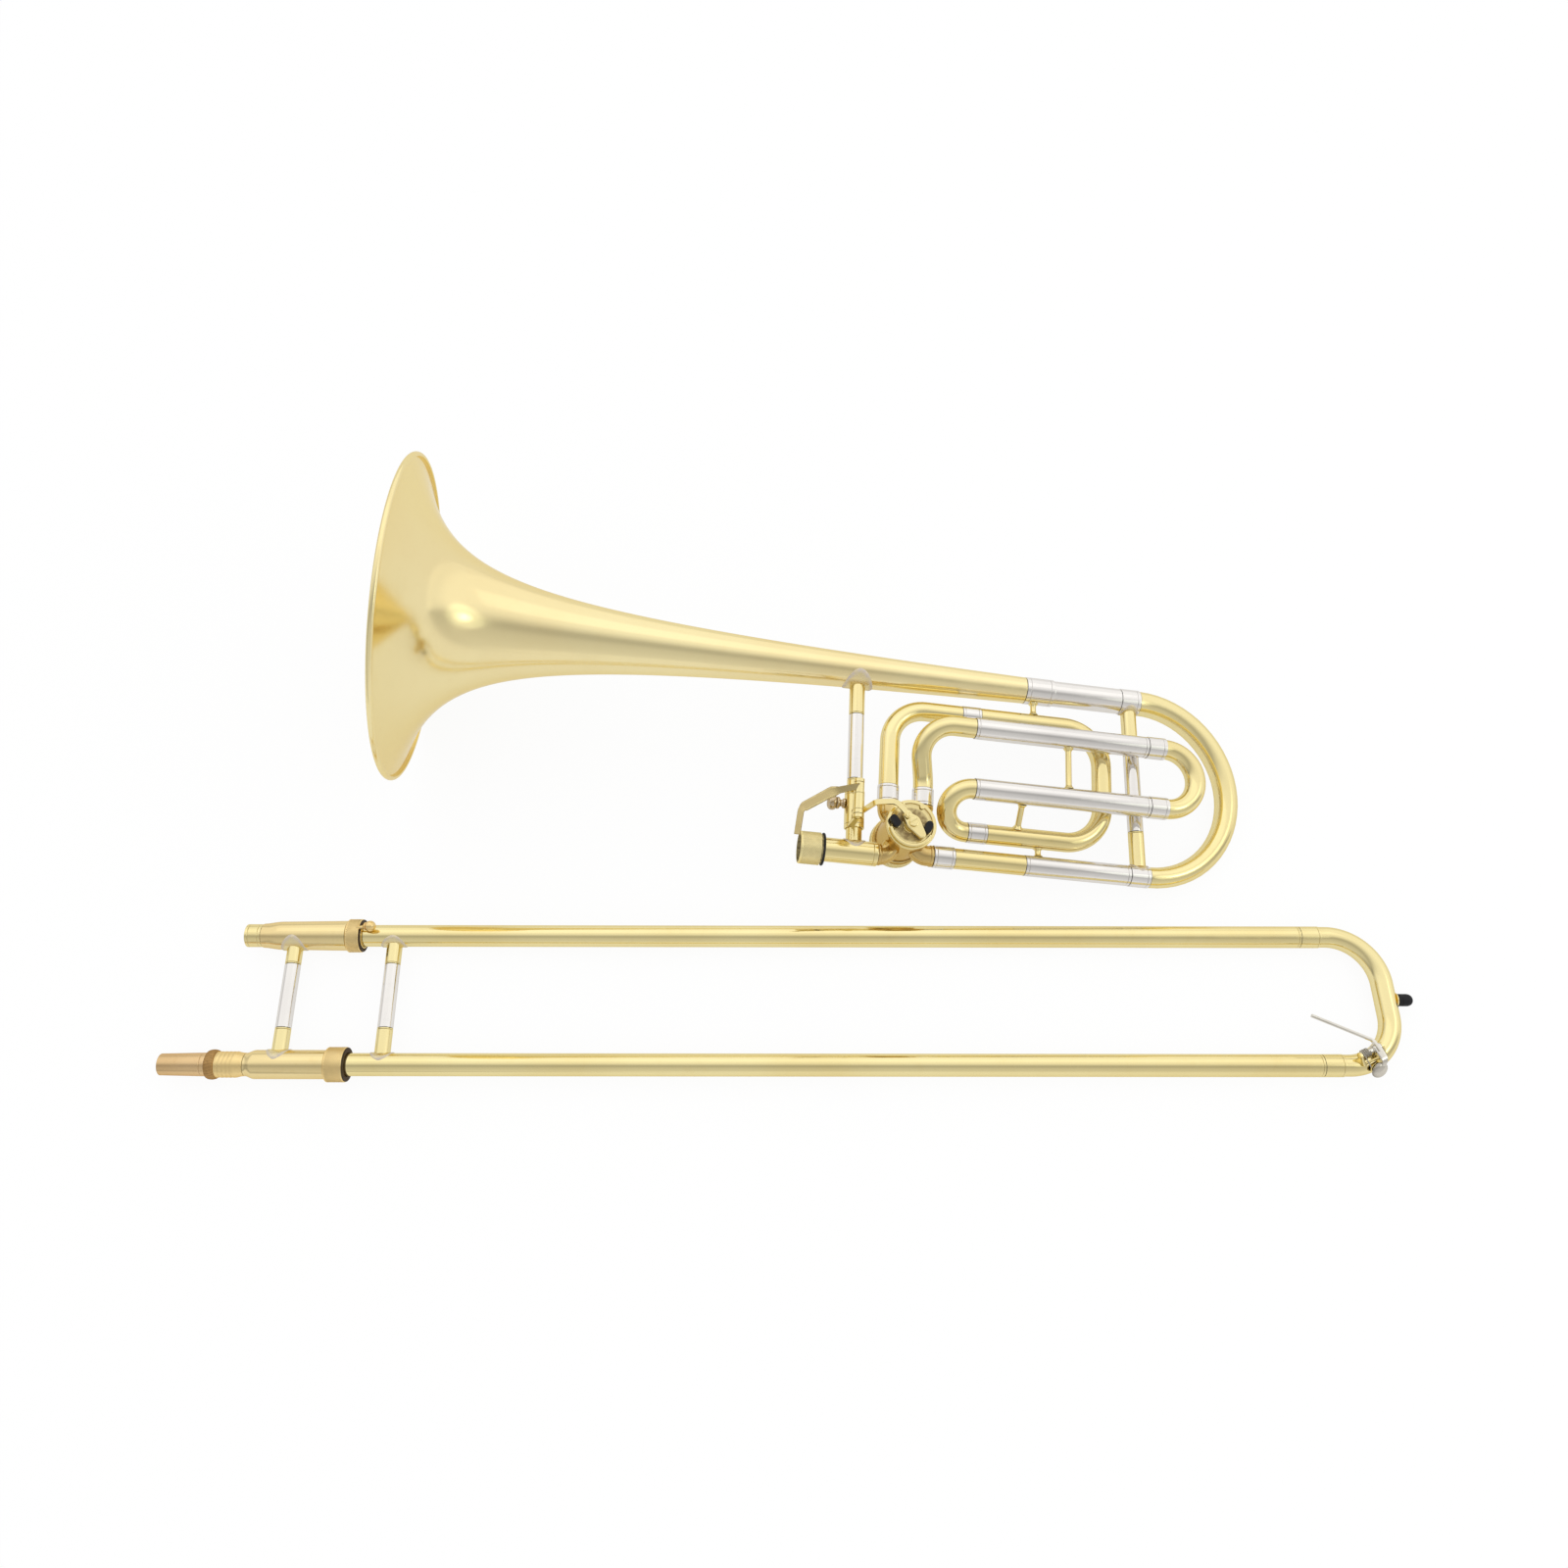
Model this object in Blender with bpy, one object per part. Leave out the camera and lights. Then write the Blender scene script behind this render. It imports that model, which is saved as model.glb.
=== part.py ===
"""Tenor trombone with an F attachment, taken apart: the bell section and the hand slide lie side by side.

Lengths are in metres and +Z is up. The bell section is drawn in its own frame: x runs along the bell's axis
from the rim to the tuning slide, y from the receiver's axis up to the bell's axis, and z out of the side
that faces up. The hand slide is drawn in a second frame: x runs from the tenon to the bow, and y from the
lower leg to the upper leg. An empty carries each frame to its place on the table.
"""

import math

import bmesh
import bpy
from mathutils import Matrix, Vector

# Clearances
GAP = 0.0003
SLIDING_GAP = 0.0003
JOINT_GAP = 0.0008

# How far a piece reaches into another that it's made one with
BITE = 0.0005

# Smoothness of round pieces
BELL_SIDES = 32
BELL_RINGS = 13
TUBE_SIDES = 12
BARREL_SIDES = 16
SMALL_SIDES = 12
BEND_STEPS = 4
SHORT_BEND_STEPS = 3
BOW_STEPS = 6
MAIN_CROOK_STEPS = 14
F_CROOK_STEPS = 10
F_LEFT_CROOK_STEPS = 8

# Bell
BELL_LENGTH = 0.423
BELL_RADIUS = 0.108
BELL_TAIL_RADIUS = 0.0092
BELL_WALL = 0.0008
FLARE_SPREAD = 0.020
FLARE_POWER = 0.75
FLARE_CROWDING = 2.1
RIM_BEAD_RADIUS = 0.0020

# Lines of the bell section. Places along the bell's axis are counted from the bell's tail
LEG_SPACING = 0.127
TUBE_WALL = 0.0006
SLEEVE_WALL = 0.0004
CROOK_LEAD = 0.0005

# Main tuning slide
CROOK_START = BELL_LENGTH + 0.0840
LOWER_LEG_EXTRA = 0.0040
CROOK_DEPTH = 0.0612
UPPER_SLEEVE_RADIUS = 0.0089
UPPER_SLEEVE_END = BELL_LENGTH + 0.0696
BELL_FERRULE_LENGTH = 0.020
BELL_FERRULE_RADIUS = 0.0095
LOWER_SLEEVE_START = BELL_LENGTH + 0.0002
LOWER_SLEEVE_RADIUS = 0.0071
CROOK_UPPER_RADIUS = 0.0087
CROOK_LOWER_RADIUS = 0.0070
SLIDE_LEG_INSERT = 0.060
MAIN_BRACE_AT = BELL_LENGTH + 0.0768
MAIN_BRACE_LEAN = 2.0

# Braces
BRACE_RADIUS = 0.0053
BRACE_CORE_RADIUS = 0.0040
BRACE_FLANGE_RADIUS = 0.0095
BRACE_FLANGE_THICKNESS = 0.0012
BRACE_CUT_REACH = 0.0300
BELL_BRACE_AT = BELL_LENGTH - 0.1192
BELL_BRACE_LEAN = 1.1
BELL_BRACE_SLEEVE_FROM = 0.033
BELL_BRACE_SLEEVE_TO = 0.079
MAIN_BRACE_SLEEVE_FROM = 0.041
MAIN_BRACE_SLEEVE_TO = 0.096

# Receiver and neck
RECEIVER_Y = -0.1294
RECEIVER_START = BELL_LENGTH - 0.1431
RECEIVER_END = BELL_LENGTH - 0.1010
RECEIVER_RADIUS = 0.0080
RECEIVER_BORE = 0.0072
RECEIVER_FLANGE_RADIUS = 0.0092
RECEIVER_FLANGE_WIDTH = 0.0030
NUT_START = BELL_LENGTH - 0.1532
NUT_END = BELL_LENGTH - 0.1368
NUT_RADIUS = 0.0108
NUT_THREAD_RADIUS = 0.0096
NUT_GROOVE = 0.0004
NUT_BAND = 0.0012
NECK_FERRULE_START = BELL_LENGTH - 0.0630
NECK_FERRULE_END = BELL_LENGTH - 0.0490
NECK_FERRULE_RADIUS = 0.0075
NECK_RADIUS = 0.0069

# Rotary valve
VALVE_X = BELL_LENGTH - 0.0827
VALVE_DROP = 0.0147
ROTOR_RADIUS = 0.0150
ROTOR_BORE = 0.0054
ROTOR_END_GAP = 0.0001
CASING_WALL = 0.0030
CASING_LOW = -0.0215
CASING_HIGH = 0.0175
PORT_OFFSET = 0.0120
PORT_RADIUS = 0.0068
PORT_STAND = 0.0005
PORT_BEND = 0.0080
PORT_CORNER_SHARE = 0.72
PORT_F_CORNER_SHARE = 1.02
PORT_OVERRUN = 0.0020
PASSAGE_SPREAD = 62.0
PASSAGE_STEPS = 8
SPINDLE_RADIUS = 0.0030
BACK_CAP_DEPTH = 0.0165
BACK_CAP_RADIUS = 0.0192
BACK_CAP_BOSS_RADIUS = 0.0150
BACK_CAP_KNURL_WIDTH = 0.0080
BACK_CAP_EDGE = 0.0015
STOP_PLATE_THICKNESS = 0.0025
STOP_RAIL_HEIGHT = 0.0042
STOP_RAIL_RADIUS = 0.0164
STOP_RAIL_WIDTH = 0.0024
STOP_RAIL_SHORT = 8.0
BUMPER_RADIUS = 0.0024
BUMPER_CIRCLE = 0.0105
BUMPER_HEIGHT = 0.0050
STOP_LUG_ANGLE = -52.0
STOP_LUG_RADIUS = 0.0024
STOP_HUB_RADIUS = 0.0050
VALVE_TURN = 90.0

# F attachment
F_SIDES = 10
F_TUBE_RADIUS = 0.0067
F_SLEEVE_RADIUS = 0.0073
F_FERRULE_RADIUS = 0.0073
F_FERRULE_LENGTH = 0.0120
F_RUN_Y = -0.0245
F_WRAP_Y = -0.1080
F_UPPER_SLEEVE_Y = -0.0394
F_LOWER_SLEEVE_Y = -0.0824
F_SLEEVE_Z = 0.0170
F_ELBOW_BEND = 0.0240
F_RETURN_BEND = 0.0200
F_RETURN_RISE = 0.0060
F_RETURN_LEAN = 0.0082
F_WRAP_BEND = 0.0270
F_WRAP_EXTREME = BELL_LENGTH + 0.0562
F_COUPLING_START = BELL_LENGTH - 0.0450
F_WRAP_COUPLING_START = BELL_LENGTH - 0.0400
F_COUPLING_LENGTH = 0.0130
F_SLEEVE_START = BELL_LENGTH - 0.0400
F_SLEEVE_END = BELL_LENGTH + 0.0815
F_SLIDE_FERRULE_END = BELL_LENGTH + 0.0945
F_CROOK_RADIUS = 0.0068
F_LEG_INSERT = 0.1050
STAY_RADIUS = 0.0020
STAY_FOOT_RADIUS = 0.0034
STAY_FOOT_LENGTH = 0.0024
STAY_FOOT_SHARE = 0.3
BELL_STAY_AT = BELL_LENGTH + 0.0070
SLEEVE_STAY_AT = BELL_LENGTH + 0.0258
WRAP_STAY_AT = BELL_LENGTH - 0.0055
NECK_STAY_AT = BELL_LENGTH + 0.0100

# Thumb lever and link
LEVER_X = BELL_LENGTH - 0.1200
LEVER_HEIGHT = 0.0270
LEVER_BARREL_RADIUS = 0.0034
LEVER_BARREL_FROM = -0.0900
LEVER_BARREL_TO = -0.1110
LEVER_PIN_RADIUS = 0.0015
LEVER_POST_WIDTH = 0.0022
LEVER_POST_FOOT = 0.0030
LEVER_POST_TOP = 0.0024
LEVER_POST_OVER = 0.0026
LEVER_CLAMP_WALL = 0.0011
LEVER_TURN = 34.0
LEVER_STRIP_WIDTH = 0.0054
LEVER_STRIP_THICKNESS = 0.0018
LEVER_STRIP_RISE = 0.0022
LEVER_STRIP_KNEE = Vector((-0.0180, -0.0060, 0.0008))
LEVER_STRIP_BENDS = [0.030, 0.006]
PADDLE_RUN = 0.0205
PADDLE_DROP = Vector((0.0010, 0, -0.0010))
PADDLE_X = BELL_LENGTH - 0.1580
PADDLE_Y = -0.1265
PADDLE_HEIGHT = 0.0350
BALL_Y = -0.1050
BALL_RADIUS = 0.0030
BALL_DROP = 0.0165
BALL_LEAD = 0.0015
BALL_ARM_RADIUS = 0.0016
REST_POST_SHIFT = 0.0040
REST_POST_LENGTH = 0.0120
REST_POST_RADIUS = 0.0042
REST_STEM_LENGTH = 0.0040
REST_STEM_RADIUS = 0.0022
REST_POST_EDGE = 0.0015
LINK_WIDTH = 0.0048
LINK_THICKNESS = 0.0016
LINK_EYE_RADIUS = 0.0026
LINK_START_FACE = Vector((-0.45, 0, 1))
LINK_START = Vector((0.0042, 0.0006, 0.0030))
LINK_RISE = Vector((-0.0020, 0.0040, 0.0090))
LINK_SWEEP = Vector((-0.0075, 0.0078, 0))
LINK_RISE_SHARE = 0.3
LINK_BENDS = [0.005, 0.007]

# Hand slide
SLIDE_SPACING = 0.0855
SLIDE_TENON_X = -0.3967
TENON_LENGTH = 0.0298
TENON_TIP_RADIUS = 0.0068
TENON_ROOT_RADIUS = 0.0074
SLIDE_BORE = 0.0062
COLLAR_RING_LENGTH = 0.0063
COLLAR_RING_RADIUS = 0.0094
THREAD_LENGTH = 0.0175
THREAD_RADIUS = 0.0086
THREAD_PITCH = 0.0040
THREAD_DEPTH = 0.0006
BARREL_RADIUS = 0.0091
BARREL_END_X = -0.2935
BARREL_WALL = 0.0010
BARREL_REST = 0.0040
BARREL_TAPER = 0.0015
EDGE = 0.0006
SLIDE_COLLAR_RADIUS = 0.0110
SLIDE_COLLAR_LENGTH = 0.0155
LOCK_RING_LENGTH = 0.0085
LOCK_RING_RADIUS = 0.0110
LOCK_LUG_LENGTH = 0.0050
LOCK_LUG_RADIUS = 0.0013
LOCK_BALL_RADIUS = 0.0023
LOCK_LUG_ANGLE = 14.0
MOUTHPIECE_X = -0.3572
MOUTHPIECE_RECEIVER_LENGTH = 0.0104
MOUTHPIECE_RECEIVER_RADIUS = 0.0076
MOUTHPIECE_BORE = 0.0066
UPPER_BARREL_START_RADIUS = 0.0080
UPPER_BARREL_END_RADIUS = 0.0099
UPPER_BARREL_END_X = -0.2900
INNER_TUBE_RADIUS = 0.00655
OUTER_TUBE_BORE = 0.00685
OUTER_TUBE_RADIUS = 0.0072
INNER_TUBE_END_X = 0.3280
OUTER_TUBE_START_X = -0.2900
OUTER_TUBE_END_X = 0.3440
INNER_BRACE_X = -0.3247
OUTER_BRACE_X = -0.2590
SLIDE_BRACE_RADIUS = 0.0050
SLIDE_BRACE_SLEEVE_TOP = 0.0225
SLIDE_BRACE_SLEEVE_BOTTOM = -0.0195
SLIDE_BRACE_LEAN = 1.4
BOW_FERRULE_LENGTH = 0.0130
BOW_FERRULE_RADIUS = 0.0076
BOW_RADIUS = 0.0069
BOW_BORE = 0.0062
BOW_BEND = 0.0320
BOW_EXTREME_X = 0.3937
BOW_BUMPER_RADIUS = 0.0040
BOW_BUMPER_LENGTH = 0.0105
BOW_BUMPER_NOSE = [(0.0030, 1.0), (0.0010, 0.75), (0.0, 0.30)]

# Water key
KEY_AXIS_ANGLE = 24.0
KEY_PIVOT_INSET = 0.0051
KEY_PIVOT_HEIGHT = 0.0098
KEY_BARREL_RADIUS = 0.0026
KEY_BARREL_SOLID = 0.0060
KEY_SPOOL_RADIUS = 0.0018
KEY_BARREL_LENGTH = 0.0140
KEY_PIN_RADIUS = 0.0009
KEY_EAR_THICKNESS = 0.0014
KEY_EAR_FOOT = 0.0034
KEY_EAR_TOP = 0.0020
KEY_TOUCH_BEND = 0.0050
KEY_TOUCH_REACH = 0.0340
KEY_TOUCH_BACK = 0.0280
KEY_TOUCH_RISE = 0.0030
KEY_TOUCH_WIDTH = 0.0036
KEY_PAD_RADIUS = 0.0030
KEY_THICKNESS = 0.0014
KEY_ARM_WIDTH = 0.0050
KEY_ARM_BEND = 0.0040
KEY_CUP_RADIUS = 0.0056
KEY_CUP_DEPTH = 0.0034
NIPPLE_LEAN = 40.0
NIPPLE_RADIUS = 0.0034
NIPPLE_BORE = 0.0015
NIPPLE_LENGTH = 0.0015
SPRING_CURLS = 4
SPRING_CURL_POINTS = 9
SPRING_WIRE_RADIUS = 0.00035
SPRING_WIRE_SIDES = 5
SPRING_PITCH = 0.0012
SPRING_RADIUS = 0.0026
SPRING_LEG = 0.0090
SPRING_LEG_DROP = 0.0020

# Places on the table
BELL_RIM_PLACE = (-0.2488, 0.0699)
BELL_YAW = -2.4
SLIDE_LINE_Y = -0.16075


def material(name, colour, roughness, metallic):
    """A plain finish for one piece."""
    made = bpy.data.materials.new(name)
    made.use_nodes = True
    shader = made.node_tree.nodes["Principled BSDF"]
    shader.inputs["Base Color"].default_value = (*colour, 1.0)
    shader.inputs["Roughness"].default_value = roughness
    shader.inputs["Metallic"].default_value = metallic
    made.diffuse_color = (*colour, 1.0)
    return made


def lacquered_brass(name):
    return material(name, (0.83, 0.66, 0.28), 0.18, 1.0)


def nickel_silver(name):
    return material(name, (0.78, 0.76, 0.73), 0.16, 1.0)


def rose_brass(name):
    return material(name, (0.72, 0.47, 0.26), 0.22, 1.0)


def black_rubber(name):
    return material(name, (0.02, 0.02, 0.022), 0.6, 0.0)


def spring_steel(name):
    return material(name, (0.45, 0.42, 0.36), 0.35, 1.0)


def add_object(name, mesh_builder, finish, frame, origin=(0, 0, 0)):
    """An object of the builder's mesh, whose own origin stands at a point of its frame."""
    mesh = bpy.data.meshes.new(name)
    bmesh.ops.translate(mesh_builder, verts=mesh_builder.verts, vec=-Vector(origin))
    bmesh.ops.recalc_face_normals(mesh_builder, faces=mesh_builder.faces)
    mesh_builder.to_mesh(mesh)
    mesh_builder.free()
    mesh.shade_smooth()
    mesh.set_sharp_from_angle(angle=math.radians(38))
    mesh.materials.append(finish(name))
    made = bpy.data.objects.new(name, mesh)
    bpy.context.scene.collection.objects.link(made)
    made.parent = frame
    made.location = origin
    return made


def combine(target, tool, operation):
    """Adds or cuts a hidden helper object."""
    modifier = target.modifiers.new(tool.name, "BOOLEAN")
    modifier.operation = operation
    modifier.object = tool
    tool.hide_render = True
    tool.display_type = "WIRE"


def add_ring(builder, centre, across, up, radius, sides):
    """A ring of vertices round a centre, in the plane of two directions."""
    turn = 2 * math.pi / sides
    return [
        builder.verts.new(
            centre + (across * math.cos(turn * i) + up * math.sin(turn * i)) * radius
        )
        for i in range(sides)
    ]


def bridge(builder, first, second):
    """Quads between two rings with as many vertices."""
    count = len(first)
    for i in range(count):
        j = (i + 1) % count
        builder.faces.new((first[i], first[j], second[j], second[i]))


def path_frames(points):
    """At each point of a path, the tangent and two directions across it that turn as little as they can."""
    ways = [(after - before).normalized() for before, after in zip(points, points[1:])]
    tangents = [ways[0]]
    tangents += [(before + after).normalized() for before, after in zip(ways, ways[1:])]
    tangents.append(ways[-1])
    start = Vector((0, 0, 1)) if abs(tangents[0].z) < 0.9 else Vector((1, 0, 0))
    across = (start - tangents[0] * start.dot(tangents[0])).normalized()
    frames = []
    for tangent in tangents:
        across = (across - tangent * across.dot(tangent)).normalized()
        frames.append((tangent, across, tangent.cross(across)))
    return frames


def sweep(points, outer, bore=None, sides=TUBE_SIDES):
    """A tube along a path, hollow if it has a bore. A radius is a number, or one number for each point."""
    builder = bmesh.new()
    count = len(points)
    outer_radii = outer if isinstance(outer, list) else [outer] * count
    frames = path_frames(points)
    shell = [
        add_ring(builder, points[i], frames[i][1], frames[i][2], outer_radii[i], sides)
        for i in range(count)
    ]
    for i in range(count - 1):
        bridge(builder, shell[i], shell[i + 1])
    if bore is None:
        builder.faces.new(reversed(shell[0]))
        builder.faces.new(shell[-1])
        return builder
    bore_radii = bore if isinstance(bore, list) else [bore] * count
    hole = [
        add_ring(builder, points[i], frames[i][1], frames[i][2], bore_radii[i], sides)
        for i in range(count)
    ]
    for i in range(count - 1):
        bridge(builder, hole[i + 1], hole[i])
    bridge(builder, hole[0], shell[0])
    bridge(builder, shell[-1], hole[-1])
    return builder


def rounded_route(corners, bends, steps=BEND_STEPS):
    """Points of a route through some corners, each turned with its own bend radius."""
    points = [Vector(corners[0])]
    for i in range(1, len(corners) - 1):
        corner = Vector(corners[i])
        back = (Vector(corners[i - 1]) - corner).normalized()
        onward = (Vector(corners[i + 1]) - corner).normalized()
        half = back.angle(onward) / 2
        radius = bends[i - 1]
        reach = radius / math.tan(half)
        centre = corner + (back + onward).normalized() * (radius / math.sin(half))
        inwards = (corner + back * reach - centre).normalized()
        swing = math.pi - 2 * half
        for step in range(steps + 1):
            turn = swing * step / steps
            points.append(centre + (inwards * math.cos(turn) - back * math.sin(turn)) * radius)
    points.append(Vector(corners[-1]))
    return points


def half_turn(start, end, bulge, steps, depth=None):
    """Points of a half circle between two points, on the side of a direction, with a short straight lead."""
    across = (start - end) / 2
    middle = (start + end) / 2
    lead = bulge * CROOK_LEAD
    depth = depth or across.length
    points = [start]
    for i in range(steps + 1):
        turn = math.pi * i / steps
        swing = across * math.cos(turn) + bulge * depth * math.sin(turn)
        points.append(middle + lead + swing)
    points.append(end)
    return points


def turned(profile, sides=TUBE_SIDES, closed=True, axis="X", centre=(0, 0, 0)):
    """A solid turned about an axis from (place along it, radius) points, hollow if the profile closes."""
    builder = bmesh.new()
    along = {"X": Vector((1, 0, 0)), "Y": Vector((0, 1, 0)), "Z": Vector((0, 0, 1))}[axis]
    across = Vector((0, 0, 1)) if axis != "Z" else Vector((1, 0, 0))
    up = along.cross(across)
    rings = [
        add_ring(builder, Vector(centre) + along * place, across, up, radius, sides)
        for place, radius in profile
    ]
    for i in range(len(rings) - 1):
        bridge(builder, rings[i], rings[i + 1])
    if closed:
        bridge(builder, rings[-1], rings[0])
    else:
        builder.faces.new(reversed(rings[0]))
        builder.faces.new(rings[-1])
    return builder


def straight_tube(start, end, outer, bore, y=0.0, z=0.0, sides=TUBE_SIDES):
    """A plain tube along x."""
    profile = [(start, outer), (end, outer), (end, bore), (start, bore)]
    return turned(profile, sides, True, "X", (0, y, z))


def rod_between(start, end, radius, sides=SMALL_SIDES):
    """A solid round rod between two points."""
    return sweep([Vector(start), Vector(end)], radius, None, sides)


def ball_at(centre, radius):
    """A small ball."""
    builder = bmesh.new()
    bmesh.ops.create_icosphere(builder, subdivisions=1, radius=radius)
    bmesh.ops.translate(builder, verts=builder.verts, vec=centre)
    return builder


def plate(outline, low, high):
    """A flat plate of an outline of (x, y) points, between two heights."""
    builder = bmesh.new()
    bottom = [builder.verts.new((x, y, low)) for x, y in outline]
    top = [builder.verts.new((x, y, high)) for x, y in outline]
    bridge(builder, bottom, top)
    builder.faces.new(reversed(bottom))
    builder.faces.new(top)
    return builder


def around_discs(discs, sides=10):
    """The convex outline round some discs, each given as (x, y, radius)."""
    points = []
    for x, y, radius in discs:
        for i in range(sides):
            turn = 2 * math.pi * i / sides
            points.append((x + radius * math.cos(turn), y + radius * math.sin(turn)))
    points = sorted(set(points))

    def half(ordered):
        chain = []
        for point in ordered:
            while len(chain) > 1:
                (ax, ay), (bx, by) = chain[-2], chain[-1]
                if (bx - ax) * (point[1] - ay) - (by - ay) * (point[0] - ax) > 0:
                    break
                chain.pop()
            chain.append(point)
        return chain[:-1]

    return half(points) + half(reversed(points))


def arc_band(radius, width, start, end, steps=10):
    """The outline of a flat band along an arc, from one angle to another, in degrees."""
    angles = [math.radians(start + (end - start) * i / steps) for i in range(steps + 1)]
    outside = [(radius * math.cos(a), radius * math.sin(a)) for a in angles]
    inner = radius - width
    inside = [(inner * math.cos(a), inner * math.sin(a)) for a in reversed(angles)]
    return outside + inside


def strip_along(points, width, thickness, faces=None):
    """A flat strip along a path. Its broad side faces up, or turns from the first to the last of two directions."""
    builder = bmesh.new()
    rings = []
    first, last = faces or (Vector((0, 0, 1)), Vector((0, 0, 1)))
    for i, (point, (tangent, _, _)) in enumerate(zip(points, path_frames(points))):
        flat = first.lerp(last, i / (len(points) - 1))
        side = tangent.cross(flat).normalized() * (width / 2)
        up = side.cross(tangent).normalized() * (thickness / 2)
        corners = (side + up, up - side, -side - up, side - up)
        rings.append([builder.verts.new(point + corner) for corner in corners])
    for i in range(len(rings) - 1):
        bridge(builder, rings[i], rings[i + 1])
    builder.faces.new(reversed(rings[0]))
    builder.faces.new(rings[-1])
    return builder


def bell_outer_radius(x):
    """Outer radius of the bell at a distance from its rim."""
    share = (1 + x / FLARE_SPREAD) ** -FLARE_POWER
    last = (1 + BELL_LENGTH / FLARE_SPREAD) ** -FLARE_POWER
    mouth = BELL_RADIUS - RIM_BEAD_RADIUS
    return BELL_TAIL_RADIUS + (mouth - BELL_TAIL_RADIUS) * (share - last) / (1 - last)


def bell_stations():
    """Distances from the rim at which the bell's rings stand, closer where it flares."""
    shares = [i / BELL_RINGS for i in range(1, BELL_RINGS + 1)]
    return [BELL_LENGTH * share**FLARE_CROWDING for share in shares]


def make_bell(frame):
    """The flared bell in one sheet, with a beaded rim."""
    stations = bell_stations()
    mouth = BELL_RADIUS - RIM_BEAD_RADIUS
    bead = [
        (
            RIM_BEAD_RADIUS * math.cos(math.radians(a)),
            mouth + RIM_BEAD_RADIUS * math.sin(math.radians(a)),
        )
        for a in (200, 140, 90, 40, -20)
    ]
    outside = [(x, bell_outer_radius(x)) for x in stations]
    inside = [(x, bell_outer_radius(x) - BELL_WALL) for x in reversed(stations)]
    add_object("bell", turned(bead + outside + inside, BELL_SIDES), lacquered_brass, frame)


def leaning(builder, pivot, lean):
    """Turns what a builder holds about an upright line through a point, by some degrees."""
    turn = Matrix.Rotation(math.radians(lean), 3, "Z")
    bmesh.ops.rotate(builder, verts=builder.verts, cent=pivot, matrix=turn)
    return builder


def brace(name, frame, line, top, bottom, radius, sleeve_span, lean=0.0, flange=None):
    """A brace between two tubes along y: a brass core with thick ends, and a nickel sleeve round its middle.

    line is (x, z) of the brace, top and bottom are (y, radius) of the tubes that it meets, and sleeve_span
    is the two ends of the sleeve. It leans by some degrees about its top, and flange is the radius of the
    tube that a flange hugs there.
    """
    x, z = line
    high, low = max(sleeve_span), min(sleeve_span)
    profile = [
        (bottom[0], radius),
        (low - GAP, radius),
        (low - GAP, BRACE_CORE_RADIUS),
        (high + GAP, BRACE_CORE_RADIUS),
        (high + GAP, radius),
        (top[0], radius),
    ]
    pivot = (x, top[0], z)
    stem = turned(profile, SMALL_SIDES, False, "Y", (x, 0, z))
    core = add_object(name + "_core", leaning(stem, pivot, lean), lacquered_brass, frame)
    if flange is not None:
        skin = flange + GAP + BRACE_FLANGE_THICKNESS
        disc = [(top[0] - 2 * flange, BRACE_FLANGE_RADIUS), (top[0], BRACE_FLANGE_RADIUS)]
        round_skin = [(x - 2 * flange, skin), (x + 2 * flange, skin)]
        pad = add_object(
            name + "_flange_helper", turned(disc, 2 * TUBE_SIDES, False, "Y", (x, 0, z)),
            lacquered_brass, frame,
        )
        around = add_object(
            name + "_skin_helper",
            turned(round_skin, 2 * TUBE_SIDES, False, "X", (0, top[0], z)),
            lacquered_brass, frame,
        )
        combine(pad, around, "INTERSECT")
        combine(core, pad, "UNION")
    for place, tube_radius in (top, bottom):
        cutter = add_object(
            f"{name}_cutter_{'top' if place == top[0] else 'bottom'}",
            turned(
                [(x - BRACE_CUT_REACH, tube_radius + GAP), (x + BRACE_CUT_REACH, tube_radius + GAP)],
                2 * TUBE_SIDES, False, "X", (0, place, z),
            ),
            lacquered_brass,
            frame,
        )
        combine(core, cutter, "DIFFERENCE")
    sleeve = [
        (low, radius),
        (high, radius),
        (high, BRACE_CORE_RADIUS + GAP),
        (low, BRACE_CORE_RADIUS + GAP),
    ]
    ring = turned(sleeve, SMALL_SIDES, True, "Y", (x, 0, z))
    add_object(name + "_sleeve", leaning(ring, pivot, lean), nickel_silver, frame)


def make_bell_brace(frame):
    """The hand brace between the bell and the receiver tube."""
    bell_here = bell_outer_radius(BELL_BRACE_AT - BRACE_FLANGE_RADIUS)
    brace(
        "bell_brace", frame, (BELL_BRACE_AT, 0),
        (0.0, bell_here), (RECEIVER_Y, RECEIVER_RADIUS), BRACE_RADIUS,
        (-BELL_BRACE_SLEEVE_FROM, -BELL_BRACE_SLEEVE_TO), BELL_BRACE_LEAN, bell_here,
    )


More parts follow.
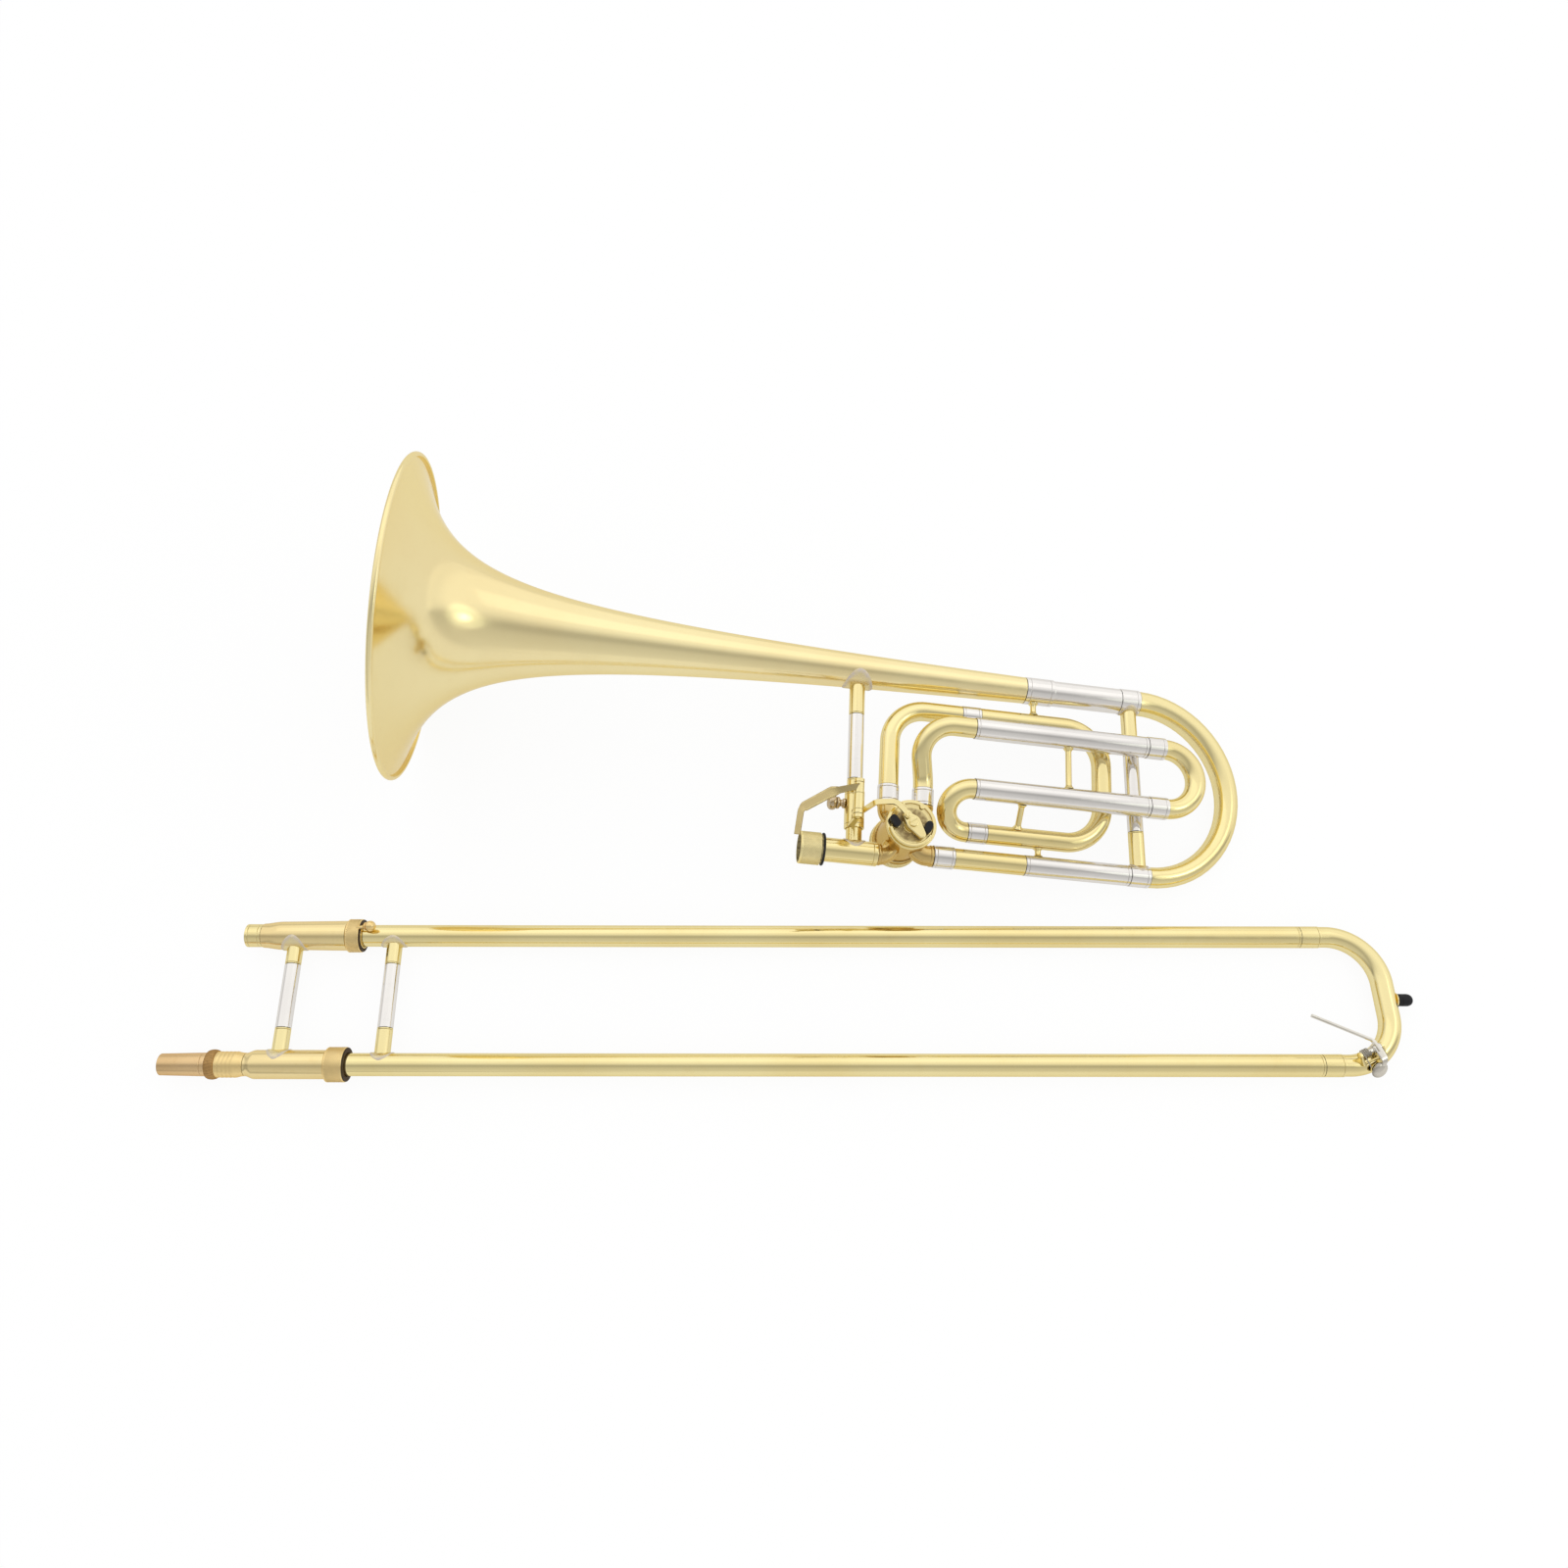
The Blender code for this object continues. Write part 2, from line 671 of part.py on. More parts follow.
def make_fixed_sleeves(frame):
    """The outer sleeves of the main tuning slide, and the neck that leads to the lower one."""
    start = BELL_LENGTH + GAP
    ferrule_end = start + BELL_FERRULE_LENGTH
    inner = UPPER_SLEEVE_RADIUS - SLEEVE_WALL
    upper = [
        (start, BELL_FERRULE_RADIUS),
        (ferrule_end, BELL_FERRULE_RADIUS),
        (ferrule_end, UPPER_SLEEVE_RADIUS),
        (UPPER_SLEEVE_END, UPPER_SLEEVE_RADIUS),
        (UPPER_SLEEVE_END, inner),
        (start, inner),
    ]
    add_object("upper_sleeve", turned(upper), nickel_silver, frame)
    lower = straight_tube(
        LOWER_SLEEVE_START, UPPER_SLEEVE_END + LOWER_LEG_EXTRA, LOWER_SLEEVE_RADIUS,
        LOWER_SLEEVE_RADIUS - SLEEVE_WALL, -LEG_SPACING,
    )
    add_object("lower_sleeve", lower, nickel_silver, frame)
    neck = straight_tube(
        NECK_FERRULE_END + GAP, LOWER_SLEEVE_START - GAP, NECK_RADIUS,
        NECK_RADIUS - TUBE_WALL, -LEG_SPACING,
    )
    add_object("neck_tube", neck, lacquered_brass, frame)
    ferrule = straight_tube(
        NECK_FERRULE_START, NECK_FERRULE_END, NECK_FERRULE_RADIUS,
        NECK_RADIUS - TUBE_WALL, -LEG_SPACING,
    )
    add_object("neck_ferrule", ferrule, nickel_silver, frame)


def slide_leg(name, frame, line, sleeve_radius, sleeve_end, insert, ferrule_end, sides):
    """A tuning slide's leg: an inner tube in its sleeve, and the ferrule that joins it to the crook."""
    leg = sleeve_radius - SLEEVE_WALL - SLIDING_GAP
    seat = sleeve_end + GAP
    profile = [
        (sleeve_end - insert, leg),
        (seat, leg),
        (seat, sleeve_radius + GAP),
        (ferrule_end, sleeve_radius + GAP),
        (ferrule_end, leg - SLEEVE_WALL),
        (sleeve_end - insert, leg - SLEEVE_WALL),
    ]
    add_object(name, turned(profile, sides, True, "X", (0, *line)), nickel_silver, frame)


def make_main_slide(frame):
    """The main tuning slide: two legs, the tapered crook between them, and its brace."""
    slide_leg(
        "main_slide_upper_leg", frame, (0.0, 0.0), UPPER_SLEEVE_RADIUS,
        UPPER_SLEEVE_END, SLIDE_LEG_INSERT, CROOK_START - GAP, TUBE_SIDES,
    )
    slide_leg(
        "main_slide_lower_leg", frame, (-LEG_SPACING, 0.0), LOWER_SLEEVE_RADIUS,
        UPPER_SLEEVE_END + LOWER_LEG_EXTRA, SLIDE_LEG_INSERT,
        CROOK_START + LOWER_LEG_EXTRA - GAP, TUBE_SIDES,
    )
    upper = Vector((CROOK_START, 0, 0))
    lower = Vector((CROOK_START + LOWER_LEG_EXTRA, -LEG_SPACING, 0))
    points = half_turn(upper, lower, Vector((1, 0, 0)), MAIN_CROOK_STEPS, CROOK_DEPTH)
    last = len(points) - 1
    taper = (CROOK_LOWER_RADIUS - CROOK_UPPER_RADIUS) / last
    outer = [CROOK_UPPER_RADIUS + taper * i for i in range(last + 1)]
    bore = [radius - TUBE_WALL for radius in outer]
    add_object("main_slide_crook", sweep(points, outer, bore), lacquered_brass, frame)
    brace(
        "main_brace", frame, (MAIN_BRACE_AT, 0),
        (0.0, UPPER_SLEEVE_RADIUS + GAP), (-LEG_SPACING, LOWER_SLEEVE_RADIUS + GAP),
        BRACE_RADIUS, (-MAIN_BRACE_SLEEVE_FROM, -MAIN_BRACE_SLEEVE_TO), MAIN_BRACE_LEAN,
    )


def make_receiver(frame):
    """The tube that takes the hand slide's tenon, and the nut that screws the two halves together."""
    flange_end = RECEIVER_START + RECEIVER_FLANGE_WIDTH
    tube = [
        (RECEIVER_START, RECEIVER_FLANGE_RADIUS),
        (flange_end, RECEIVER_FLANGE_RADIUS),
        (flange_end, RECEIVER_RADIUS),
        (RECEIVER_END, RECEIVER_RADIUS),
        (RECEIVER_END, SLIDE_BORE),
        (RECEIVER_START, RECEIVER_BORE),
    ]
    add_object(
        "receiver_tube", turned(tube, TUBE_SIDES, True, "X", (0, RECEIVER_Y, 0)),
        lacquered_brass, frame,
    )
    lip = flange_end + SLIDING_GAP
    groove = NUT_RADIUS - NUT_GROOVE
    nut = [
        (NUT_START, groove),
        (NUT_START + NUT_BAND, groove),
        (NUT_START + NUT_BAND, NUT_RADIUS),
        (NUT_END - 2 * NUT_BAND, NUT_RADIUS),
        (NUT_END - 2 * NUT_BAND, groove),
        (NUT_END - NUT_BAND, groove),
        (NUT_END - NUT_BAND, NUT_RADIUS),
        (NUT_END, groove),
        (NUT_END, RECEIVER_RADIUS + SLIDING_GAP),
        (lip, RECEIVER_RADIUS + SLIDING_GAP),
        (lip, NUT_THREAD_RADIUS),
        (NUT_START, NUT_THREAD_RADIUS),
    ]
    add_object(
        "receiver_nut", turned(nut, TUBE_SIDES, True, "X", (0, RECEIVER_Y, 0)),
        lacquered_brass, frame, (NUT_START, RECEIVER_Y, 0),
    )


def valve_centre():
    """The rotor's axis, at the height of the main tubes."""
    return Vector((VALVE_X, VALVE_DROP - LEG_SPACING, 0))


def casing_radius():
    return ROTOR_RADIUS + SLIDING_GAP + CASING_WALL


def port_routes():
    """The centre line of each of the casing's four ports, from the rotor outwards."""
    centre = valve_centre()
    f_reach = casing_radius() + PORT_STAND
    inside = ROTOR_RADIUS * math.sqrt(0.5)
    routes = []
    for side in (-1, 1):
        end = RECEIVER_END + GAP - VALVE_X if side < 0 else NECK_FERRULE_START - GAP - VALVE_X
        line = (RECEIVER_Y if side < 0 else -LEG_SPACING) - centre.y
        routes.append(
            [(side * inside / 2, -inside / 2, 0),
             (side * -line * PORT_CORNER_SHARE, line, 0),
             (end, line, 0)]
        )
        routes.append(
            [(side * inside / 2, inside / 2, 0),
             (side * PORT_OFFSET, PORT_OFFSET * PORT_F_CORNER_SHARE, 0),
             (side * PORT_OFFSET, f_reach, 0)]
        )
    return [
        [centre + point for point in rounded_route(route, [PORT_BEND], 2)] for route in routes
    ]


def make_valve_casing(frame):
    """The valve's casing, with a short tube at each port, bored for the rotor and the air."""
    centre = valve_centre()
    casing = add_object(
        "valve_casing",
        turned(
            [(CASING_LOW, casing_radius()), (CASING_HIGH, casing_radius())],
            2 * SMALL_SIDES, False, "Z", centre,
        ),
        lacquered_brass, frame,
    )
    for number, route in enumerate(port_routes()):
        knuckle = add_object(
            f"knuckle_helper_{number}", sweep(route, PORT_RADIUS), lacquered_brass, frame
        )
        combine(casing, knuckle, "UNION")
    chamber = add_object(
        "chamber_cutter",
        turned(
            [(CASING_LOW - GAP, ROTOR_RADIUS + SLIDING_GAP),
             (CASING_HIGH + GAP, ROTOR_RADIUS + SLIDING_GAP)],
            2 * SMALL_SIDES, False, "Z", centre,
        ),
        lacquered_brass, frame,
    )
    combine(casing, chamber, "DIFFERENCE")
    for number, route in enumerate(port_routes()):
        longer = route + [route[-1] + (route[-1] - route[-2]).normalized() * PORT_OVERRUN]
        air = add_object(
            f"air_cutter_{number}", sweep(longer, ROTOR_BORE, None, SMALL_SIDES),
            lacquered_brass, frame,
        )
        combine(casing, air, "DIFFERENCE")


def make_rotor(frame):
    """The rotor, with its spindle and two curved air passages."""
    centre = valve_centre()
    top = CASING_HIGH + STOP_PLATE_THICKNESS + GAP
    spindle_top = top + BUMPER_HEIGHT
    profile = [
        (CASING_LOW + ROTOR_END_GAP, ROTOR_RADIUS),
        (CASING_HIGH - ROTOR_END_GAP, ROTOR_RADIUS),
        (CASING_HIGH - ROTOR_END_GAP, SPINDLE_RADIUS),
        (spindle_top, SPINDLE_RADIUS),
    ]
    rotor = add_object(
        "rotor", turned(profile, 2 * SMALL_SIDES, False, "Z", centre),
        nickel_silver, frame, centre,
    )
    port = ROTOR_RADIUS * math.sqrt(0.5)
    for side in (-1, 1):
        middle = Vector((0, side * 2 * port, 0))
        points = []
        for i in range(PASSAGE_STEPS + 1):
            turn = math.radians(-side * 90 + PASSAGE_SPREAD * (2 * i / PASSAGE_STEPS - 1))
            points.append(
                centre + middle + Vector((math.cos(turn), math.sin(turn), 0)) * ROTOR_RADIUS
            )
        passage = add_object(
            f"passage_cutter_{side + 1}", sweep(points, ROTOR_BORE, None, SMALL_SIDES),
            nickel_silver, frame,
        )
        combine(rotor, passage, "DIFFERENCE")


def make_back_cap(frame):
    """The knurled cap on the valve's back, on which the bell section rests."""
    centre = valve_centre()
    top = CASING_LOW - GAP
    bottom = top - BACK_CAP_DEPTH
    knurl_end = top - BACK_CAP_KNURL_WIDTH
    profile = [
        (bottom, BACK_CAP_BOSS_RADIUS - BACK_CAP_EDGE),
        (bottom + BACK_CAP_EDGE, BACK_CAP_BOSS_RADIUS),
        (knurl_end, BACK_CAP_BOSS_RADIUS),
        (knurl_end, BACK_CAP_RADIUS),
        (top, BACK_CAP_RADIUS),
    ]
    add_object(
        "valve_back_cap", turned(profile, 2 * SMALL_SIDES, False, "Z", centre),
        lacquered_brass, frame,
    )


def bumper_angles():
    """The angles of the two bumpers that stop the arm's lug at rest and after its turn."""
    flank = math.asin((STOP_HUB_RADIUS - STOP_LUG_RADIUS) / BUMPER_CIRCLE)
    reach = math.asin((STOP_HUB_RADIUS + BUMPER_RADIUS + GAP) / BUMPER_CIRCLE)
    swing = math.degrees(reach - flank)
    return STOP_LUG_ANGLE + swing, STOP_LUG_ANGLE - VALVE_TURN - swing


def make_stop_plate(frame):
    """The valve's front plate, with a curved rail, and a bumper beyond either end of it."""
    centre = valve_centre()
    low = CASING_HIGH + GAP
    high = low + STOP_PLATE_THICKNESS
    profile = [
        (low, casing_radius()),
        (high, casing_radius()),
        (high, SPINDLE_RADIUS + SLIDING_GAP),
        (low, SPINDLE_RADIUS + SLIDING_GAP),
    ]
    front = add_object(
        "stop_plate", turned(profile, 2 * SMALL_SIDES, True, "Z", centre),
        lacquered_brass, frame,
    )
    first, last = bumper_angles()
    span = (first - STOP_RAIL_SHORT, last + STOP_RAIL_SHORT)
    band = arc_band(STOP_RAIL_RADIUS, STOP_RAIL_WIDTH, *span)
    builder = plate(band, high - BITE, high + STOP_RAIL_HEIGHT)
    bmesh.ops.translate(builder, verts=builder.verts, vec=centre)
    combine(front, add_object("rail_helper", builder, lacquered_brass, frame), "UNION")
    for number, angle in enumerate((first, last), 1):
        turn = math.radians(angle)
        place = centre + Vector((math.cos(turn), math.sin(turn), 0)) * BUMPER_CIRCLE
        bumper = turned(
            [(high + GAP, BUMPER_RADIUS), (high + BUMPER_HEIGHT, BUMPER_RADIUS)],
            SMALL_SIDES, False, "Z", place,
        )
        add_object(f"stop_bumper_{number}", bumper, black_rubber, frame)


def link_radius():
    """How far from the rotor's axis the link drives the stop arm, so that the ball's stroke gives its turn."""
    turn = math.radians(LEVER_TURN)
    stroke = BALL_LEAD * math.cos(turn) + BALL_DROP * math.sin(turn) - BALL_LEAD
    return stroke / 2 / math.sin(math.radians(VALVE_TURN / 2))


def arm_low():
    """The height of the stop arm's underside."""
    return CASING_HIGH + 2 * GAP + STOP_PLATE_THICKNESS + GAP


def arm_high():
    return arm_low() + BUMPER_HEIGHT - GAP


def make_stop_arm(frame):
    """The arm on the rotor's spindle: its lug swings between the bumpers, and its lobe takes the link."""
    centre = valve_centre()
    lobe = link_radius() * math.sqrt(0.5)
    lug = math.radians(STOP_LUG_ANGLE)
    outline = around_discs(
        [
            (0, 0, STOP_HUB_RADIUS),
            (-lobe, lobe, LINK_EYE_RADIUS),
            (BUMPER_CIRCLE * math.cos(lug), BUMPER_CIRCLE * math.sin(lug), STOP_LUG_RADIUS),
        ]
    )
    builder = plate(outline, arm_low(), arm_high())
    bmesh.ops.translate(builder, verts=builder.verts, vec=centre)
    arm = add_object("stop_arm", builder, lacquered_brass, frame, centre)
    hole = add_object(
        "spindle_cutter",
        turned(
            [(arm_low() - GAP, SPINDLE_RADIUS + GAP),
             (CASING_HIGH + STOP_PLATE_THICKNESS + BUMPER_HEIGHT + 3 * GAP, SPINDLE_RADIUS + GAP)],
            2 * SMALL_SIDES, False, "Z", centre,
        ),
        lacquered_brass, frame,
    )
    combine(arm, hole, "DIFFERENCE")


def f_port(side):
    """Where an F port's ferrule starts, on its own line. side is -1 for the outlet and 1 for the return."""
    centre = valve_centre()
    return Vector((VALVE_X + side * PORT_OFFSET, centre.y + casing_radius() + PORT_STAND + GAP, 0))


def make_f_outlet(frame):
    """The F tubing from the valve's outlet to the wrap: ferrule, elbow, coupling and wrap crook."""
    port = f_port(-1)
    bore = F_TUBE_RADIUS - TUBE_WALL
    ferrule = turned(
        [(0, F_FERRULE_RADIUS), (F_FERRULE_LENGTH, F_FERRULE_RADIUS),
         (F_FERRULE_LENGTH, bore), (0, bore)],
        F_SIDES, True, "Y", port,
    )
    add_object("f_outlet_ferrule", ferrule, nickel_silver, frame)
    start = port + Vector((0, F_FERRULE_LENGTH + GAP, 0))
    elbow = rounded_route(
        [start, (port.x, F_RUN_Y, 0), (F_COUPLING_START - GAP, F_RUN_Y, 0)], [F_ELBOW_BEND]
    )
    add_object("f_outlet_elbow", sweep(elbow, F_TUBE_RADIUS, bore, F_SIDES), lacquered_brass, frame)
    coupling_end = F_COUPLING_START + F_COUPLING_LENGTH
    coupling = straight_tube(
        F_COUPLING_START, coupling_end, F_TUBE_RADIUS + TUBE_WALL / 2, bore, F_RUN_Y,
        sides=F_SIDES,
    )
    add_object("f_outlet_coupling", coupling, nickel_silver, frame)
    wrap_end = F_WRAP_COUPLING_START + F_COUPLING_LENGTH
    wrap = rounded_route(
        [
            (coupling_end + GAP, F_RUN_Y, 0),
            (F_WRAP_EXTREME, F_RUN_Y, 0),
            (F_WRAP_EXTREME, F_WRAP_Y, 0),
            (wrap_end + GAP, F_WRAP_Y, 0),
        ],
        [F_WRAP_BEND, F_WRAP_BEND],
    )
    add_object("f_wrap_crook", sweep(wrap, F_TUBE_RADIUS, bore, F_SIDES), lacquered_brass, frame)
    second = straight_tube(
        F_WRAP_COUPLING_START, wrap_end, F_TUBE_RADIUS + TUBE_WALL / 2, bore, F_WRAP_Y,
        sides=F_SIDES,
    )
    add_object("f_wrap_coupling", second, nickel_silver, frame)


def make_f_left_crook(frame):
    """The tight crook that climbs from the wrap to the lower sleeve."""
    low = Vector((F_WRAP_COUPLING_START - GAP, F_WRAP_Y, 0))
    high = Vector((F_SLEEVE_START - GAP, F_LOWER_SLEEVE_Y, F_SLEEVE_Z))
    points = half_turn(low, high, Vector((-1, 0, 0)), F_LEFT_CROOK_STEPS)
    bore = F_TUBE_RADIUS - TUBE_WALL
    add_object("f_left_crook", sweep(points, F_TUBE_RADIUS, bore, F_SIDES), lacquered_brass, frame)


def make_f_sleeves(frame):
    """The two fixed sleeves of the F tuning slide."""
    for name, y in (("f_upper_sleeve", F_UPPER_SLEEVE_Y), ("f_lower_sleeve", F_LOWER_SLEEVE_Y)):
        tube = straight_tube(
            F_SLEEVE_START, F_SLEEVE_END, F_SLEEVE_RADIUS,
            F_SLEEVE_RADIUS - SLEEVE_WALL, y, F_SLEEVE_Z, F_SIDES,
        )
        add_object(name, tube, nickel_silver, frame)


def make_f_return(frame):
    """The F tubing from the upper sleeve back down to the valve."""
    port = f_port(1)
    bore = F_TUBE_RADIUS - TUBE_WALL
    ferrule = turned(
        [(0, F_FERRULE_RADIUS), (F_FERRULE_LENGTH, F_FERRULE_RADIUS),
         (F_FERRULE_LENGTH, bore), (0, bore)],
        F_SIDES, True, "Y", port,
    )
    add_object("f_return_ferrule", ferrule, nickel_silver, frame)
    start = port + Vector((0, F_FERRULE_LENGTH + GAP, 0))
    route = rounded_route(
        [
            start,
            start + Vector((0, F_RETURN_RISE, 0)),
            (port.x - F_RETURN_LEAN, F_UPPER_SLEEVE_Y, F_SLEEVE_Z),
            (F_SLEEVE_START - GAP, F_UPPER_SLEEVE_Y, F_SLEEVE_Z),
        ],
        [F_RETURN_BEND, F_RETURN_BEND],
    )
    add_object("f_return_elbow", sweep(route, F_TUBE_RADIUS, bore, F_SIDES), lacquered_brass, frame)


def make_f_slide(frame):
    """The F tuning slide: two legs and the crook that joins them."""
    for name, y in (
        ("f_slide_upper_leg", F_UPPER_SLEEVE_Y),
        ("f_slide_lower_leg", F_LOWER_SLEEVE_Y),
    ):
        slide_leg(
            name, frame, (y, F_SLEEVE_Z), F_SLEEVE_RADIUS,
            F_SLEEVE_END, F_LEG_INSERT, F_SLIDE_FERRULE_END, F_SIDES,
        )
    start = F_SLIDE_FERRULE_END + GAP
    upper = Vector((start, F_UPPER_SLEEVE_Y, F_SLEEVE_Z))
    lower = Vector((start, F_LOWER_SLEEVE_Y, F_SLEEVE_Z))
    points = half_turn(upper, lower, Vector((1, 0, 0)), F_CROOK_STEPS)
    crook = sweep(points, F_CROOK_RADIUS, F_CROOK_RADIUS - TUBE_WALL, F_SIDES)
    add_object("f_slide_crook", crook, lacquered_brass, frame)


def stay(name, frame, start, end, start_radius, end_radius):
    """A short turned stay with a spread foot on each of the two tubes that it joins."""
    start, end = Vector(start), Vector(end)
    along = (end - start).normalized()
    first = start + along * (start_radius + GAP)
    last = end - along * (end_radius + GAP)
    length = (last - first).length
    foot = min(STAY_FOOT_LENGTH, length * STAY_FOOT_SHARE)
    points = [first, first + along * foot, last - along * foot, last]
    radii = [STAY_FOOT_RADIUS, STAY_RADIUS, STAY_RADIUS, STAY_FOOT_RADIUS]
    add_object(name, sweep(points, radii, None, SMALL_SIDES), lacquered_brass, frame)


def make_f_stays(frame):
    """The four stays that hold the F attachment."""
    stay(
        "f_stay_bell", frame, (BELL_STAY_AT, 0, 0), (BELL_STAY_AT, F_RUN_Y, 0),
        BELL_FERRULE_RADIUS, F_TUBE_RADIUS,
    )
    stay(
        "f_stay_sleeves", frame,
        (SLEEVE_STAY_AT, F_UPPER_SLEEVE_Y, F_SLEEVE_Z),
        (SLEEVE_STAY_AT, F_LOWER_SLEEVE_Y, F_SLEEVE_Z),
        F_SLEEVE_RADIUS, F_SLEEVE_RADIUS,
    )
    stay(
        "f_stay_wrap", frame,
        (WRAP_STAY_AT, F_LOWER_SLEEVE_Y, F_SLEEVE_Z), (WRAP_STAY_AT, F_WRAP_Y, 0),
        F_SLEEVE_RADIUS, F_TUBE_RADIUS,
    )
    stay(
        "f_stay_neck", frame, (NECK_STAY_AT, F_WRAP_Y, 0), (NECK_STAY_AT, -LEG_SPACING, 0),
        F_TUBE_RADIUS, LOWER_SLEEVE_RADIUS,
    )


def make_lever_bracket(frame):
    """The clamp on the bell brace, with two posts that carry the lever's pin, and a rest post at its side."""
    clamp_bore = BRACE_RADIUS + GAP
    clamp_radius = clamp_bore + LEVER_CLAMP_WALL
    low = LEVER_BARREL_TO - SLIDING_GAP - LEVER_POST_WIDTH
    high = LEVER_BARREL_FROM + SLIDING_GAP + LEVER_POST_WIDTH
    profile = [(low, clamp_radius), (high, clamp_radius), (high, clamp_bore), (low, clamp_bore)]
    clamp = turned(profile, TUBE_SIDES, True, "Y", (BELL_BRACE_AT, 0, 0))
    leaning(clamp, (BELL_BRACE_AT, 0, 0), BELL_BRACE_LEAN)
    bracket = add_object("lever_bracket", clamp, lacquered_brass, frame)
    pin = rod_between(
        (LEVER_X, low + BITE, LEVER_HEIGHT), (LEVER_X, high - BITE, LEVER_HEIGHT),
        LEVER_PIN_RADIUS,
    )
    helpers = [add_object("lever_pin_helper", pin, nickel_silver, frame)]
    base = clamp_radius - LEVER_CLAMP_WALL / 2
    for number, edge in enumerate((low, high - LEVER_POST_WIDTH)):
        outline = [
            (LEVER_X - LEVER_POST_FOOT, base),
            (LEVER_X + LEVER_POST_FOOT, base),
            (LEVER_X + LEVER_POST_TOP, LEVER_HEIGHT + LEVER_POST_OVER),
            (LEVER_X - LEVER_POST_TOP, LEVER_HEIGHT + LEVER_POST_OVER),
        ]
        builder = bmesh.new()
        front = [builder.verts.new((x, edge, z)) for x, z in outline]
        back = [builder.verts.new((x, edge + LEVER_POST_WIDTH, z)) for x, z in outline]
        bridge(builder, front, back)
        builder.faces.new(reversed(front))
        builder.faces.new(back)
        helpers.append(add_object(f"post_helper_{number}", builder, lacquered_brass, frame))
    rest_y = (low + high) / 2 + REST_POST_SHIFT
    edge_x = BELL_BRACE_AT - math.radians(BELL_BRACE_LEAN) * rest_y - clamp_radius + BITE
    shape = [
        (0, REST_STEM_RADIUS),
        (REST_STEM_LENGTH, REST_STEM_RADIUS),
        (REST_STEM_LENGTH + 2 * BITE, REST_POST_RADIUS),
        (REST_POST_LENGTH, REST_POST_RADIUS),
        (REST_POST_LENGTH + REST_POST_EDGE, REST_POST_RADIUS - REST_POST_EDGE),
    ]
    rest = sweep(
        [Vector((edge_x - place, rest_y, 0)) for place, _ in shape],
        [radius for _, radius in shape], None, SMALL_SIDES,
    )
    helpers.append(add_object("rest_post_helper", rest, nickel_silver, frame))
    for helper in helpers:
        combine(bracket, helper, "UNION")


def ball_centre():
    """The ball joint at rest."""
    return Vector((LEVER_X + BALL_LEAD, BALL_Y, LEVER_HEIGHT - BALL_DROP))


def make_thumb_lever(frame):
    """The thumb lever: a barrel on the pin, a curved strip that ends in a paddle, and an arm with a ball."""
    pivot = Vector((LEVER_X, LEVER_BARREL_FROM, LEVER_HEIGHT))
    barrel = [
        (LEVER_BARREL_TO, LEVER_BARREL_RADIUS),
        (LEVER_BARREL_FROM, LEVER_BARREL_RADIUS),
    ]
    lever = add_object(
        "thumb_lever",
        turned(barrel, SMALL_SIDES, False, "Y", (LEVER_X, 0, LEVER_HEIGHT)),
        lacquered_brass, frame, pivot,
    )
    strip_y = LEVER_BARREL_FROM - LEVER_STRIP_WIDTH / 2
    start = Vector((LEVER_X, strip_y, LEVER_HEIGHT + LEVER_STRIP_RISE))
    route = rounded_route(
        [
            start,
            start + LEVER_STRIP_KNEE,
            Vector((PADDLE_X, start.y - PADDLE_RUN, PADDLE_HEIGHT + PADDLE_DROP.z)),
            (PADDLE_X - PADDLE_DROP.x, PADDLE_Y, PADDLE_HEIGHT),
        ],
        LEVER_STRIP_BENDS, SHORT_BEND_STEPS,
    )
    strip = add_object(
        "lever_strip_helper", strip_along(route, LEVER_STRIP_WIDTH, LEVER_STRIP_THICKNESS),
        lacquered_brass, frame,
    )
    ball = ball_centre()
    arm_start = (LEVER_X, BALL_Y, LEVER_HEIGHT - LEVER_BARREL_RADIUS / 3)
    arm = rod_between(arm_start, ball, BALL_ARM_RADIUS, SMALL_SIDES)
    arm_helper = add_object("ball_arm_helper", arm, lacquered_brass, frame)
    knob_helper = add_object("ball_helper", ball_at(ball, BALL_RADIUS), lacquered_brass, frame)
    for helper in (strip, arm_helper, knob_helper):
        combine(lever, helper, "UNION")
    bore = add_object(
        "barrel_cutter",
        turned(
            [(LEVER_BARREL_TO - BITE, LEVER_PIN_RADIUS + SLIDING_GAP),
             (LEVER_BARREL_FROM + BITE, LEVER_PIN_RADIUS + SLIDING_GAP)],
            SMALL_SIDES, False, "Y", (LEVER_X, 0, LEVER_HEIGHT),
        ),
        lacquered_brass, frame,
    )
    combine(lever, bore, "DIFFERENCE")


def make_link(frame):
    """The curved link between the lever's ball and the stop arm's lobe."""
    ball = ball_centre()
    lobe = link_radius() * math.sqrt(0.5)
    eye_height = arm_high() + JOINT_GAP + LINK_THICKNESS / 2
    eye = valve_centre() + Vector((-lobe, lobe, eye_height))
    start = ball + LINK_START
    route = rounded_route(
        [start, start.lerp(eye, LINK_RISE_SHARE) + LINK_RISE, eye + LINK_SWEEP, eye],
        LINK_BENDS, SHORT_BEND_STEPS,
    )
    link = add_object(
        "link",
        strip_along(route, LINK_WIDTH, LINK_THICKNESS, (LINK_START_FACE, Vector((0, 0, 1)))),
        lacquered_brass, frame, ball,
    )
    disc = [(eye.z + side * LINK_THICKNESS / 2, LINK_EYE_RADIUS) for side in (-1, 1)]
    eye_helper = add_object(
        "eye_helper",
        turned(disc, SMALL_SIDES, False, "Z", (eye.x, eye.y, 0)), lacquered_brass, frame,
    )
    combine(link, eye_helper, "UNION")


def slide_leg_y(side):
    return side * SLIDE_SPACING / 2


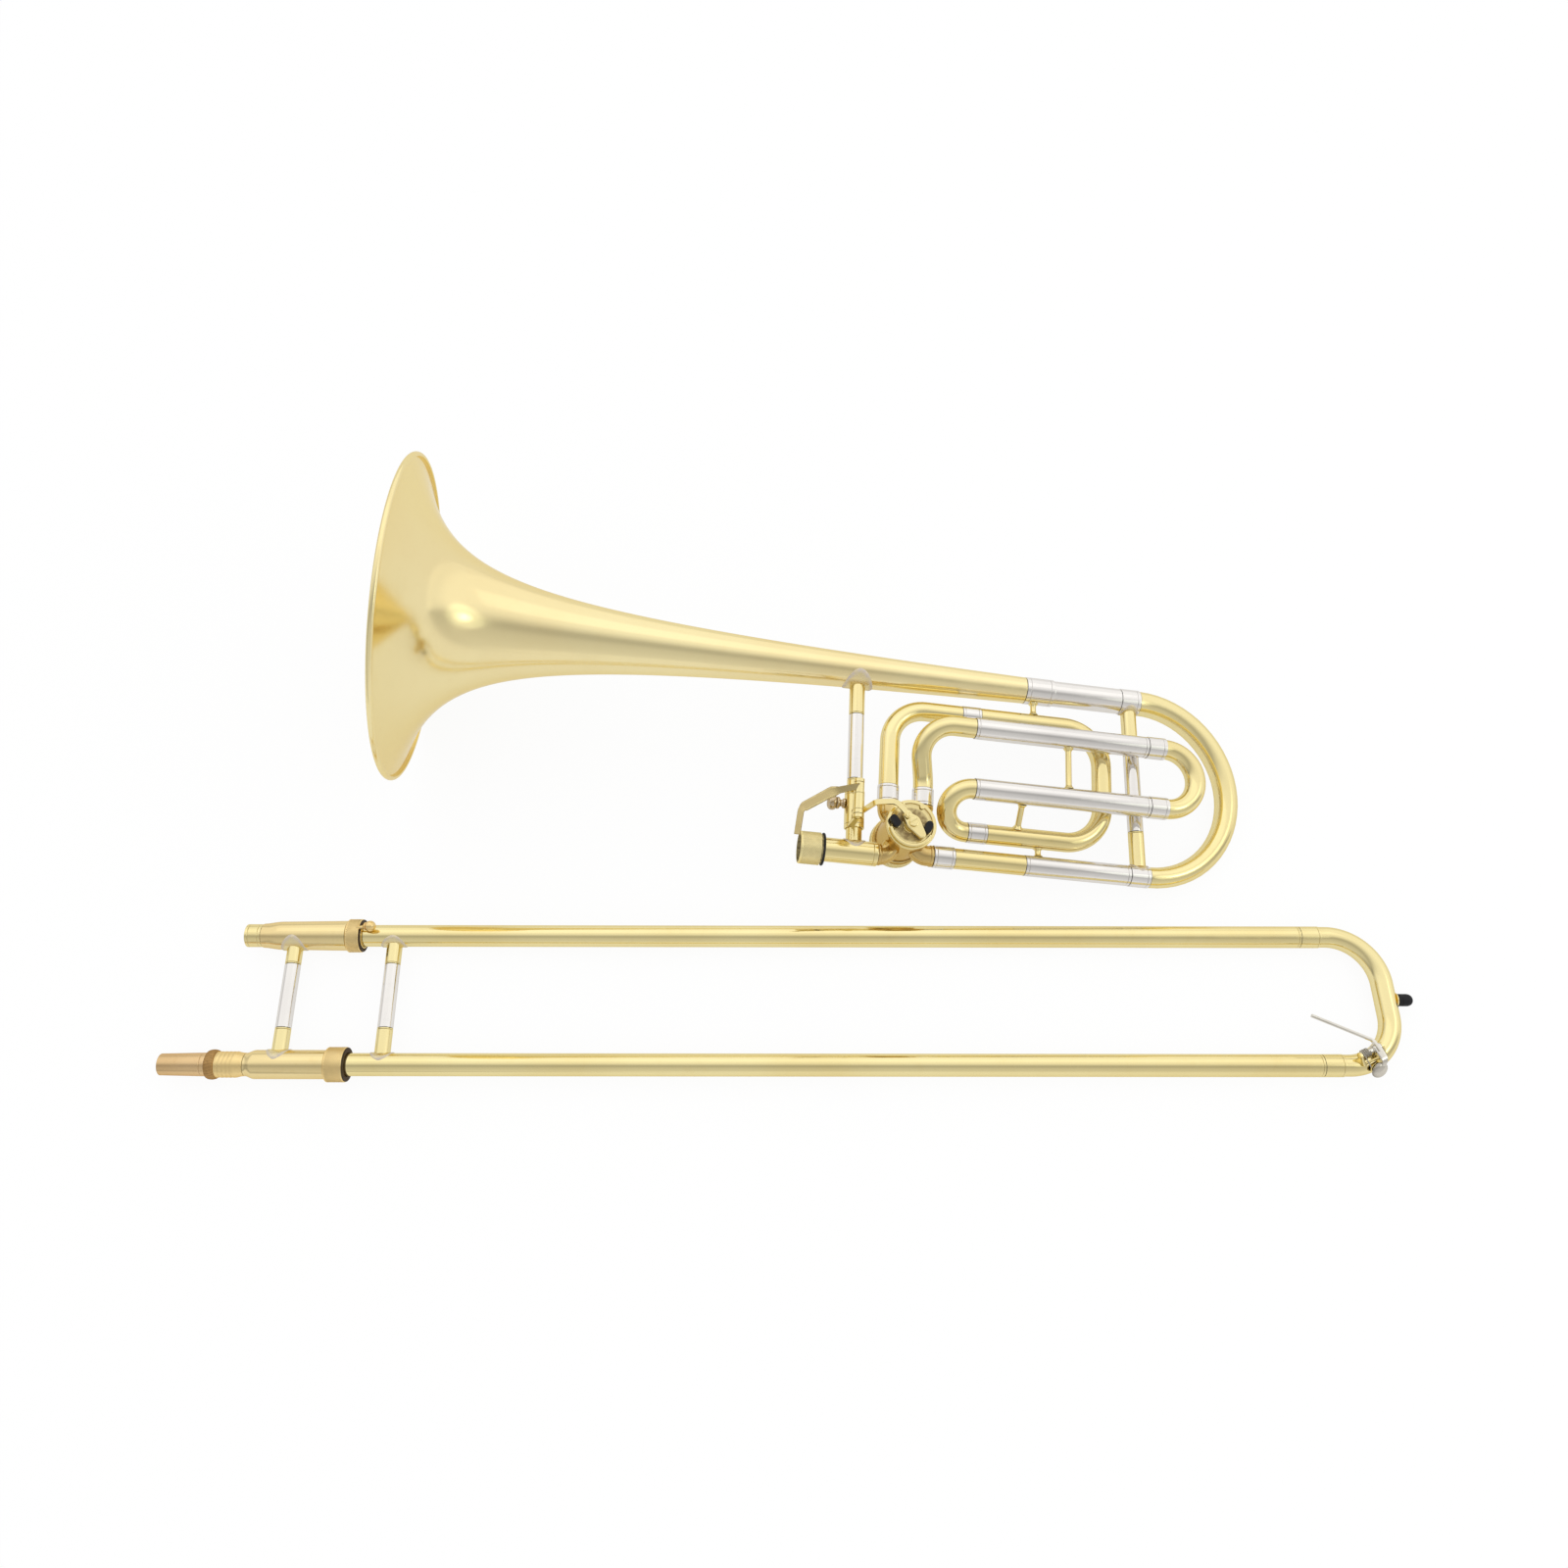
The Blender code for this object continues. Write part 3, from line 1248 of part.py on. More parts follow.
def make_tenon(frame):
    """The tapered tenon and the threaded collar that the receiver's nut screws onto."""
    y = slide_leg_y(-1)
    end = SLIDE_TENON_X + TENON_LENGTH
    tenon = [
        (SLIDE_TENON_X, TENON_TIP_RADIUS),
        (end, TENON_ROOT_RADIUS),
        (end, SLIDE_BORE),
        (SLIDE_TENON_X, SLIDE_BORE),
    ]
    add_object("slide_tenon", turned(tenon, TUBE_SIDES, True, "X", (0, y, 0)), rose_brass, frame)
    start = end + GAP
    thread_start = start + COLLAR_RING_LENGTH
    thread_end = thread_start + THREAD_LENGTH
    profile = [(start, COLLAR_RING_RADIUS), (thread_start, COLLAR_RING_RADIUS)]
    grooves = int(THREAD_LENGTH / THREAD_PITCH)
    for i in range(grooves):
        place = thread_start + THREAD_PITCH * (i + 0.25)
        profile.append((place, THREAD_RADIUS))
        profile.append((place + THREAD_PITCH / 2, THREAD_RADIUS - THREAD_DEPTH))
    profile += [(thread_end, THREAD_RADIUS - 2 * THREAD_DEPTH)]
    profile += [(thread_end, SLIDE_BORE), (start, SLIDE_BORE)]
    add_object(
        "tenon_collar", turned(profile, TUBE_SIDES, True, "X", (0, y, 0)), rose_brass, frame
    )


def make_lower_barrel(frame):
    """The lower cork barrel, with its knurled end, into which the outer slide runs."""
    y = slide_leg_y(-1)
    start = SLIDE_TENON_X + TENON_LENGTH + COLLAR_RING_LENGTH + THREAD_LENGTH + 2 * GAP
    bore = OUTER_TUBE_RADIUS + SLIDING_GAP
    tube_bore = INNER_TUBE_RADIUS + GAP
    shoulder = BARREL_END_X - BARREL_REST
    end = BARREL_END_X + SLIDE_COLLAR_LENGTH
    profile = [
        (start, BARREL_RADIUS - BARREL_TAPER),
        (start + 2 * BARREL_TAPER, BARREL_RADIUS),
        (BARREL_END_X, BARREL_RADIUS),
        (BARREL_END_X, SLIDE_COLLAR_RADIUS - EDGE),
        (BARREL_END_X + EDGE, SLIDE_COLLAR_RADIUS),
        (end - EDGE, SLIDE_COLLAR_RADIUS),
        (end, SLIDE_COLLAR_RADIUS - EDGE),
        (end, bore),
        (shoulder, bore),
        (shoulder, tube_bore),
        (start, tube_bore),
    ]
    add_object(
        "lower_barrel", turned(profile, BARREL_SIDES, True, "X", (0, y, 0)), lacquered_brass, frame
    )


def make_upper_barrel(frame):
    """The mouthpiece receiver and the upper cork barrel."""
    y = slide_leg_y(1)
    socket_end = MOUTHPIECE_X + MOUTHPIECE_RECEIVER_LENGTH
    socket = [
        (MOUTHPIECE_X, MOUTHPIECE_RECEIVER_RADIUS),
        (socket_end, MOUTHPIECE_RECEIVER_RADIUS),
        (socket_end, SLIDE_BORE),
        (MOUTHPIECE_X, MOUTHPIECE_BORE),
    ]
    add_object(
        "mouthpiece_receiver", turned(socket, TUBE_SIDES, True, "X", (0, y, 0)),
        lacquered_brass, frame,
    )
    start = socket_end + GAP
    bore = OUTER_TUBE_RADIUS + SLIDING_GAP
    tube_bore = INNER_TUBE_RADIUS + GAP
    shoulder = BARREL_END_X - BARREL_REST
    neck_end = UPPER_BARREL_END_X + LOCK_RING_LENGTH + GAP
    profile = [
        (start, UPPER_BARREL_START_RADIUS),
        (UPPER_BARREL_END_X - GAP, UPPER_BARREL_END_RADIUS),
        (UPPER_BARREL_END_X - GAP, bore + BARREL_WALL),
        (neck_end, bore + BARREL_WALL),
        (neck_end, bore),
        (shoulder, bore),
        (shoulder, tube_bore),
        (start, tube_bore),
    ]
    add_object(
        "upper_barrel", turned(profile, BARREL_SIDES, True, "X", (0, y, 0)), lacquered_brass, frame
    )


def make_lock_ring(frame):
    """The ring that turns on the upper barrel and locks the outer slide with its ball-ended lug."""
    y = slide_leg_y(1)
    start = UPPER_BARREL_END_X
    end = start + LOCK_RING_LENGTH
    bore = OUTER_TUBE_RADIUS + 2 * SLIDING_GAP + BARREL_WALL
    profile = [
        (start, LOCK_RING_RADIUS - EDGE),
        (start + EDGE, LOCK_RING_RADIUS),
        (end - EDGE, LOCK_RING_RADIUS),
        (end, LOCK_RING_RADIUS - EDGE),
        (end, bore),
        (start, bore),
    ]
    ring = add_object(
        "slide_lock_ring", turned(profile, BARREL_SIDES, True, "X", (0, y, 0)),
        lacquered_brass, frame, (start, y, 0),
    )
    lean = math.radians(LOCK_LUG_ANGLE)
    reach = LOCK_RING_RADIUS - LOCK_LUG_RADIUS
    line = Vector((0, y + reach * math.sin(lean), reach * math.cos(lean)))
    lug = rod_between(
        line + Vector((end - 2 * BITE, 0, 0)), line + Vector((end + LOCK_LUG_LENGTH, 0, 0)),
        LOCK_LUG_RADIUS, 8,
    )
    combine(ring, add_object("lug_helper", lug, lacquered_brass, frame), "UNION")
    ball = ball_at(line + Vector((end + LOCK_LUG_LENGTH, 0, 0)), LOCK_BALL_RADIUS)
    combine(ring, add_object("lug_ball_helper", ball, lacquered_brass, frame), "UNION")


def make_inner_tubes(frame):
    """The two inner slide tubes, fixed in the barrels."""
    lower_start = SLIDE_TENON_X + TENON_LENGTH + COLLAR_RING_LENGTH + THREAD_LENGTH + 3 * GAP
    upper_start = MOUTHPIECE_X + MOUTHPIECE_RECEIVER_LENGTH + 2 * GAP
    for name, start, side in (
        ("upper_inner_tube", upper_start, 1),
        ("lower_inner_tube", lower_start, -1),
    ):
        tube = straight_tube(
            start, INNER_TUBE_END_X, INNER_TUBE_RADIUS, SLIDE_BORE, slide_leg_y(side)
        )
        add_object(name, tube, nickel_silver, frame)


def make_slide_brace(name, frame, x, upper_radius, lower_radius):
    """A brace between the two legs of the hand slide."""
    brace(
        name, frame, (x, 0),
        (slide_leg_y(1), upper_radius), (slide_leg_y(-1), lower_radius),
        SLIDE_BRACE_RADIUS, (SLIDE_BRACE_SLEEVE_TOP, SLIDE_BRACE_SLEEVE_BOTTOM), SLIDE_BRACE_LEAN,
    )


def upper_barrel_radius(x):
    """Outer radius of the upper barrel at a place along it."""
    start = MOUTHPIECE_X + MOUTHPIECE_RECEIVER_LENGTH + GAP
    share = (x - start) / (UPPER_BARREL_END_X - GAP - start)
    return UPPER_BARREL_START_RADIUS * (1 - share) + UPPER_BARREL_END_RADIUS * share


def bow_route():
    """The centre line of the bow, with its two bends and the short straight between them."""
    start = OUTER_TUBE_END_X + GAP
    upper, lower = slide_leg_y(1), slide_leg_y(-1)
    return rounded_route(
        [(start, upper, 0), (BOW_EXTREME_X, upper, 0), (BOW_EXTREME_X, lower, 0), (start, lower, 0)],
        [BOW_BEND, BOW_BEND], BOW_STEPS,
    )


def make_outer_slide(frame):
    """The outer slide: two tubes, the brace between them, and the bow with its ferrules."""
    for name, side in (("upper_outer_tube", 1), ("lower_outer_tube", -1)):
        tube = straight_tube(
            OUTER_TUBE_START_X, OUTER_TUBE_END_X, OUTER_TUBE_RADIUS, OUTER_TUBE_BORE,
            slide_leg_y(side),
        )
        add_object(name, tube, lacquered_brass, frame)
    make_slide_brace("outer_brace", frame, OUTER_BRACE_X, OUTER_TUBE_RADIUS, OUTER_TUBE_RADIUS)
    bow = add_object(
        "slide_bow", sweep(bow_route(), BOW_RADIUS, BOW_BORE), lacquered_brass, frame
    )
    start = OUTER_TUBE_END_X + GAP
    for number, side in enumerate((1, -1)):
        ferrule = straight_tube(
            start, start + BOW_FERRULE_LENGTH, BOW_FERRULE_RADIUS, (BOW_RADIUS + BOW_BORE) / 2,
            slide_leg_y(side),
        )
        helper = add_object(f"bow_ferrule_helper_{number}", ferrule, lacquered_brass, frame)
        combine(bow, helper, "UNION")
    add_nipple(bow, frame)


def make_bow_bumper(frame):
    """The rubber bumper on the bow, on which the slide stands."""
    start = BOW_EXTREME_X + BOW_RADIUS + GAP
    end = start + BOW_BUMPER_LENGTH
    profile = [(start, BOW_BUMPER_RADIUS)]
    profile += [(end - back, BOW_BUMPER_RADIUS * share) for back, share in BOW_BUMPER_NOSE]
    add_object("bow_bumper", turned(profile, TUBE_SIDES, False), black_rubber, frame)


def key_frame():
    """The water key's pivot, and its directions: along the pivot, out from the bow, and up."""
    turn = math.radians(KEY_AXIS_ANGLE)
    along = Vector((math.cos(turn), math.sin(turn), 0))
    outwards = Vector((along.y, -along.x, 0))
    corner = Vector((BOW_EXTREME_X - BOW_BEND, slide_leg_y(-1) + BOW_BEND, 0))
    pivot = corner + outwards * (BOW_BEND - KEY_PIVOT_INSET) + Vector((0, 0, KEY_PIVOT_HEIGHT))
    return pivot, along, outwards, Vector((0, 0, 1))


def nipple_line():
    """The middle of the tube at the nipple, and the nipple's direction."""
    pivot, _, outwards, up = key_frame()
    lean = math.radians(NIPPLE_LEAN)
    middle = pivot + outwards * KEY_PIVOT_INSET - up * KEY_PIVOT_HEIGHT
    return middle, outwards * math.cos(lean) + up * math.sin(lean)


def add_nipple(bow, frame):
    """The water key's nipple on the bow, bored through into the tube."""
    middle, way = nipple_line()
    end = middle + way * (BOW_RADIUS + NIPPLE_LENGTH)
    nipple = rod_between(middle + way * (BOW_RADIUS - BITE), end, NIPPLE_RADIUS, 10)
    combine(bow, add_object("nipple_helper", nipple, lacquered_brass, frame), "UNION")
    drain = rod_between(middle, end + way * BITE, NIPPLE_BORE, 10)
    combine(bow, add_object("nipple_cutter", drain, lacquered_brass, frame), "DIFFERENCE")


def make_key_saddle(frame):
    """The saddle on the bow: two ears with the key's pin between them."""
    pivot, along, outwards, up = key_frame()
    ear_middle = KEY_BARREL_LENGTH / 2 + SLIDING_GAP + KEY_EAR_THICKNESS / 2
    reach = ear_middle + KEY_EAR_THICKNESS / 2 - GAP
    pin = rod_between(pivot - along * reach, pivot + along * reach, KEY_PIN_RADIUS, 8)
    saddle = add_object("water_key_saddle", pin, lacquered_brass, frame)
    foot = outwards * KEY_PIVOT_INSET - up * KEY_PIVOT_HEIGHT
    head = up * KEY_EAR_TOP
    for number, side in enumerate((-1, 1)):
        place = pivot + along * side * ear_middle
        ear = bmesh.new()
        rings = []
        for shift in (-along, along):
            corners = [
                place + foot - outwards * KEY_EAR_FOOT,
                place + foot + outwards * KEY_EAR_FOOT,
                place + head + outwards * KEY_EAR_TOP,
                place + head - outwards * KEY_EAR_TOP,
            ]
            rings.append(
                [ear.verts.new(corner + shift * KEY_EAR_THICKNESS / 2) for corner in corners]
            )
        bridge(ear, rings[0], rings[1])
        ear.faces.new(reversed(rings[0]))
        ear.faces.new(rings[1])
        combine(
            saddle, add_object(f"key_ear_helper_{number}", ear, lacquered_brass, frame), "UNION"
        )
    tube = sweep(bow_route(), BOW_RADIUS + GAP)
    combine(
        saddle, add_object("saddle_cutter", tube, lacquered_brass, frame), "DIFFERENCE"
    )


def make_water_key(frame):
    """The water key: a barrel on the pin, a touch inside the bow, and an arm with the cup over the nipple."""
    pivot, along, outwards, up = key_frame()
    half = KEY_BARREL_LENGTH / 2
    barrel = rod_between(
        pivot + along * (half - KEY_BARREL_SOLID), pivot + along * half, KEY_BARREL_RADIUS
    )
    slim = rod_between(
        pivot - along * half, pivot + along * (half - BITE), KEY_SPOOL_RADIUS
    )
    key = add_object("water_key", barrel, lacquered_brass, frame, pivot)
    base = pivot + along * (half - KEY_BARREL_SOLID / 2) + up * (KEY_BARREL_RADIUS - BITE)
    touch_route = rounded_route(
        [
            base + outwards * KEY_BARREL_RADIUS,
            base - outwards * KEY_TOUCH_BEND,
            base - outwards * KEY_TOUCH_REACH - along * KEY_TOUCH_BACK + up * KEY_TOUCH_RISE,
        ],
        [KEY_TOUCH_BEND / 2], SHORT_BEND_STEPS,
    )
    touch = strip_along(touch_route, KEY_TOUCH_WIDTH, KEY_THICKNESS)
    tip = touch_route[-1]
    pad = turned(
        [(-KEY_THICKNESS / 2, KEY_PAD_RADIUS), (KEY_THICKNESS / 2, KEY_PAD_RADIUS)],
        SMALL_SIDES, False, "Z", tip,
    )
    middle, way = nipple_line()
    seat = middle + way * (BOW_RADIUS + NIPPLE_LENGTH + GAP)
    cup_back = seat + way * KEY_CUP_DEPTH
    cup = sweep(
        [seat, seat + way * KEY_CUP_DEPTH / 2, cup_back],
        [KEY_CUP_RADIUS, KEY_CUP_RADIUS, KEY_CUP_RADIUS / 2], None, SMALL_SIDES,
    )
    crest = base + outwards * (KEY_PIVOT_INSET + BOW_RADIUS / 2)
    arm = strip_along(
        rounded_route(
            [base - outwards * BITE, crest, cup_back - way * KEY_CUP_DEPTH / 3],
            [KEY_ARM_BEND], SHORT_BEND_STEPS,
        ),
        KEY_ARM_WIDTH, KEY_THICKNESS,
        (up, way),
    )
    for number, piece in enumerate((slim, touch, pad, cup, arm)):
        combine(
            key, add_object(f"key_helper_{number}", piece, lacquered_brass, frame), "UNION"
        )
    bore = rod_between(
        pivot - along * (half + BITE), pivot + along * (half + BITE),
        KEY_PIN_RADIUS + SLIDING_GAP, 8,
    )
    combine(key, add_object("key_bore_cutter", bore, lacquered_brass, frame), "DIFFERENCE")


def make_key_spring(frame):
    """The spring coiled round the key's barrel, with a leg over the bow."""
    pivot, along, outwards, up = key_frame()
    start = pivot - along * (KEY_BARREL_LENGTH / 2 - SPRING_WIRE_RADIUS - GAP)
    points = [start + outwards * SPRING_LEG - up * SPRING_LEG_DROP + up * SPRING_RADIUS]
    for i in range(SPRING_CURLS * SPRING_CURL_POINTS + 1):
        turn = 2 * math.pi * i / SPRING_CURL_POINTS
        ring = (up * math.cos(turn) - outwards * math.sin(turn)) * SPRING_RADIUS
        points.append(start + ring + along * SPRING_PITCH * i / SPRING_CURL_POINTS)
    spring = sweep(points, SPRING_WIRE_RADIUS, None, SPRING_WIRE_SIDES)
    add_object("water_key_spring", spring, spring_steel, frame)
    least_gap = (SPRING_PITCH - 2 * SPRING_WIRE_RADIUS) * 1000
    print(f"water key spring: least gap to itself {least_gap:.2f} mm")


def rim_height(drop):
    """Height of the rim's centre over the table when the bell's axis falls by this much."""
    mouth = BELL_RADIUS - RIM_BEAD_RADIUS
    return mouth * math.sqrt(1 - drop * drop) + RIM_BEAD_RADIUS


def table_tilt():
    """The bell section's pitch and roll when its rim, its tuning crook and the valve's back cap rest."""
    drop, lean = -0.15, 0.1
    half = LEG_SPACING / 2
    centre = valve_centre()
    depth = CASING_LOW - GAP - BACK_CAP_DEPTH
    low_tube = (CROOK_UPPER_RADIUS + CROOK_LOWER_RADIUS) / 2
    for _ in range(200):
        slant = math.hypot(drop, lean)
        level = math.sqrt(1 - slant * slant)
        height = rim_height(drop)
        crook = height - half * lean - half * slant - low_tube
        drop = -crook / CROOK_START
        cap = height + centre.x * drop + depth * level - (BACK_CAP_BOSS_RADIUS - BACK_CAP_EDGE) * slant
        lean = -cap / centre.y
    pitch = math.asin(-drop)
    return pitch, math.asin(lean / math.cos(pitch)), rim_height(drop)


def slide_tilt():
    """The hand slide's pitch when its collars and the bow's ferrules rest."""
    span = OUTER_TUBE_END_X + BOW_FERRULE_LENGTH - BARREL_END_X
    return math.asin((SLIDE_COLLAR_RADIUS - BOW_FERRULE_RADIUS) / span)


def frame_origin():
    """The middle of the whole object's footprint, before it is moved to the origin."""
    slide_end = BOW_EXTREME_X + BOW_RADIUS + GAP + BOW_BUMPER_LENGTH
    near = SLIDE_LINE_Y - SLIDE_SPACING / 2 - SLIDE_COLLAR_RADIUS
    far = BELL_RIM_PLACE[1] + BELL_RADIUS * math.cos(math.radians(BELL_YAW))
    return Vector(((SLIDE_TENON_X + slide_end) / 2, (near + far) / 2, 0))


def add_frame(name, matrix):
    empty = bpy.data.objects.new(name, None)
    bpy.context.scene.collection.objects.link(empty)
    empty.matrix_world = matrix
    return empty


def bell_section_frame():
    """The empty that carries the bell section."""
    pitch, roll, height = table_tilt()
    place = Vector((*BELL_RIM_PLACE, height)) - frame_origin()
    turn = (
        Matrix.Rotation(math.radians(BELL_YAW), 4, "Z")
        @ Matrix.Rotation(pitch, 4, "Y")
        @ Matrix.Rotation(roll, 4, "X")
    )
    return add_frame("bell_section_frame", Matrix.Translation(place) @ turn)


def slide_section_frame():
    """The empty that carries the hand slide."""
    tilt = slide_tilt()
    rest = Vector((0, SLIDE_LINE_Y, SLIDE_COLLAR_RADIUS + BARREL_END_X * math.sin(tilt)))
    place = rest - frame_origin()
    return add_frame(
        "slide_section_frame", Matrix.Translation(place) @ Matrix.Rotation(tilt, 4, "Y")
    )


def clear_scene():
    for old in list(bpy.data.objects):
        bpy.data.objects.remove(old)


def main():
    clear_scene()
    bell_frame = bell_section_frame()
    make_bell(bell_frame)
    make_bell_brace(bell_frame)
    make_fixed_sleeves(bell_frame)
    make_main_slide(bell_frame)
    make_receiver(bell_frame)
    make_valve_casing(bell_frame)
    make_rotor(bell_frame)
    make_back_cap(bell_frame)
    make_stop_plate(bell_frame)
    make_stop_arm(bell_frame)
    make_f_outlet(bell_frame)
    make_f_left_crook(bell_frame)
    make_f_sleeves(bell_frame)
    make_f_return(bell_frame)
    make_f_slide(bell_frame)
    make_f_stays(bell_frame)
    make_lever_bracket(bell_frame)
    make_thumb_lever(bell_frame)
    make_link(bell_frame)
    slide_frame = slide_section_frame()
    make_tenon(slide_frame)
    make_lower_barrel(slide_frame)
    make_upper_barrel(slide_frame)
    make_lock_ring(slide_frame)
    make_inner_tubes(slide_frame)
    make_slide_brace(
        "inner_brace", slide_frame, INNER_BRACE_X, upper_barrel_radius(INNER_BRACE_X), BARREL_RADIUS
    )
    make_outer_slide(slide_frame)
    make_bow_bumper(slide_frame)
    make_key_saddle(slide_frame)
    make_water_key(slide_frame)
    make_key_spring(slide_frame)


main()
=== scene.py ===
"""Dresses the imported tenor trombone: fine turned, bent and knurled pieces stand over its plain solids.

Each piece is drawn in the frame of its half of the instrument, in metres. In the bell section x runs along
the bell's axis from the rim to the tuning slide, and y from the receiver up to the bell. In the hand slide
x runs from the tenon to the bow, and y from the lower leg to the upper leg. z points out of the side that
faces up in both.
"""

import collections
import math

import bmesh
import bpy
from mathutils import Euler, Matrix, Vector


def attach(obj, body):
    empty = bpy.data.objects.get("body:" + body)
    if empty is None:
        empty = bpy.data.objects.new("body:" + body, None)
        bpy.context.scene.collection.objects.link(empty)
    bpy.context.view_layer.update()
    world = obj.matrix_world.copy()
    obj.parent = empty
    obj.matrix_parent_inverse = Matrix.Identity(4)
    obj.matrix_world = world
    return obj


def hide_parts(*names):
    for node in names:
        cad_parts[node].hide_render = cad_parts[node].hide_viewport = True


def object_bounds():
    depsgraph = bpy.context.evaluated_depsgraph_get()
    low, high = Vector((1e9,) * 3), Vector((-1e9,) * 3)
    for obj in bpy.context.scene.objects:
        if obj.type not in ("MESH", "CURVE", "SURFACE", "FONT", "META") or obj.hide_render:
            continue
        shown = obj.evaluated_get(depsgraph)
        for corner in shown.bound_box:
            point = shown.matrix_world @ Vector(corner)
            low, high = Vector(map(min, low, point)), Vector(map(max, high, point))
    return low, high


bl_info = {
    "name": "Tenor Trombone",
    "version": (1, 0, 0),
    "blender": (4, 5, 0),
    "location": "3D View > Sidebar > Trombone",
    "description": "Builds a tenor trombone with an F attachment over its CAD frame",
    "category": "Add Mesh",
}

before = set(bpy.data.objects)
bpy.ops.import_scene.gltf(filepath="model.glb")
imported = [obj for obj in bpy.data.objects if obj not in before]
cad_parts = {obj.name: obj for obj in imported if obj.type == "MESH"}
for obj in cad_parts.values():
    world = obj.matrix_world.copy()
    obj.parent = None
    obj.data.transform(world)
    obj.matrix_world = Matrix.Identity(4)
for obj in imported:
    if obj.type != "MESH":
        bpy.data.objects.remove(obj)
cad_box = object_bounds()

# Places of the two halves, and how they lie on the table
BELL_FRAME = Matrix.Translation((-0.25615, 0.0882474, 0.1067218)) @ Euler(
    (math.radians(7.155676), math.radians(8.906883), math.radians(-2.400006))
).to_matrix().to_4x4()
SLIDE_FRAME = Matrix.Translation((-0.00735, -0.1424026, 0.0094659)) @ Euler(
    (0, math.radians(0.299477), 0)
).to_matrix().to_4x4()

# Bodies of the hand slide. All others belong to the bell section
SLIDE_BODIES = ("inner_slide", "slide_lock_ring", "outer_slide", "water_key")

FORWARD, ACROSS, UP = Vector((1, 0, 0)), Vector((0, 1, 0)), Vector((0, 0, 1))

# Clearances of the solids, which the dressed pieces keep
GAP = 0.0003
SLIDING_GAP = 0.0003

# Angles in degrees above which an edge is drawn sharp, on reliefs and on screws
RELIEF_SHARP = 60
SCREW_SHARP = 40

# Angle between the two sides of a point of a profile, above which it is no corner to round
NEARLY_STRAIGHT = math.radians(150)

# Bell section
FLARE_SPREAD = 0.020
FLARE_POWER = 0.75
FLARE_CROWDING = 1.9
CROOK_START = 0.507
CROOK_DEPTH = 0.0612
CROOK_LEAD = 0.0005
LOWER_LEG_EXTRA = 0.0040
UPPER_SLEEVE_RADIUS = 0.0089
UPPER_SLEEVE_END = 0.4926
BELL_FERRULE_LENGTH = 0.020
BELL_FERRULE_RADIUS = 0.0095
LOWER_SLEEVE_START = 0.4232
LOWER_SLEEVE_RADIUS = 0.0071
CROOK_UPPER_RADIUS = 0.0087
CROOK_LOWER_RADIUS = 0.0070
MAIN_LEG_INSERT = 0.060
MAIN_BRACE_AT = 0.4998
MAIN_BRACE_LEAN = 2.0
MAIN_BRACE_SPAN = (-0.041, -0.096)
MAIN_BRACE_PADS = ((0.0068, 60), (0.0068, 70))
BRACE_RADIUS = 0.0053
BRACE_CORE_RADIUS = 0.0040
BRACE_SINK = 0.0010
BRACE_COLLAR_LENGTH = 0.0016
BRACE_LINE_INSET = 0.0012
BELL_BRACE_AT = 0.3038
BELL_BRACE_LEAN = 1.1
BELL_BRACE_SEAT = 0.0095
BELL_BRACE_SPAN = (-0.033, -0.079)
BELL_BRACE_PADS = ((0.0105, 78), (0.0080, 74))
RECEIVER_Y = -0.1294
RECEIVER_START = 0.2799
RECEIVER_END = 0.3220
RECEIVER_RADIUS = 0.0080
RECEIVER_BORE = 0.0072
RECEIVER_FLANGE_RADIUS = 0.0092
RECEIVER_FLANGE_WIDTH = 0.0030
NUT_START = 0.2698
NUT_END = 0.2862
NUT_RADIUS = 0.0108
NUT_THREAD_RADIUS = 0.0096
NECK_FERRULE_START = 0.3600
NECK_FERRULE_END = 0.3740
NECK_FERRULE_RADIUS = 0.0075
NECK_RADIUS = 0.0069

# Rotary valve
VALVE = Vector((0.3403, -0.1123, 0))
ROTOR_RADIUS = 0.0150
CASING_RADIUS = 0.0183
CASING_SHOULDER = 0.0016
CASING_RIM_RADIUS = CASING_RADIUS - CASING_SHOULDER
CASING_LOW = -0.0215
CASING_HIGH = 0.0175
PORT_OFFSET = 0.0120
PORT_RADIUS = 0.0068
PORT_STAND = 0.0005
PORT_BEND = 0.0080
SPINDLE_RADIUS = 0.0030
BACK_CAP_DEPTH = 0.0165
BACK_CAP_RADIUS = 0.0192
BACK_CAP_BOSS_RADIUS = 0.0150
BACK_CAP_KNURL_WIDTH = 0.0080
STOP_PLATE_THICKNESS = 0.0025
STOP_PLATE_TOP = CASING_HIGH + GAP + STOP_PLATE_THICKNESS
STOP_RAIL_HEIGHT = 0.0042
STOP_RAIL_RADIUS = 0.0164
STOP_RAIL_WIDTH = 0.0024
BUMPER_RADIUS = 0.0024
BUMPER_CIRCLE = 0.0105
BUMPER_HEIGHT = 0.0050
BUMPER_ANGLES = (-19.17, -174.83)
BUMPER_REACH = ((19.0, 0.0005), (-14.0, 0.0024))
STOP_LUG_ANGLE = -52.0
STOP_LUG_REACH = 0.0092
STOP_LUG_RADIUS = 0.0028
STOP_HUB_RADIUS = 0.0050
ARM_LOW = 0.0209
ARM_HIGH = 0.0256
LINK_REACH = 0.006343
LINK_LOBE = LINK_REACH * math.sqrt(0.5)

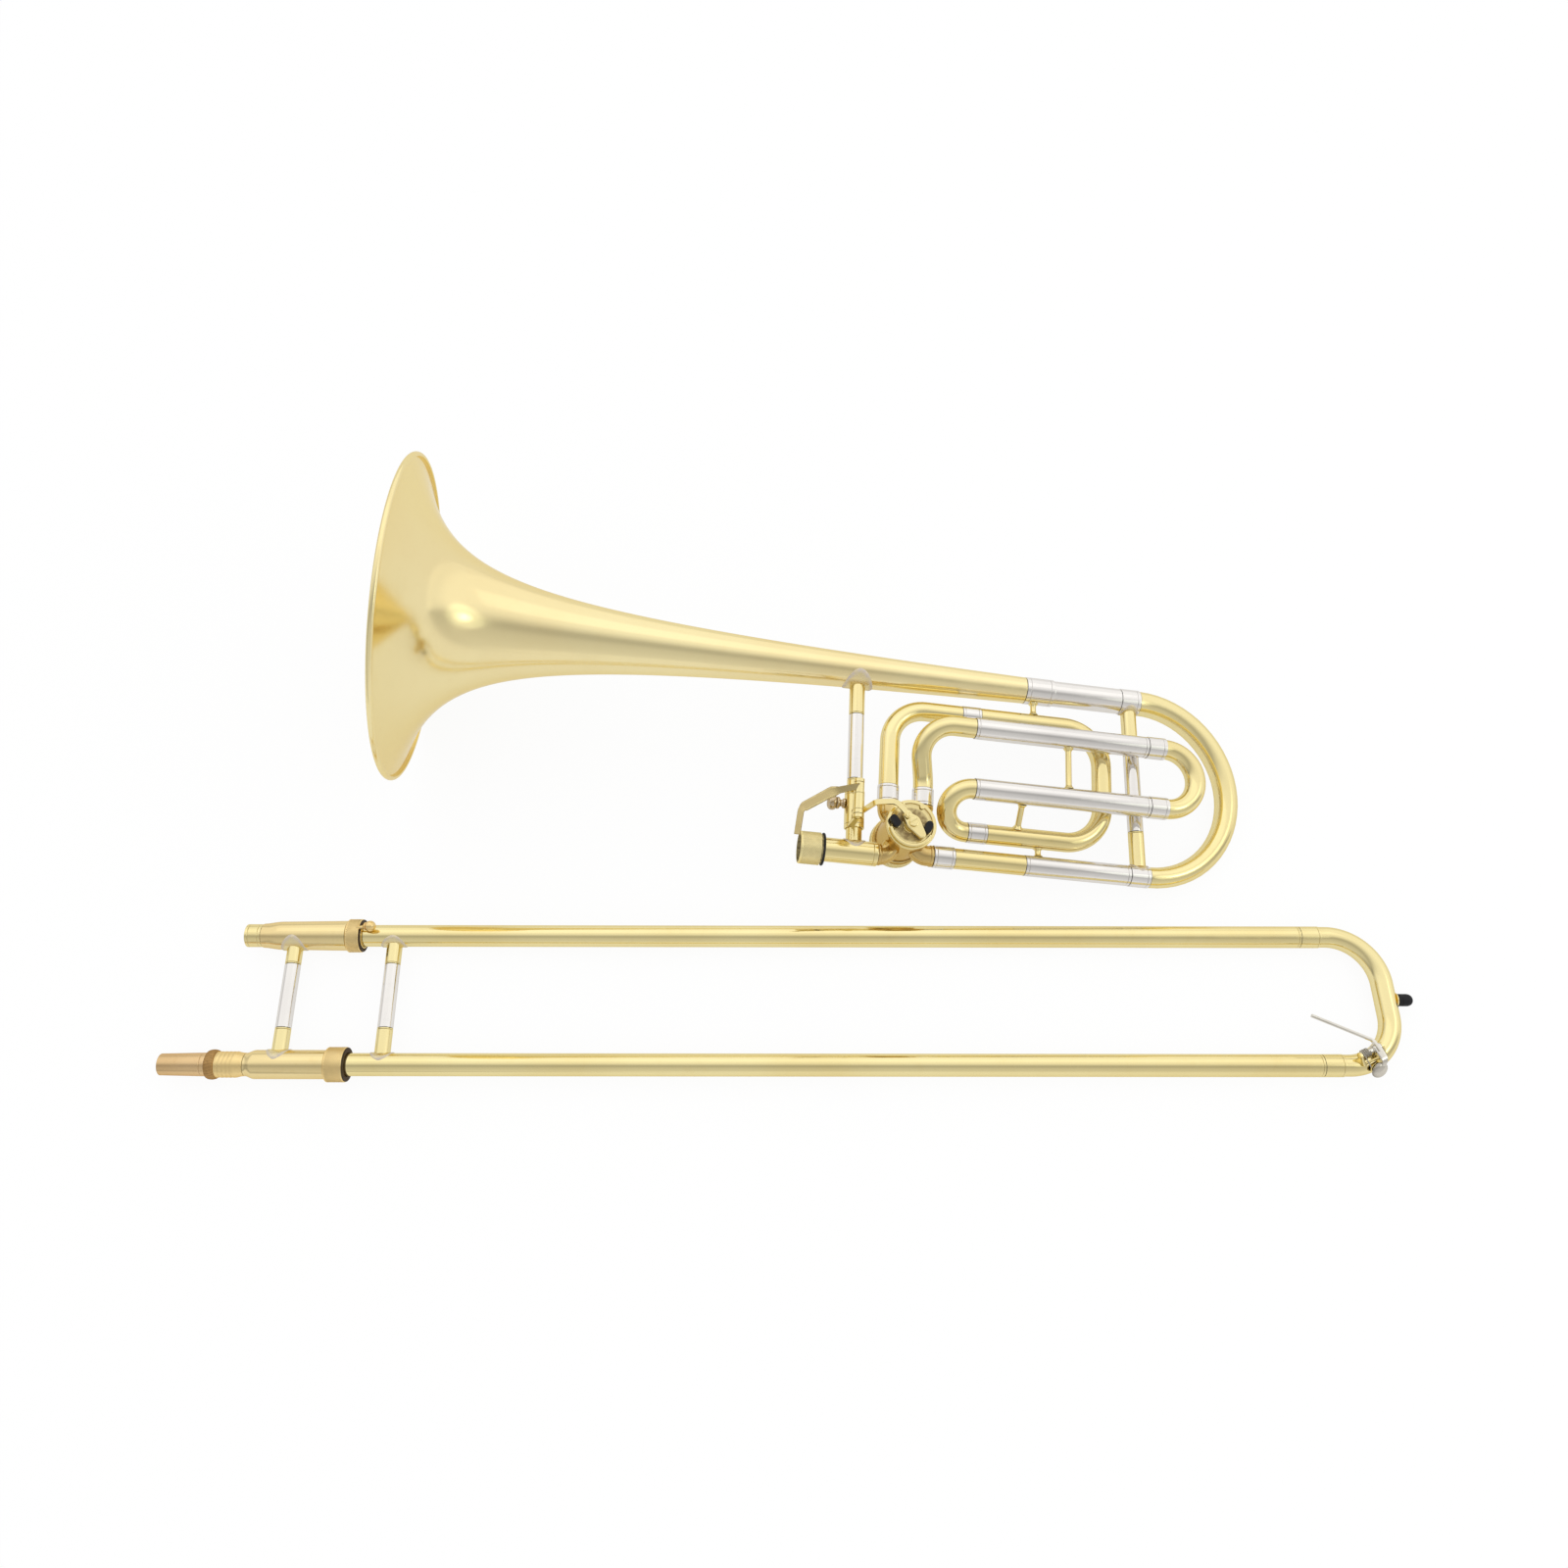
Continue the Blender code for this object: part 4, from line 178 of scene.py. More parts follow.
# F attachment
F_TUBE_RADIUS = 0.0067
F_SLEEVE_RADIUS = 0.0073
F_FERRULE_LENGTH = 0.0120
F_RUN_Y = -0.0245
F_WRAP_Y = -0.1080
F_UPPER_SLEEVE_Y = -0.0394
F_LOWER_SLEEVE_Y = -0.0824
F_SLEEVE_Z = 0.0170
F_ELBOW_BEND = 0.0240
F_RETURN_BEND = 0.0200
F_RETURN_RISE = 0.0060
F_RETURN_LEAN = 0.0082
F_WRAP_BEND = 0.0270
F_WRAP_EXTREME = 0.4792
F_COUPLING_START = 0.3780
F_WRAP_COUPLING_START = 0.3830
F_COUPLING_LENGTH = 0.0130
F_SLEEVE_START = 0.3830
F_SLEEVE_END = 0.5045
F_SLIDE_FERRULE_END = 0.5175
F_CROOK_RADIUS = 0.0068
F_LEG_INSERT = 0.1050
STAY_RADIUS = 0.0020
STAY_FOOT_RADIUS = 0.0034
STAY_FOOT_LENGTH = 0.0030
STAY_SINK = 0.0003
# How a stay's foot flares: shares of its length from the tube, and of its extra radius there
STAY_FOOT = ((0, 1), (0.16, 0.97), (0.34, 0.62), (0.55, 0.27), (0.78, 0.07), (1, 0))

# Thumb lever and link
LEVER_X = 0.3030
LEVER_HEIGHT = 0.0270
LEVER_BARREL_RADIUS = 0.0034
LEVER_BARREL_FROM = -0.0900
LEVER_BARREL_TO = -0.1110
LEVER_PIN_RADIUS = 0.0015
LEVER_POST_WIDTH = 0.0022
LEVER_CLAMP_WALL = 0.0011
LEVER_STRIP_WIDTH = 0.0054
LEVER_STRIP_THICKNESS = 0.0018
PADDLE = Vector((0.2650, -0.1265, 0.0350))
BALL = Vector((0.3045, -0.1050, 0.0105))
BALL_RADIUS = 0.0030
LINK_WIDTH = 0.0038
LINK_THICKNESS = 0.0016
LINK_EYE_RADIUS = 0.0026

# Hand slide
SLIDE_TENON_X = -0.3967
TENON_LENGTH = 0.0298
TENON_TIP_RADIUS = 0.0068
TENON_ROOT_RADIUS = 0.0074
SLIDE_BORE = 0.0062
COLLAR_RING_LENGTH = 0.0063
COLLAR_RING_RADIUS = 0.0094
THREAD_LENGTH = 0.0175
THREAD_RADIUS = 0.0086
BARREL_RADIUS = 0.0091
BARREL_END_X = -0.2935
WAIST_RADIUS = 0.0073
WAIST_LENGTH = 0.0050
BARREL_SHOULDER = 0.0060
SLIDE_COLLAR_RADIUS = 0.0110
SLIDE_COLLAR_LENGTH = 0.0155
COLLAR_START_X = -0.2909
CORK_LENGTH = 0.0008
LOCK_RING_LENGTH = 0.0100
LOCK_RING_RADIUS = 0.0110
LOCK_LUG_LENGTH = 0.0069
LOCK_LUG_RADIUS = 0.0013
LOCK_BALL_RADIUS = 0.0036
LOCK_LUG_ANGLE = 14.0
MOUTHPIECE_X = -0.3572
SOCKET_END_X = MOUTHPIECE_X + 0.0104
MOUTHPIECE_RECEIVER_RADIUS = 0.0076
MOUTHPIECE_BORE = 0.0066
UPPER_BARREL_START_RADIUS = 0.0080
UPPER_BARREL_END_RADIUS = 0.0099
UPPER_BARREL_END_X = -0.2900
BARREL_SWELL = 0.0120
BARREL_SWELL_SHARE = 0.62
INNER_TUBE_RADIUS = 0.00655
OUTER_TUBE_BORE = 0.00685
OUTER_TUBE_RADIUS = 0.0072
INNER_TUBE_END_X = 0.3280
OUTER_TUBE_START_X = -0.2900
OUTER_TUBE_END_X = 0.3440
INNER_BRACE_X = -0.3247
OUTER_BRACE_X = -0.2590
SLIDE_BRACE_RADIUS = 0.0050
SLIDE_BRACE_LEAN = 1.4
SLIDE_BRACE_SPAN = (0.0225, -0.0195)
SLIDE_BRACE_PADS = ((0.0086, 78), (0.0080, 80))
LOWER_BARREL_START_X = SLIDE_TENON_X + TENON_LENGTH + COLLAR_RING_LENGTH + THREAD_LENGTH + 2 * GAP
BARREL_STEP_X = BARREL_END_X - 0.0040
BARREL_BORE = OUTER_TUBE_RADIUS + SLIDING_GAP
BARREL_TUBE_BORE = INNER_TUBE_RADIUS + GAP
BARREL_NECK_RADIUS = BARREL_BORE + 0.0010
BOW_FERRULE_LENGTH = 0.0130
BOW_FERRULE_RADIUS = 0.0076
BOW_RADIUS = 0.0069
BOW_BORE = 0.0062
BOW_BEND = 0.0320
BOW_EXTREME_X = 0.3937
BOW_BUMPER_RADIUS = 0.0040
BOW_BUMPER_LENGTH = 0.0105

# Water key
KEY_AXIS_ANGLE = 24.0
KEY_PIVOT_INSET = 0.0051
KEY_PIVOT_HEIGHT = 0.0098
KEY_BARREL_RADIUS = 0.0026
KEY_BARREL_SOLID = 0.0060
KEY_SPOOL_RADIUS = 0.0018
KEY_BARREL_LENGTH = 0.0140
KEY_PIN_RADIUS = 0.0009
KEY_EAR_THICKNESS = 0.0014
KEY_TOUCH_BEND = 0.0050
KEY_TOUCH_REACH = 0.0340
KEY_TOUCH_BACK = 0.0280
KEY_TOUCH_RISE = 0.0030
KEY_TOUCH_WIDTH = 0.0036
KEY_TOUCH_THICKNESS = 0.0018
KEY_THICKNESS = 0.0014
KEY_ARM_WIDTH = 0.0050
KEY_CUP_RADIUS = 0.0056
KEY_CUP_DEPTH = 0.0034
NIPPLE_LEAN = 40.0
NIPPLE_RADIUS = 0.0034
NIPPLE_LENGTH = 0.0015
SPRING_CURLS = 4
SPRING_PITCH = 0.0012
SPRING_RADIUS = 0.0026
SPRING_LEG = 0.0090
SPRING_LEG_DROP = 0.0020
SPRING_STEPS = 24

RUBBED_BRASS = (0.90, 0.76, 0.46)

# The photograph's camera, and the lamps, whose light is a little green
CAMERA_LENS = 27.495
CAMERA_SENSOR_WIDTH = 36.0
CAMERA_PLACE = (-0.00735, -0.345655, 0.7783)
CAMERA_TILT = math.radians(25.0)
LAMP_TARGET = (-0.2, 0.05, 0.15)
LAMP_TINT = (0.93, 1.0, 0.90)
FLOOR_SIZE = 12.0
FLOOR_DROP = 0.0002

# Brightness of the studio as the metal mirrors it, by shares of half a turn: from front to back
DEEP_BANDS = (
    (0.0, 0.92), (0.04, 0.86), (0.08, 0.74), (0.17, 0.68), (0.27, 0.62), (0.34, 0.50), (0.39, 0.50),
    (0.45, 0.72), (0.52, 0.96), (0.60, 1.05), (1.0, 1.06),
)
# The same, from right to left
WIDE_BANDS = ((0.0, 0.95), (0.05, 0.90), (0.10, 1.0), (0.80, 1.0), (0.88, 0.75), (0.94, 0.60), (1.0, 0.80))


def length_setting(name, description, default):
    """A length that a user may change."""
    return bpy.props.FloatProperty(
        name=name, description=description, default=default, min=0.0, unit="LENGTH", precision=5
    )


def count_setting(name, description, default, lowest):
    return bpy.props.IntProperty(name=name, description=description, default=default, min=lowest)


def colour_setting(name, description, default):
    return bpy.props.FloatVectorProperty(
        name=name, description=description, default=default, size=3, min=0.0, max=1.0, subtype="COLOR"
    )


def share_setting(name, description, default):
    return bpy.props.FloatProperty(
        name=name, description=description, default=default, min=0.0, max=1.0, subtype="FACTOR"
    )


class TromboneSizes(bpy.types.PropertyGroup):
    """Sizes of the instrument that a user may change."""

    bell_length: length_setting("Bell length", "From the rim to the bell's tail", 0.423)
    bell_radius: length_setting("Bell radius", "Over the beaded rim", 0.10765)
    bell_tail_radius: length_setting("Bell tail radius", "Where the bell meets its ferrule", 0.0092)
    bell_wall: length_setting("Bell wall", "Thickness of the bell's sheet", 0.0008)
    rim_bead_radius: length_setting("Rim bead", "Radius of the wire rolled into the rim", 0.0020)
    leg_spacing: length_setting("Leg spacing", "Between the tuning slide's two legs", 0.127)
    slide_spacing: length_setting("Slide spacing", "Between the hand slide's two legs", 0.0855)
    tube_wall: length_setting("Tube wall", "Wall of the brass tubes", 0.0006)
    sleeve_wall: length_setting("Sleeve wall", "Wall of the nickel sleeves", 0.0004)
    edge_round: length_setting("Edge round", "How far a turned edge is rounded", 0.00035)
    groove_width: length_setting("Groove width", "Width of the lines turned into ferrules", 0.0005)
    knurl_pitch: length_setting("Knurl pitch", "Between two points of a knurled band", 0.0012)
    knurl_depth: length_setting("Knurl depth", "Depth of the knurled bands", 0.00028)
    thread_pitch: length_setting("Thread pitch", "Pitch of the tenon collar's thread", 0.0026)
    thread_depth: length_setting("Thread depth", "Depth of the tenon collar's thread", 0.00018)
    saddle_thickness: length_setting("Saddle thickness", "Of the pads under the braces", 0.0005)
    spring_wire_radius: length_setting("Spring wire", "Radius of the key spring's wire", 0.00035)
    bell_sides: count_setting("Bell sides", "Facets round the bell", 144, 24)
    bell_rings: count_setting("Bell rings", "Rings along the bell", 64, 12)
    tube_sides: count_setting("Tube sides", "Facets round a tube", 48, 8)
    bend_steps: count_setting("Bend steps", "Steps in a quarter bend", 16, 4)


class TromboneFinishes(bpy.types.PropertyGroup):
    """Colours and wear of the instrument that a user may change."""

    brass: colour_setting("Brass", "Lacquered brass where it is clean", (0.90, 0.775, 0.40))
    brass_deep: colour_setting("Deep brass", "Brass under thicker or aged lacquer", (0.82, 0.66, 0.29))
    nickel: colour_setting("Nickel silver", "Polished nickel silver", (0.87, 0.84, 0.80))
    nickel_deep: colour_setting("Deep nickel", "Nickel silver where it has dulled", (0.74, 0.71, 0.68))
    rose: colour_setting("Rose brass", "The copper-rich tenon", (0.78, 0.55, 0.29))
    rose_deep: colour_setting("Deep rose brass", "The tenon where it is handled", (0.60, 0.38, 0.16))
    rubber: colour_setting("Rubber", "Bumpers", (0.012, 0.012, 0.014))
    # The dirt-and-shade colour: what gathers in grooves, and the painted shade in grooves, hollows and bores
    soil: colour_setting("Soil", "What gathers in grooves", (0.045, 0.030, 0.018))
    floor: colour_setting("Floor", "Studio floor", (0.98, 0.98, 0.98))
    wear: share_setting("Edge wear", "How far edges are rubbed", 0.35)
    smudge: share_setting("Smudges", "How much handling dulls the polish", 0.30)
    # How dark grooves, hollows and bores are painted: dirt, and painted shade
    grime_and_shade: share_setting("Grime and shade", "How dark the grooves are", 0.80)


def sizes():
    return bpy.context.scene.trombone_sizes


def finishes():
    return bpy.context.scene.trombone_finishes


# Shapes

# A stop's fourth value darkens its points: dirt, and painted shade in grooves, hollows and bores
Stop = collections.namedtuple("Stop", "place radius wear soil knurled", defaults=(0.0, 0.0, False))


def groove(place, radius):
    """A fine line turned into a surface, painted dark at its bottom: shade in the line, and dirt."""
    half = sizes().groove_width / 2
    return [
        Stop(place - half, radius),
        Stop(place, radius - half, 0.0, 1.0),
        Stop(place + half, radius),
    ]


def lined(start, end, radius, *insets):
    """A turned length with fine lines, each set in from the start, or if negative from the end."""
    stops = [(start, radius)]
    for inset in insets:
        stops += groove((start if inset > 0 else end) + inset, radius)
    return [*stops, (end, radius)]


def relief_rows(start, end, radius, count):
    """Rings close enough together to carry a relief."""
    return [
        Stop(start + (end - start) * i / count, radius, 0.0, 0.0, 0 < i < count)
        for i in range(count + 1)
    ]


def knurled_band(start, end, radius):
    """Rings for a band that carries a knurl."""
    return relief_rows(start, end, radius, max(4, round(4 * (end - start) / sizes().knurl_pitch)))


def polar(angle, distance):
    """The x and y of a place at an angle in degrees and a distance."""
    turn = math.radians(angle)
    return distance * math.cos(turn), distance * math.sin(turn)


def smooth(share):
    """A share from 0 to 1, eased at both ends."""
    return (3 - 2 * share) * share * share


def eased(profile, closed):
    """The profile with each sharp corner rounded a little, and marked as an edge that wears."""
    stops = [stop if isinstance(stop, Stop) else Stop(*stop) for stop in profile]
    count = len(stops)
    made = []
    for i, here in enumerate(stops):
        if not closed and i in (0, count - 1):
            made.append(here)
            continue
        before, after = stops[i - 1], stops[(i + 1) % count]
        back = Vector((before.place - here.place, before.radius - here.radius))
        onward = Vector((after.place - here.place, after.radius - here.radius))
        corner = Vector((here.place, here.radius))
        if here.knurled or here.soil or min(back.length, onward.length) < 1e-7:
            made.append(here)
            continue
        if back.angle(onward) > NEARLY_STRAIGHT:
            made.append(here)
            continue
        reach = min(sizes().edge_round, back.length * 0.3, onward.length * 0.3)
        first, last = corner + back.normalized() * reach, corner + onward.normalized() * reach
        guard = corner + back.normalized() * reach * 1.5
        made.append(Stop(guard.x, guard.y))
        for share in (0.0, 0.5, 1.0):
            point = first.lerp(corner, share).lerp(corner.lerp(last, share), share)
            made.append(Stop(point.x, point.y, 1.0))
        guard = corner + onward.normalized() * reach * 1.5
        made.append(Stop(guard.x, guard.y))
    return made


def path_frames(points):
    """At each point of a path, the tangent and two directions across it that turn as little as they can."""
    ways = [(after - before).normalized() for before, after in zip(points, points[1:])]
    tangents = [ways[0]]
    tangents += [(before + after).normalized() for before, after in zip(ways, ways[1:])]
    tangents.append(ways[-1])
    start = UP if abs(tangents[0].z) < 0.9 else FORWARD
    across = (start - tangents[0] * start.dot(tangents[0])).normalized()
    frames = []
    for tangent in tangents:
        across = (across - tangent * across.dot(tangent)).normalized()
        frames.append((tangent, across, tangent.cross(across)))
    return frames


def rounded_route(corners, bends, steps=None):
    """Points of a route through some corners, each turned with its own bend radius."""
    steps = steps or sizes().bend_steps
    points = [Vector(corners[0])]
    for i in range(1, len(corners) - 1):
        corner = Vector(corners[i])
        back = (Vector(corners[i - 1]) - corner).normalized()
        onward = (Vector(corners[i + 1]) - corner).normalized()
        half = back.angle(onward) / 2
        radius = bends[i - 1]
        reach = radius / math.tan(half)
        centre = corner + (back + onward).normalized() * (radius / math.sin(half))
        inwards = (corner + back * reach - centre).normalized()
        swing = math.pi - 2 * half
        for step in range(steps + 1):
            turn = swing * step / steps
            points.append(centre + (inwards * math.cos(turn) - back * math.sin(turn)) * radius)
    points.append(Vector(corners[-1]))
    return points


def half_turn(start, end, bulge, depth=None):
    """Points of a half circle between two points, with a short straight lead."""
    steps = 2 * sizes().bend_steps
    across = (start - end) / 2
    middle = (start + end) / 2
    depth = depth or across.length
    points = [start]
    for i in range(steps + 1):
        turn = math.pi * i / steps
        swing = across * math.cos(turn) + bulge * depth * math.sin(turn)
        points.append(middle + bulge * CROOK_LEAD + swing)
    points.append(end)
    return points


def around_discs(discs, sides=28):
    """The convex outline round some discs, each given as (x, y, radius)."""
    points = []
    for x, y, radius in discs:
        for i in range(sides):
            turn = 2 * math.pi * i / sides
            points.append((x + radius * math.cos(turn), y + radius * math.sin(turn)))
    points = sorted(set(points))

    def half(ordered):
        chain = []
        for point in ordered:
            while len(chain) > 1:
                (ax, ay), (bx, by) = chain[-2], chain[-1]
                if (bx - ax) * (point[1] - ay) - (by - ay) * (point[0] - ax) > 0:
                    break
                chain.pop()
            chain.append(point)
        return chain[:-1]

    return half(points) + half(reversed(points))


def arc_band(radius, width, start, end, steps=36):
    """The outline of a flat band along an arc, from one angle to another, in degrees."""
    angles = [start + (end - start) * i / steps for i in range(steps + 1)]
    outside = [polar(angle, radius) for angle in angles]
    return outside + [polar(angle, radius - width) for angle in reversed(angles)]


AXES = {"X": (FORWARD, UP), "Y": (ACROSS, UP), "Z": (UP, FORWARD)}

# Profile of the lever's rest knob along its own line, from the brace outwards. Its groove is painted dark:
# shade, and dirt
REST_KNOB = [
    (0, 0.0034), (-0.0012, 0.0034), (-0.0018, 0.0024), (-0.0030, 0.0024), (-0.0038, 0.0039),
    (-0.0052, 0.0042), Stop(-0.0057, 0.0036, 0, 1), (-0.0064, 0.0046), (-0.0078, 0.0051),
    (-0.0094, 0.0051), (-0.0108, 0.0043), (-0.0116, 0.0026),
]

# Points round a strip's section, as shares of half its width and thickness, each with its wear
STRIP_SECTION = (
    (1, 0.45, 1), (0.86, 1, 1), (0.6, 1, 0), (-0.6, 1, 0), (-0.86, 1, 1), (-1, 0.45, 1),
    (-1, -0.45, 0.5), (-0.86, -1, 0.5), (0.86, -1, 0.5), (1, -0.45, 0.5),
)


class Workpiece:
    """One piece's mesh while it is made. Each point has a wear value, and a value that darkens it for dirt
    and painted shade.
    """

    def __init__(self):
        self.mesh = bmesh.new()
        self.wear = self.mesh.verts.layers.float.new("wear")
        self.soil = self.mesh.verts.layers.float.new("soil")

    def point(self, place, wear=0.0, soil=0.0):
        made = self.mesh.verts.new(place)
        made[self.wear] = wear
        made[self.soil] = soil
        return made

    def ring(self, centre, across, up, radius, sides, wear=0.0, soil=0.0):
        turn = 2 * math.pi / sides
        return [
            self.point(
                centre + (across * math.cos(turn * i) + up * math.sin(turn * i)) * radius, wear, soil
            )
            for i in range(sides)
        ]

    def bridge(self, first, second):
        count = len(first)
        for i in range(count):
            j = (i + 1) % count
            self.mesh.faces.new((first[i], first[j], second[j], second[i]))

    def capped(self, rings):
        """Closes a row of rings at both ends."""
        for first, second in zip(rings, rings[1:]):
            self.bridge(first, second)
        self.mesh.faces.new(reversed(rings[0]))
        self.mesh.faces.new(rings[-1])

    def turn(self, profile, axis="X", centre=(0, 0, 0), closed=True, sides=None, relief=None):
        """Turns a profile about an axis. relief gives a point's depth, and how far dirt and painted shade
        darken it, from its turn and place.
        """
        sides = sides or sizes().tube_sides
        along, across = AXES[axis] if isinstance(axis, str) else axis
        up = along.cross(across)
        rings = []
        for stop in eased(profile, closed):
            middle = Vector(centre) + along * stop.place
            if not stop.knurled:
                rings.append(self.ring(middle, across, up, stop.radius, sides, stop.wear, stop.soil))
                continue
            ring = []
            for i in range(sides):
                angle = 2 * math.pi * i / sides
                depth, soil = relief(angle, stop.place)
                way = across * math.cos(angle) + up * math.sin(angle)
                ring.append(self.point(middle + way * (stop.radius - depth), 0.0, soil))
            rings.append(ring)
        if closed:
            for i, ring in enumerate(rings):
                self.bridge(ring, rings[(i + 1) % len(rings)])
        else:
            self.capped(rings)
        return self

    def tube(self, start, end, outer, bore, y=0.0, z=0.0, lines=()):
        """A straight tube along x, with fine lines turned into it."""
        profile = [*lined(start, end, outer, *lines), (end, bore), (start, bore)]
        return self.turn(profile, "X", (0, y, z))

    def sweep(self, points, outer, bore=None, sides=None):
        """A bent tube along a path, hollow if it has a bore. A radius is a number or a list."""
        sides = sides or sizes().tube_sides
        frames = path_frames(points)
        radii = outer if isinstance(outer, list) else [outer] * len(points)
        shell = [
            self.ring(point, across, up, radius, sides)
            for point, (_, across, up), radius in zip(points, frames, radii)
        ]
        if bore is None:
            self.capped(shell)
            return self
        bores = bore if isinstance(bore, list) else [bore] * len(points)
        hole = [
            self.ring(point, across, up, radius, sides)
            for point, (_, across, up), radius in zip(points, frames, bores)
        ]
        for i in range(len(points) - 1):
            self.bridge(shell[i], shell[i + 1])
            self.bridge(hole[i + 1], hole[i])
        self.bridge(hole[0], shell[0])
        self.bridge(shell[-1], hole[-1])
        return self

    def rod(self, start, end, radius, ease=0.3, sides=24):
        """A round rod with rounded ends."""
        start, end = Vector(start), Vector(end)
        way = (end - start).normalized()
        ease = min(ease * radius, (end - start).length * 0.3)
        points = [start, start + way * ease * 0.4, start + way * ease]
        points += [end - way * ease, end - way * ease * 0.4, end]
        radii = [radius - ease, radius - ease * 0.25, radius]
        return self.sweep(points, radii + radii[::-1], None, sides)

    def ball(self, centre, radius, sides=32):
        """A polished ball."""
        rings = sides // 2
        up, across = AXES["Z"]
        made = []
        for i in range(1, rings):
            turn = math.pi * i / rings
            middle = Vector(centre) - up * (radius * math.cos(turn))
            made.append(self.ring(middle, across, up.cross(across), radius * math.sin(turn), sides))
        self.capped(made)
        return self

    def plate(self, outline, low, high, centre, ease):
        """A flat plate with rounded rims, of an outline of (x, y) points."""
        area = sum(Vector(outline[i - 1]).cross(Vector(p)) for i, p in enumerate(outline))
        hand = 1 if area > 0 else -1
        rings = []
        for height, inset, wear in (
            (low, ease, 0.4), (low + ease, 0, 0.8), (high - ease, 0, 0.8),
            (high - ease * 0.3, ease * 0.3, 1.0), (high, ease, 0.6), (high, ease * 2, 0.0),
        ):
            ring = []
            for i, (x, y) in enumerate(outline):
                before, after = Vector(outline[i - 1]), Vector(outline[(i + 1) % len(outline)])
                side = (after - before).normalized()
                place = Vector((x, y)) + Vector((-side.y, side.x)) * hand * inset
                ring.append(self.point(Vector(centre) + Vector((place.x, place.y, height)), wear))
            rings.append(ring)
        self.capped(rings)
        return self

    def strip(self, points, width, thickness, faces, shape=(1.0, 1.0)):
        """A flat strip along a path with rounded edges. shape scales its width at even steps along it."""
        first, last = faces
        count = len(points)
        rings = []
        for i, (point, (tangent, _, _)) in enumerate(zip(points, path_frames(points))):
            share = i / (count - 1)
            along = share * (len(shape) - 1)
            step = min(int(along), len(shape) - 2)
            scale = shape[step] + (shape[step + 1] - shape[step]) * (along - step)
            side = tangent.cross(first.lerp(last, share)).normalized() * width / 2 * scale
            up = side.cross(tangent).normalized() * thickness / 2
            rings.append([
                self.point(point + side * across + up * rise, wear) for across, rise, wear in STRIP_SECTION
            ])
        self.capped(rings)
        return self

    def screw(self, centre, radius, height, angle):
        """A slotted screw head that stands on a flat, with its slot turned by some degrees."""
        centre = Vector(centre)
        self.turn([(0, radius), (height * 0.5, radius)], "Z", centre, False, 24)
        for side in (0, math.pi):
            turned = Matrix.Rotation(math.radians(angle) + side, 2)
            half = [tuple(turned @ Vector(polar(swing, radius))) for swing in range(12, 169, 13)]
            self.plate(half, height * 0.45, height, centre, radius * 0.08)
        return self

    def saddle(self, x, y, radius, side, length, reach):
        """A petal-shaped pad soldered to a tube along x, on the side that faces along y."""
        steps = 40
        thick = sizes().saddle_thickness
        under = [(0.0, share, 0.0) for share in (0.1, 0.3, 0.5, 0.7, 0.9)]
        over = [(0.0, 1.0, 1.0), (thick, 0.92, 1.0), (thick, 0.84, 0.8), (thick, 0.76, 0.4)]
        over += [(thick, share, 0.3) for share in (0.6, 0.4, 0.2)]
        rows = []
        # On a saddle these values mark the line of solder round the pad
        for lift, share, soil in under + over:
            row = []
            off = radius + lift
            for i in range(steps):
                turn = 2 * math.pi * i / steps
                onward = math.cos(turn) * abs(math.cos(turn)) ** 0.15
                angle = reach * math.sin(turn) * abs(math.sin(turn)) ** 0.15 * share
                rise = side * off * math.cos(angle)
                place = (x + length * onward * share, y + rise, off * math.sin(angle))
                row.append(self.point(place, 0.0, soil))
            rows.append(row)
        self.capped(rows)
        return self

    def leaned(self, pivot, lean):
        """Turns what has been made about an upright line through a point, by some degrees."""
        turn = Matrix.Rotation(math.radians(lean), 3, "Z")
        bmesh.ops.rotate(self.mesh, verts=self.mesh.verts, cent=pivot, matrix=turn)
        return self

    def finish(self, name, body, material, nodes=(), sharp=50.0):
        """Makes the object in its half's place. It stands for some CAD nodes and moves with their body."""
        if not self.mesh.faces:
            raise RuntimeError(f"{name} has no faces")
        section = SLIDE_FRAME if body in SLIDE_BODIES else BELL_FRAME
        bmesh.ops.transform(self.mesh, matrix=section, verts=self.mesh.verts)
        bmesh.ops.recalc_face_normals(self.mesh, faces=self.mesh.faces)
        mesh = bpy.data.meshes.new(name)
        self.mesh.to_mesh(mesh)
        self.mesh.free()
        mesh.shade_smooth()
        mesh.set_sharp_from_angle(angle=math.radians(sharp))
        mesh.materials.append(material_named(material))
        made = bpy.data.objects.new(name, mesh)
        bpy.context.scene.collection.objects.link(made)
        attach(made, body)
        if nodes:
            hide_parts(*nodes)


# Finishes

def add_node(tree, kind, inputs=None, **settings):
    """A node with some settings. Each input is a value, or another node's socket to be linked."""
    made = tree.nodes.new(kind)
    for key, value in settings.items():
        setattr(made, key, value)
    for key, value in (inputs or {}).items():
        if isinstance(value, bpy.types.NodeSocket):
            tree.links.new(value, made.inputs[key])
        else:
            made.inputs[key].default_value = value
    return made


def math_node(tree, operation, first, second=0.0, clamp=False):
    made = add_node(tree, "ShaderNodeMath", {0: first, 1: second}, operation=operation)
    made.use_clamp = clamp
    return made.outputs[0]


def mixed(tree, factor, first, second, blend="MIX"):
    """Two colours mixed."""
    made = add_node(
        tree, "ShaderNodeMix", {0: factor, 6: first, 7: second}, data_type="RGBA", blend_type=blend
    )
    return made.outputs[2]


def noise(tree, place, scale, detail=3.0, stretch=None):
    """Noise from 0 to 1, stretched along some axes."""
    if stretch:
        place = add_node(
            tree, "ShaderNodeVectorMath", {0: place, 1: stretch}, operation="MULTIPLY"
        ).outputs[0]
    made = add_node(tree, "ShaderNodeTexNoise", {"Vector": place, "Scale": scale, "Detail": detail})
    return made.outputs["Fac"]


def ramp(tree, value, low, high):
    """The value spread from 0 at low to 1 at high."""
    made = add_node(
        tree, "ShaderNodeMapRange", {"Value": value, "From Min": low, "From Max": high},
        interpolation_type="SMOOTHSTEP",
    )
    return made.outputs[0]


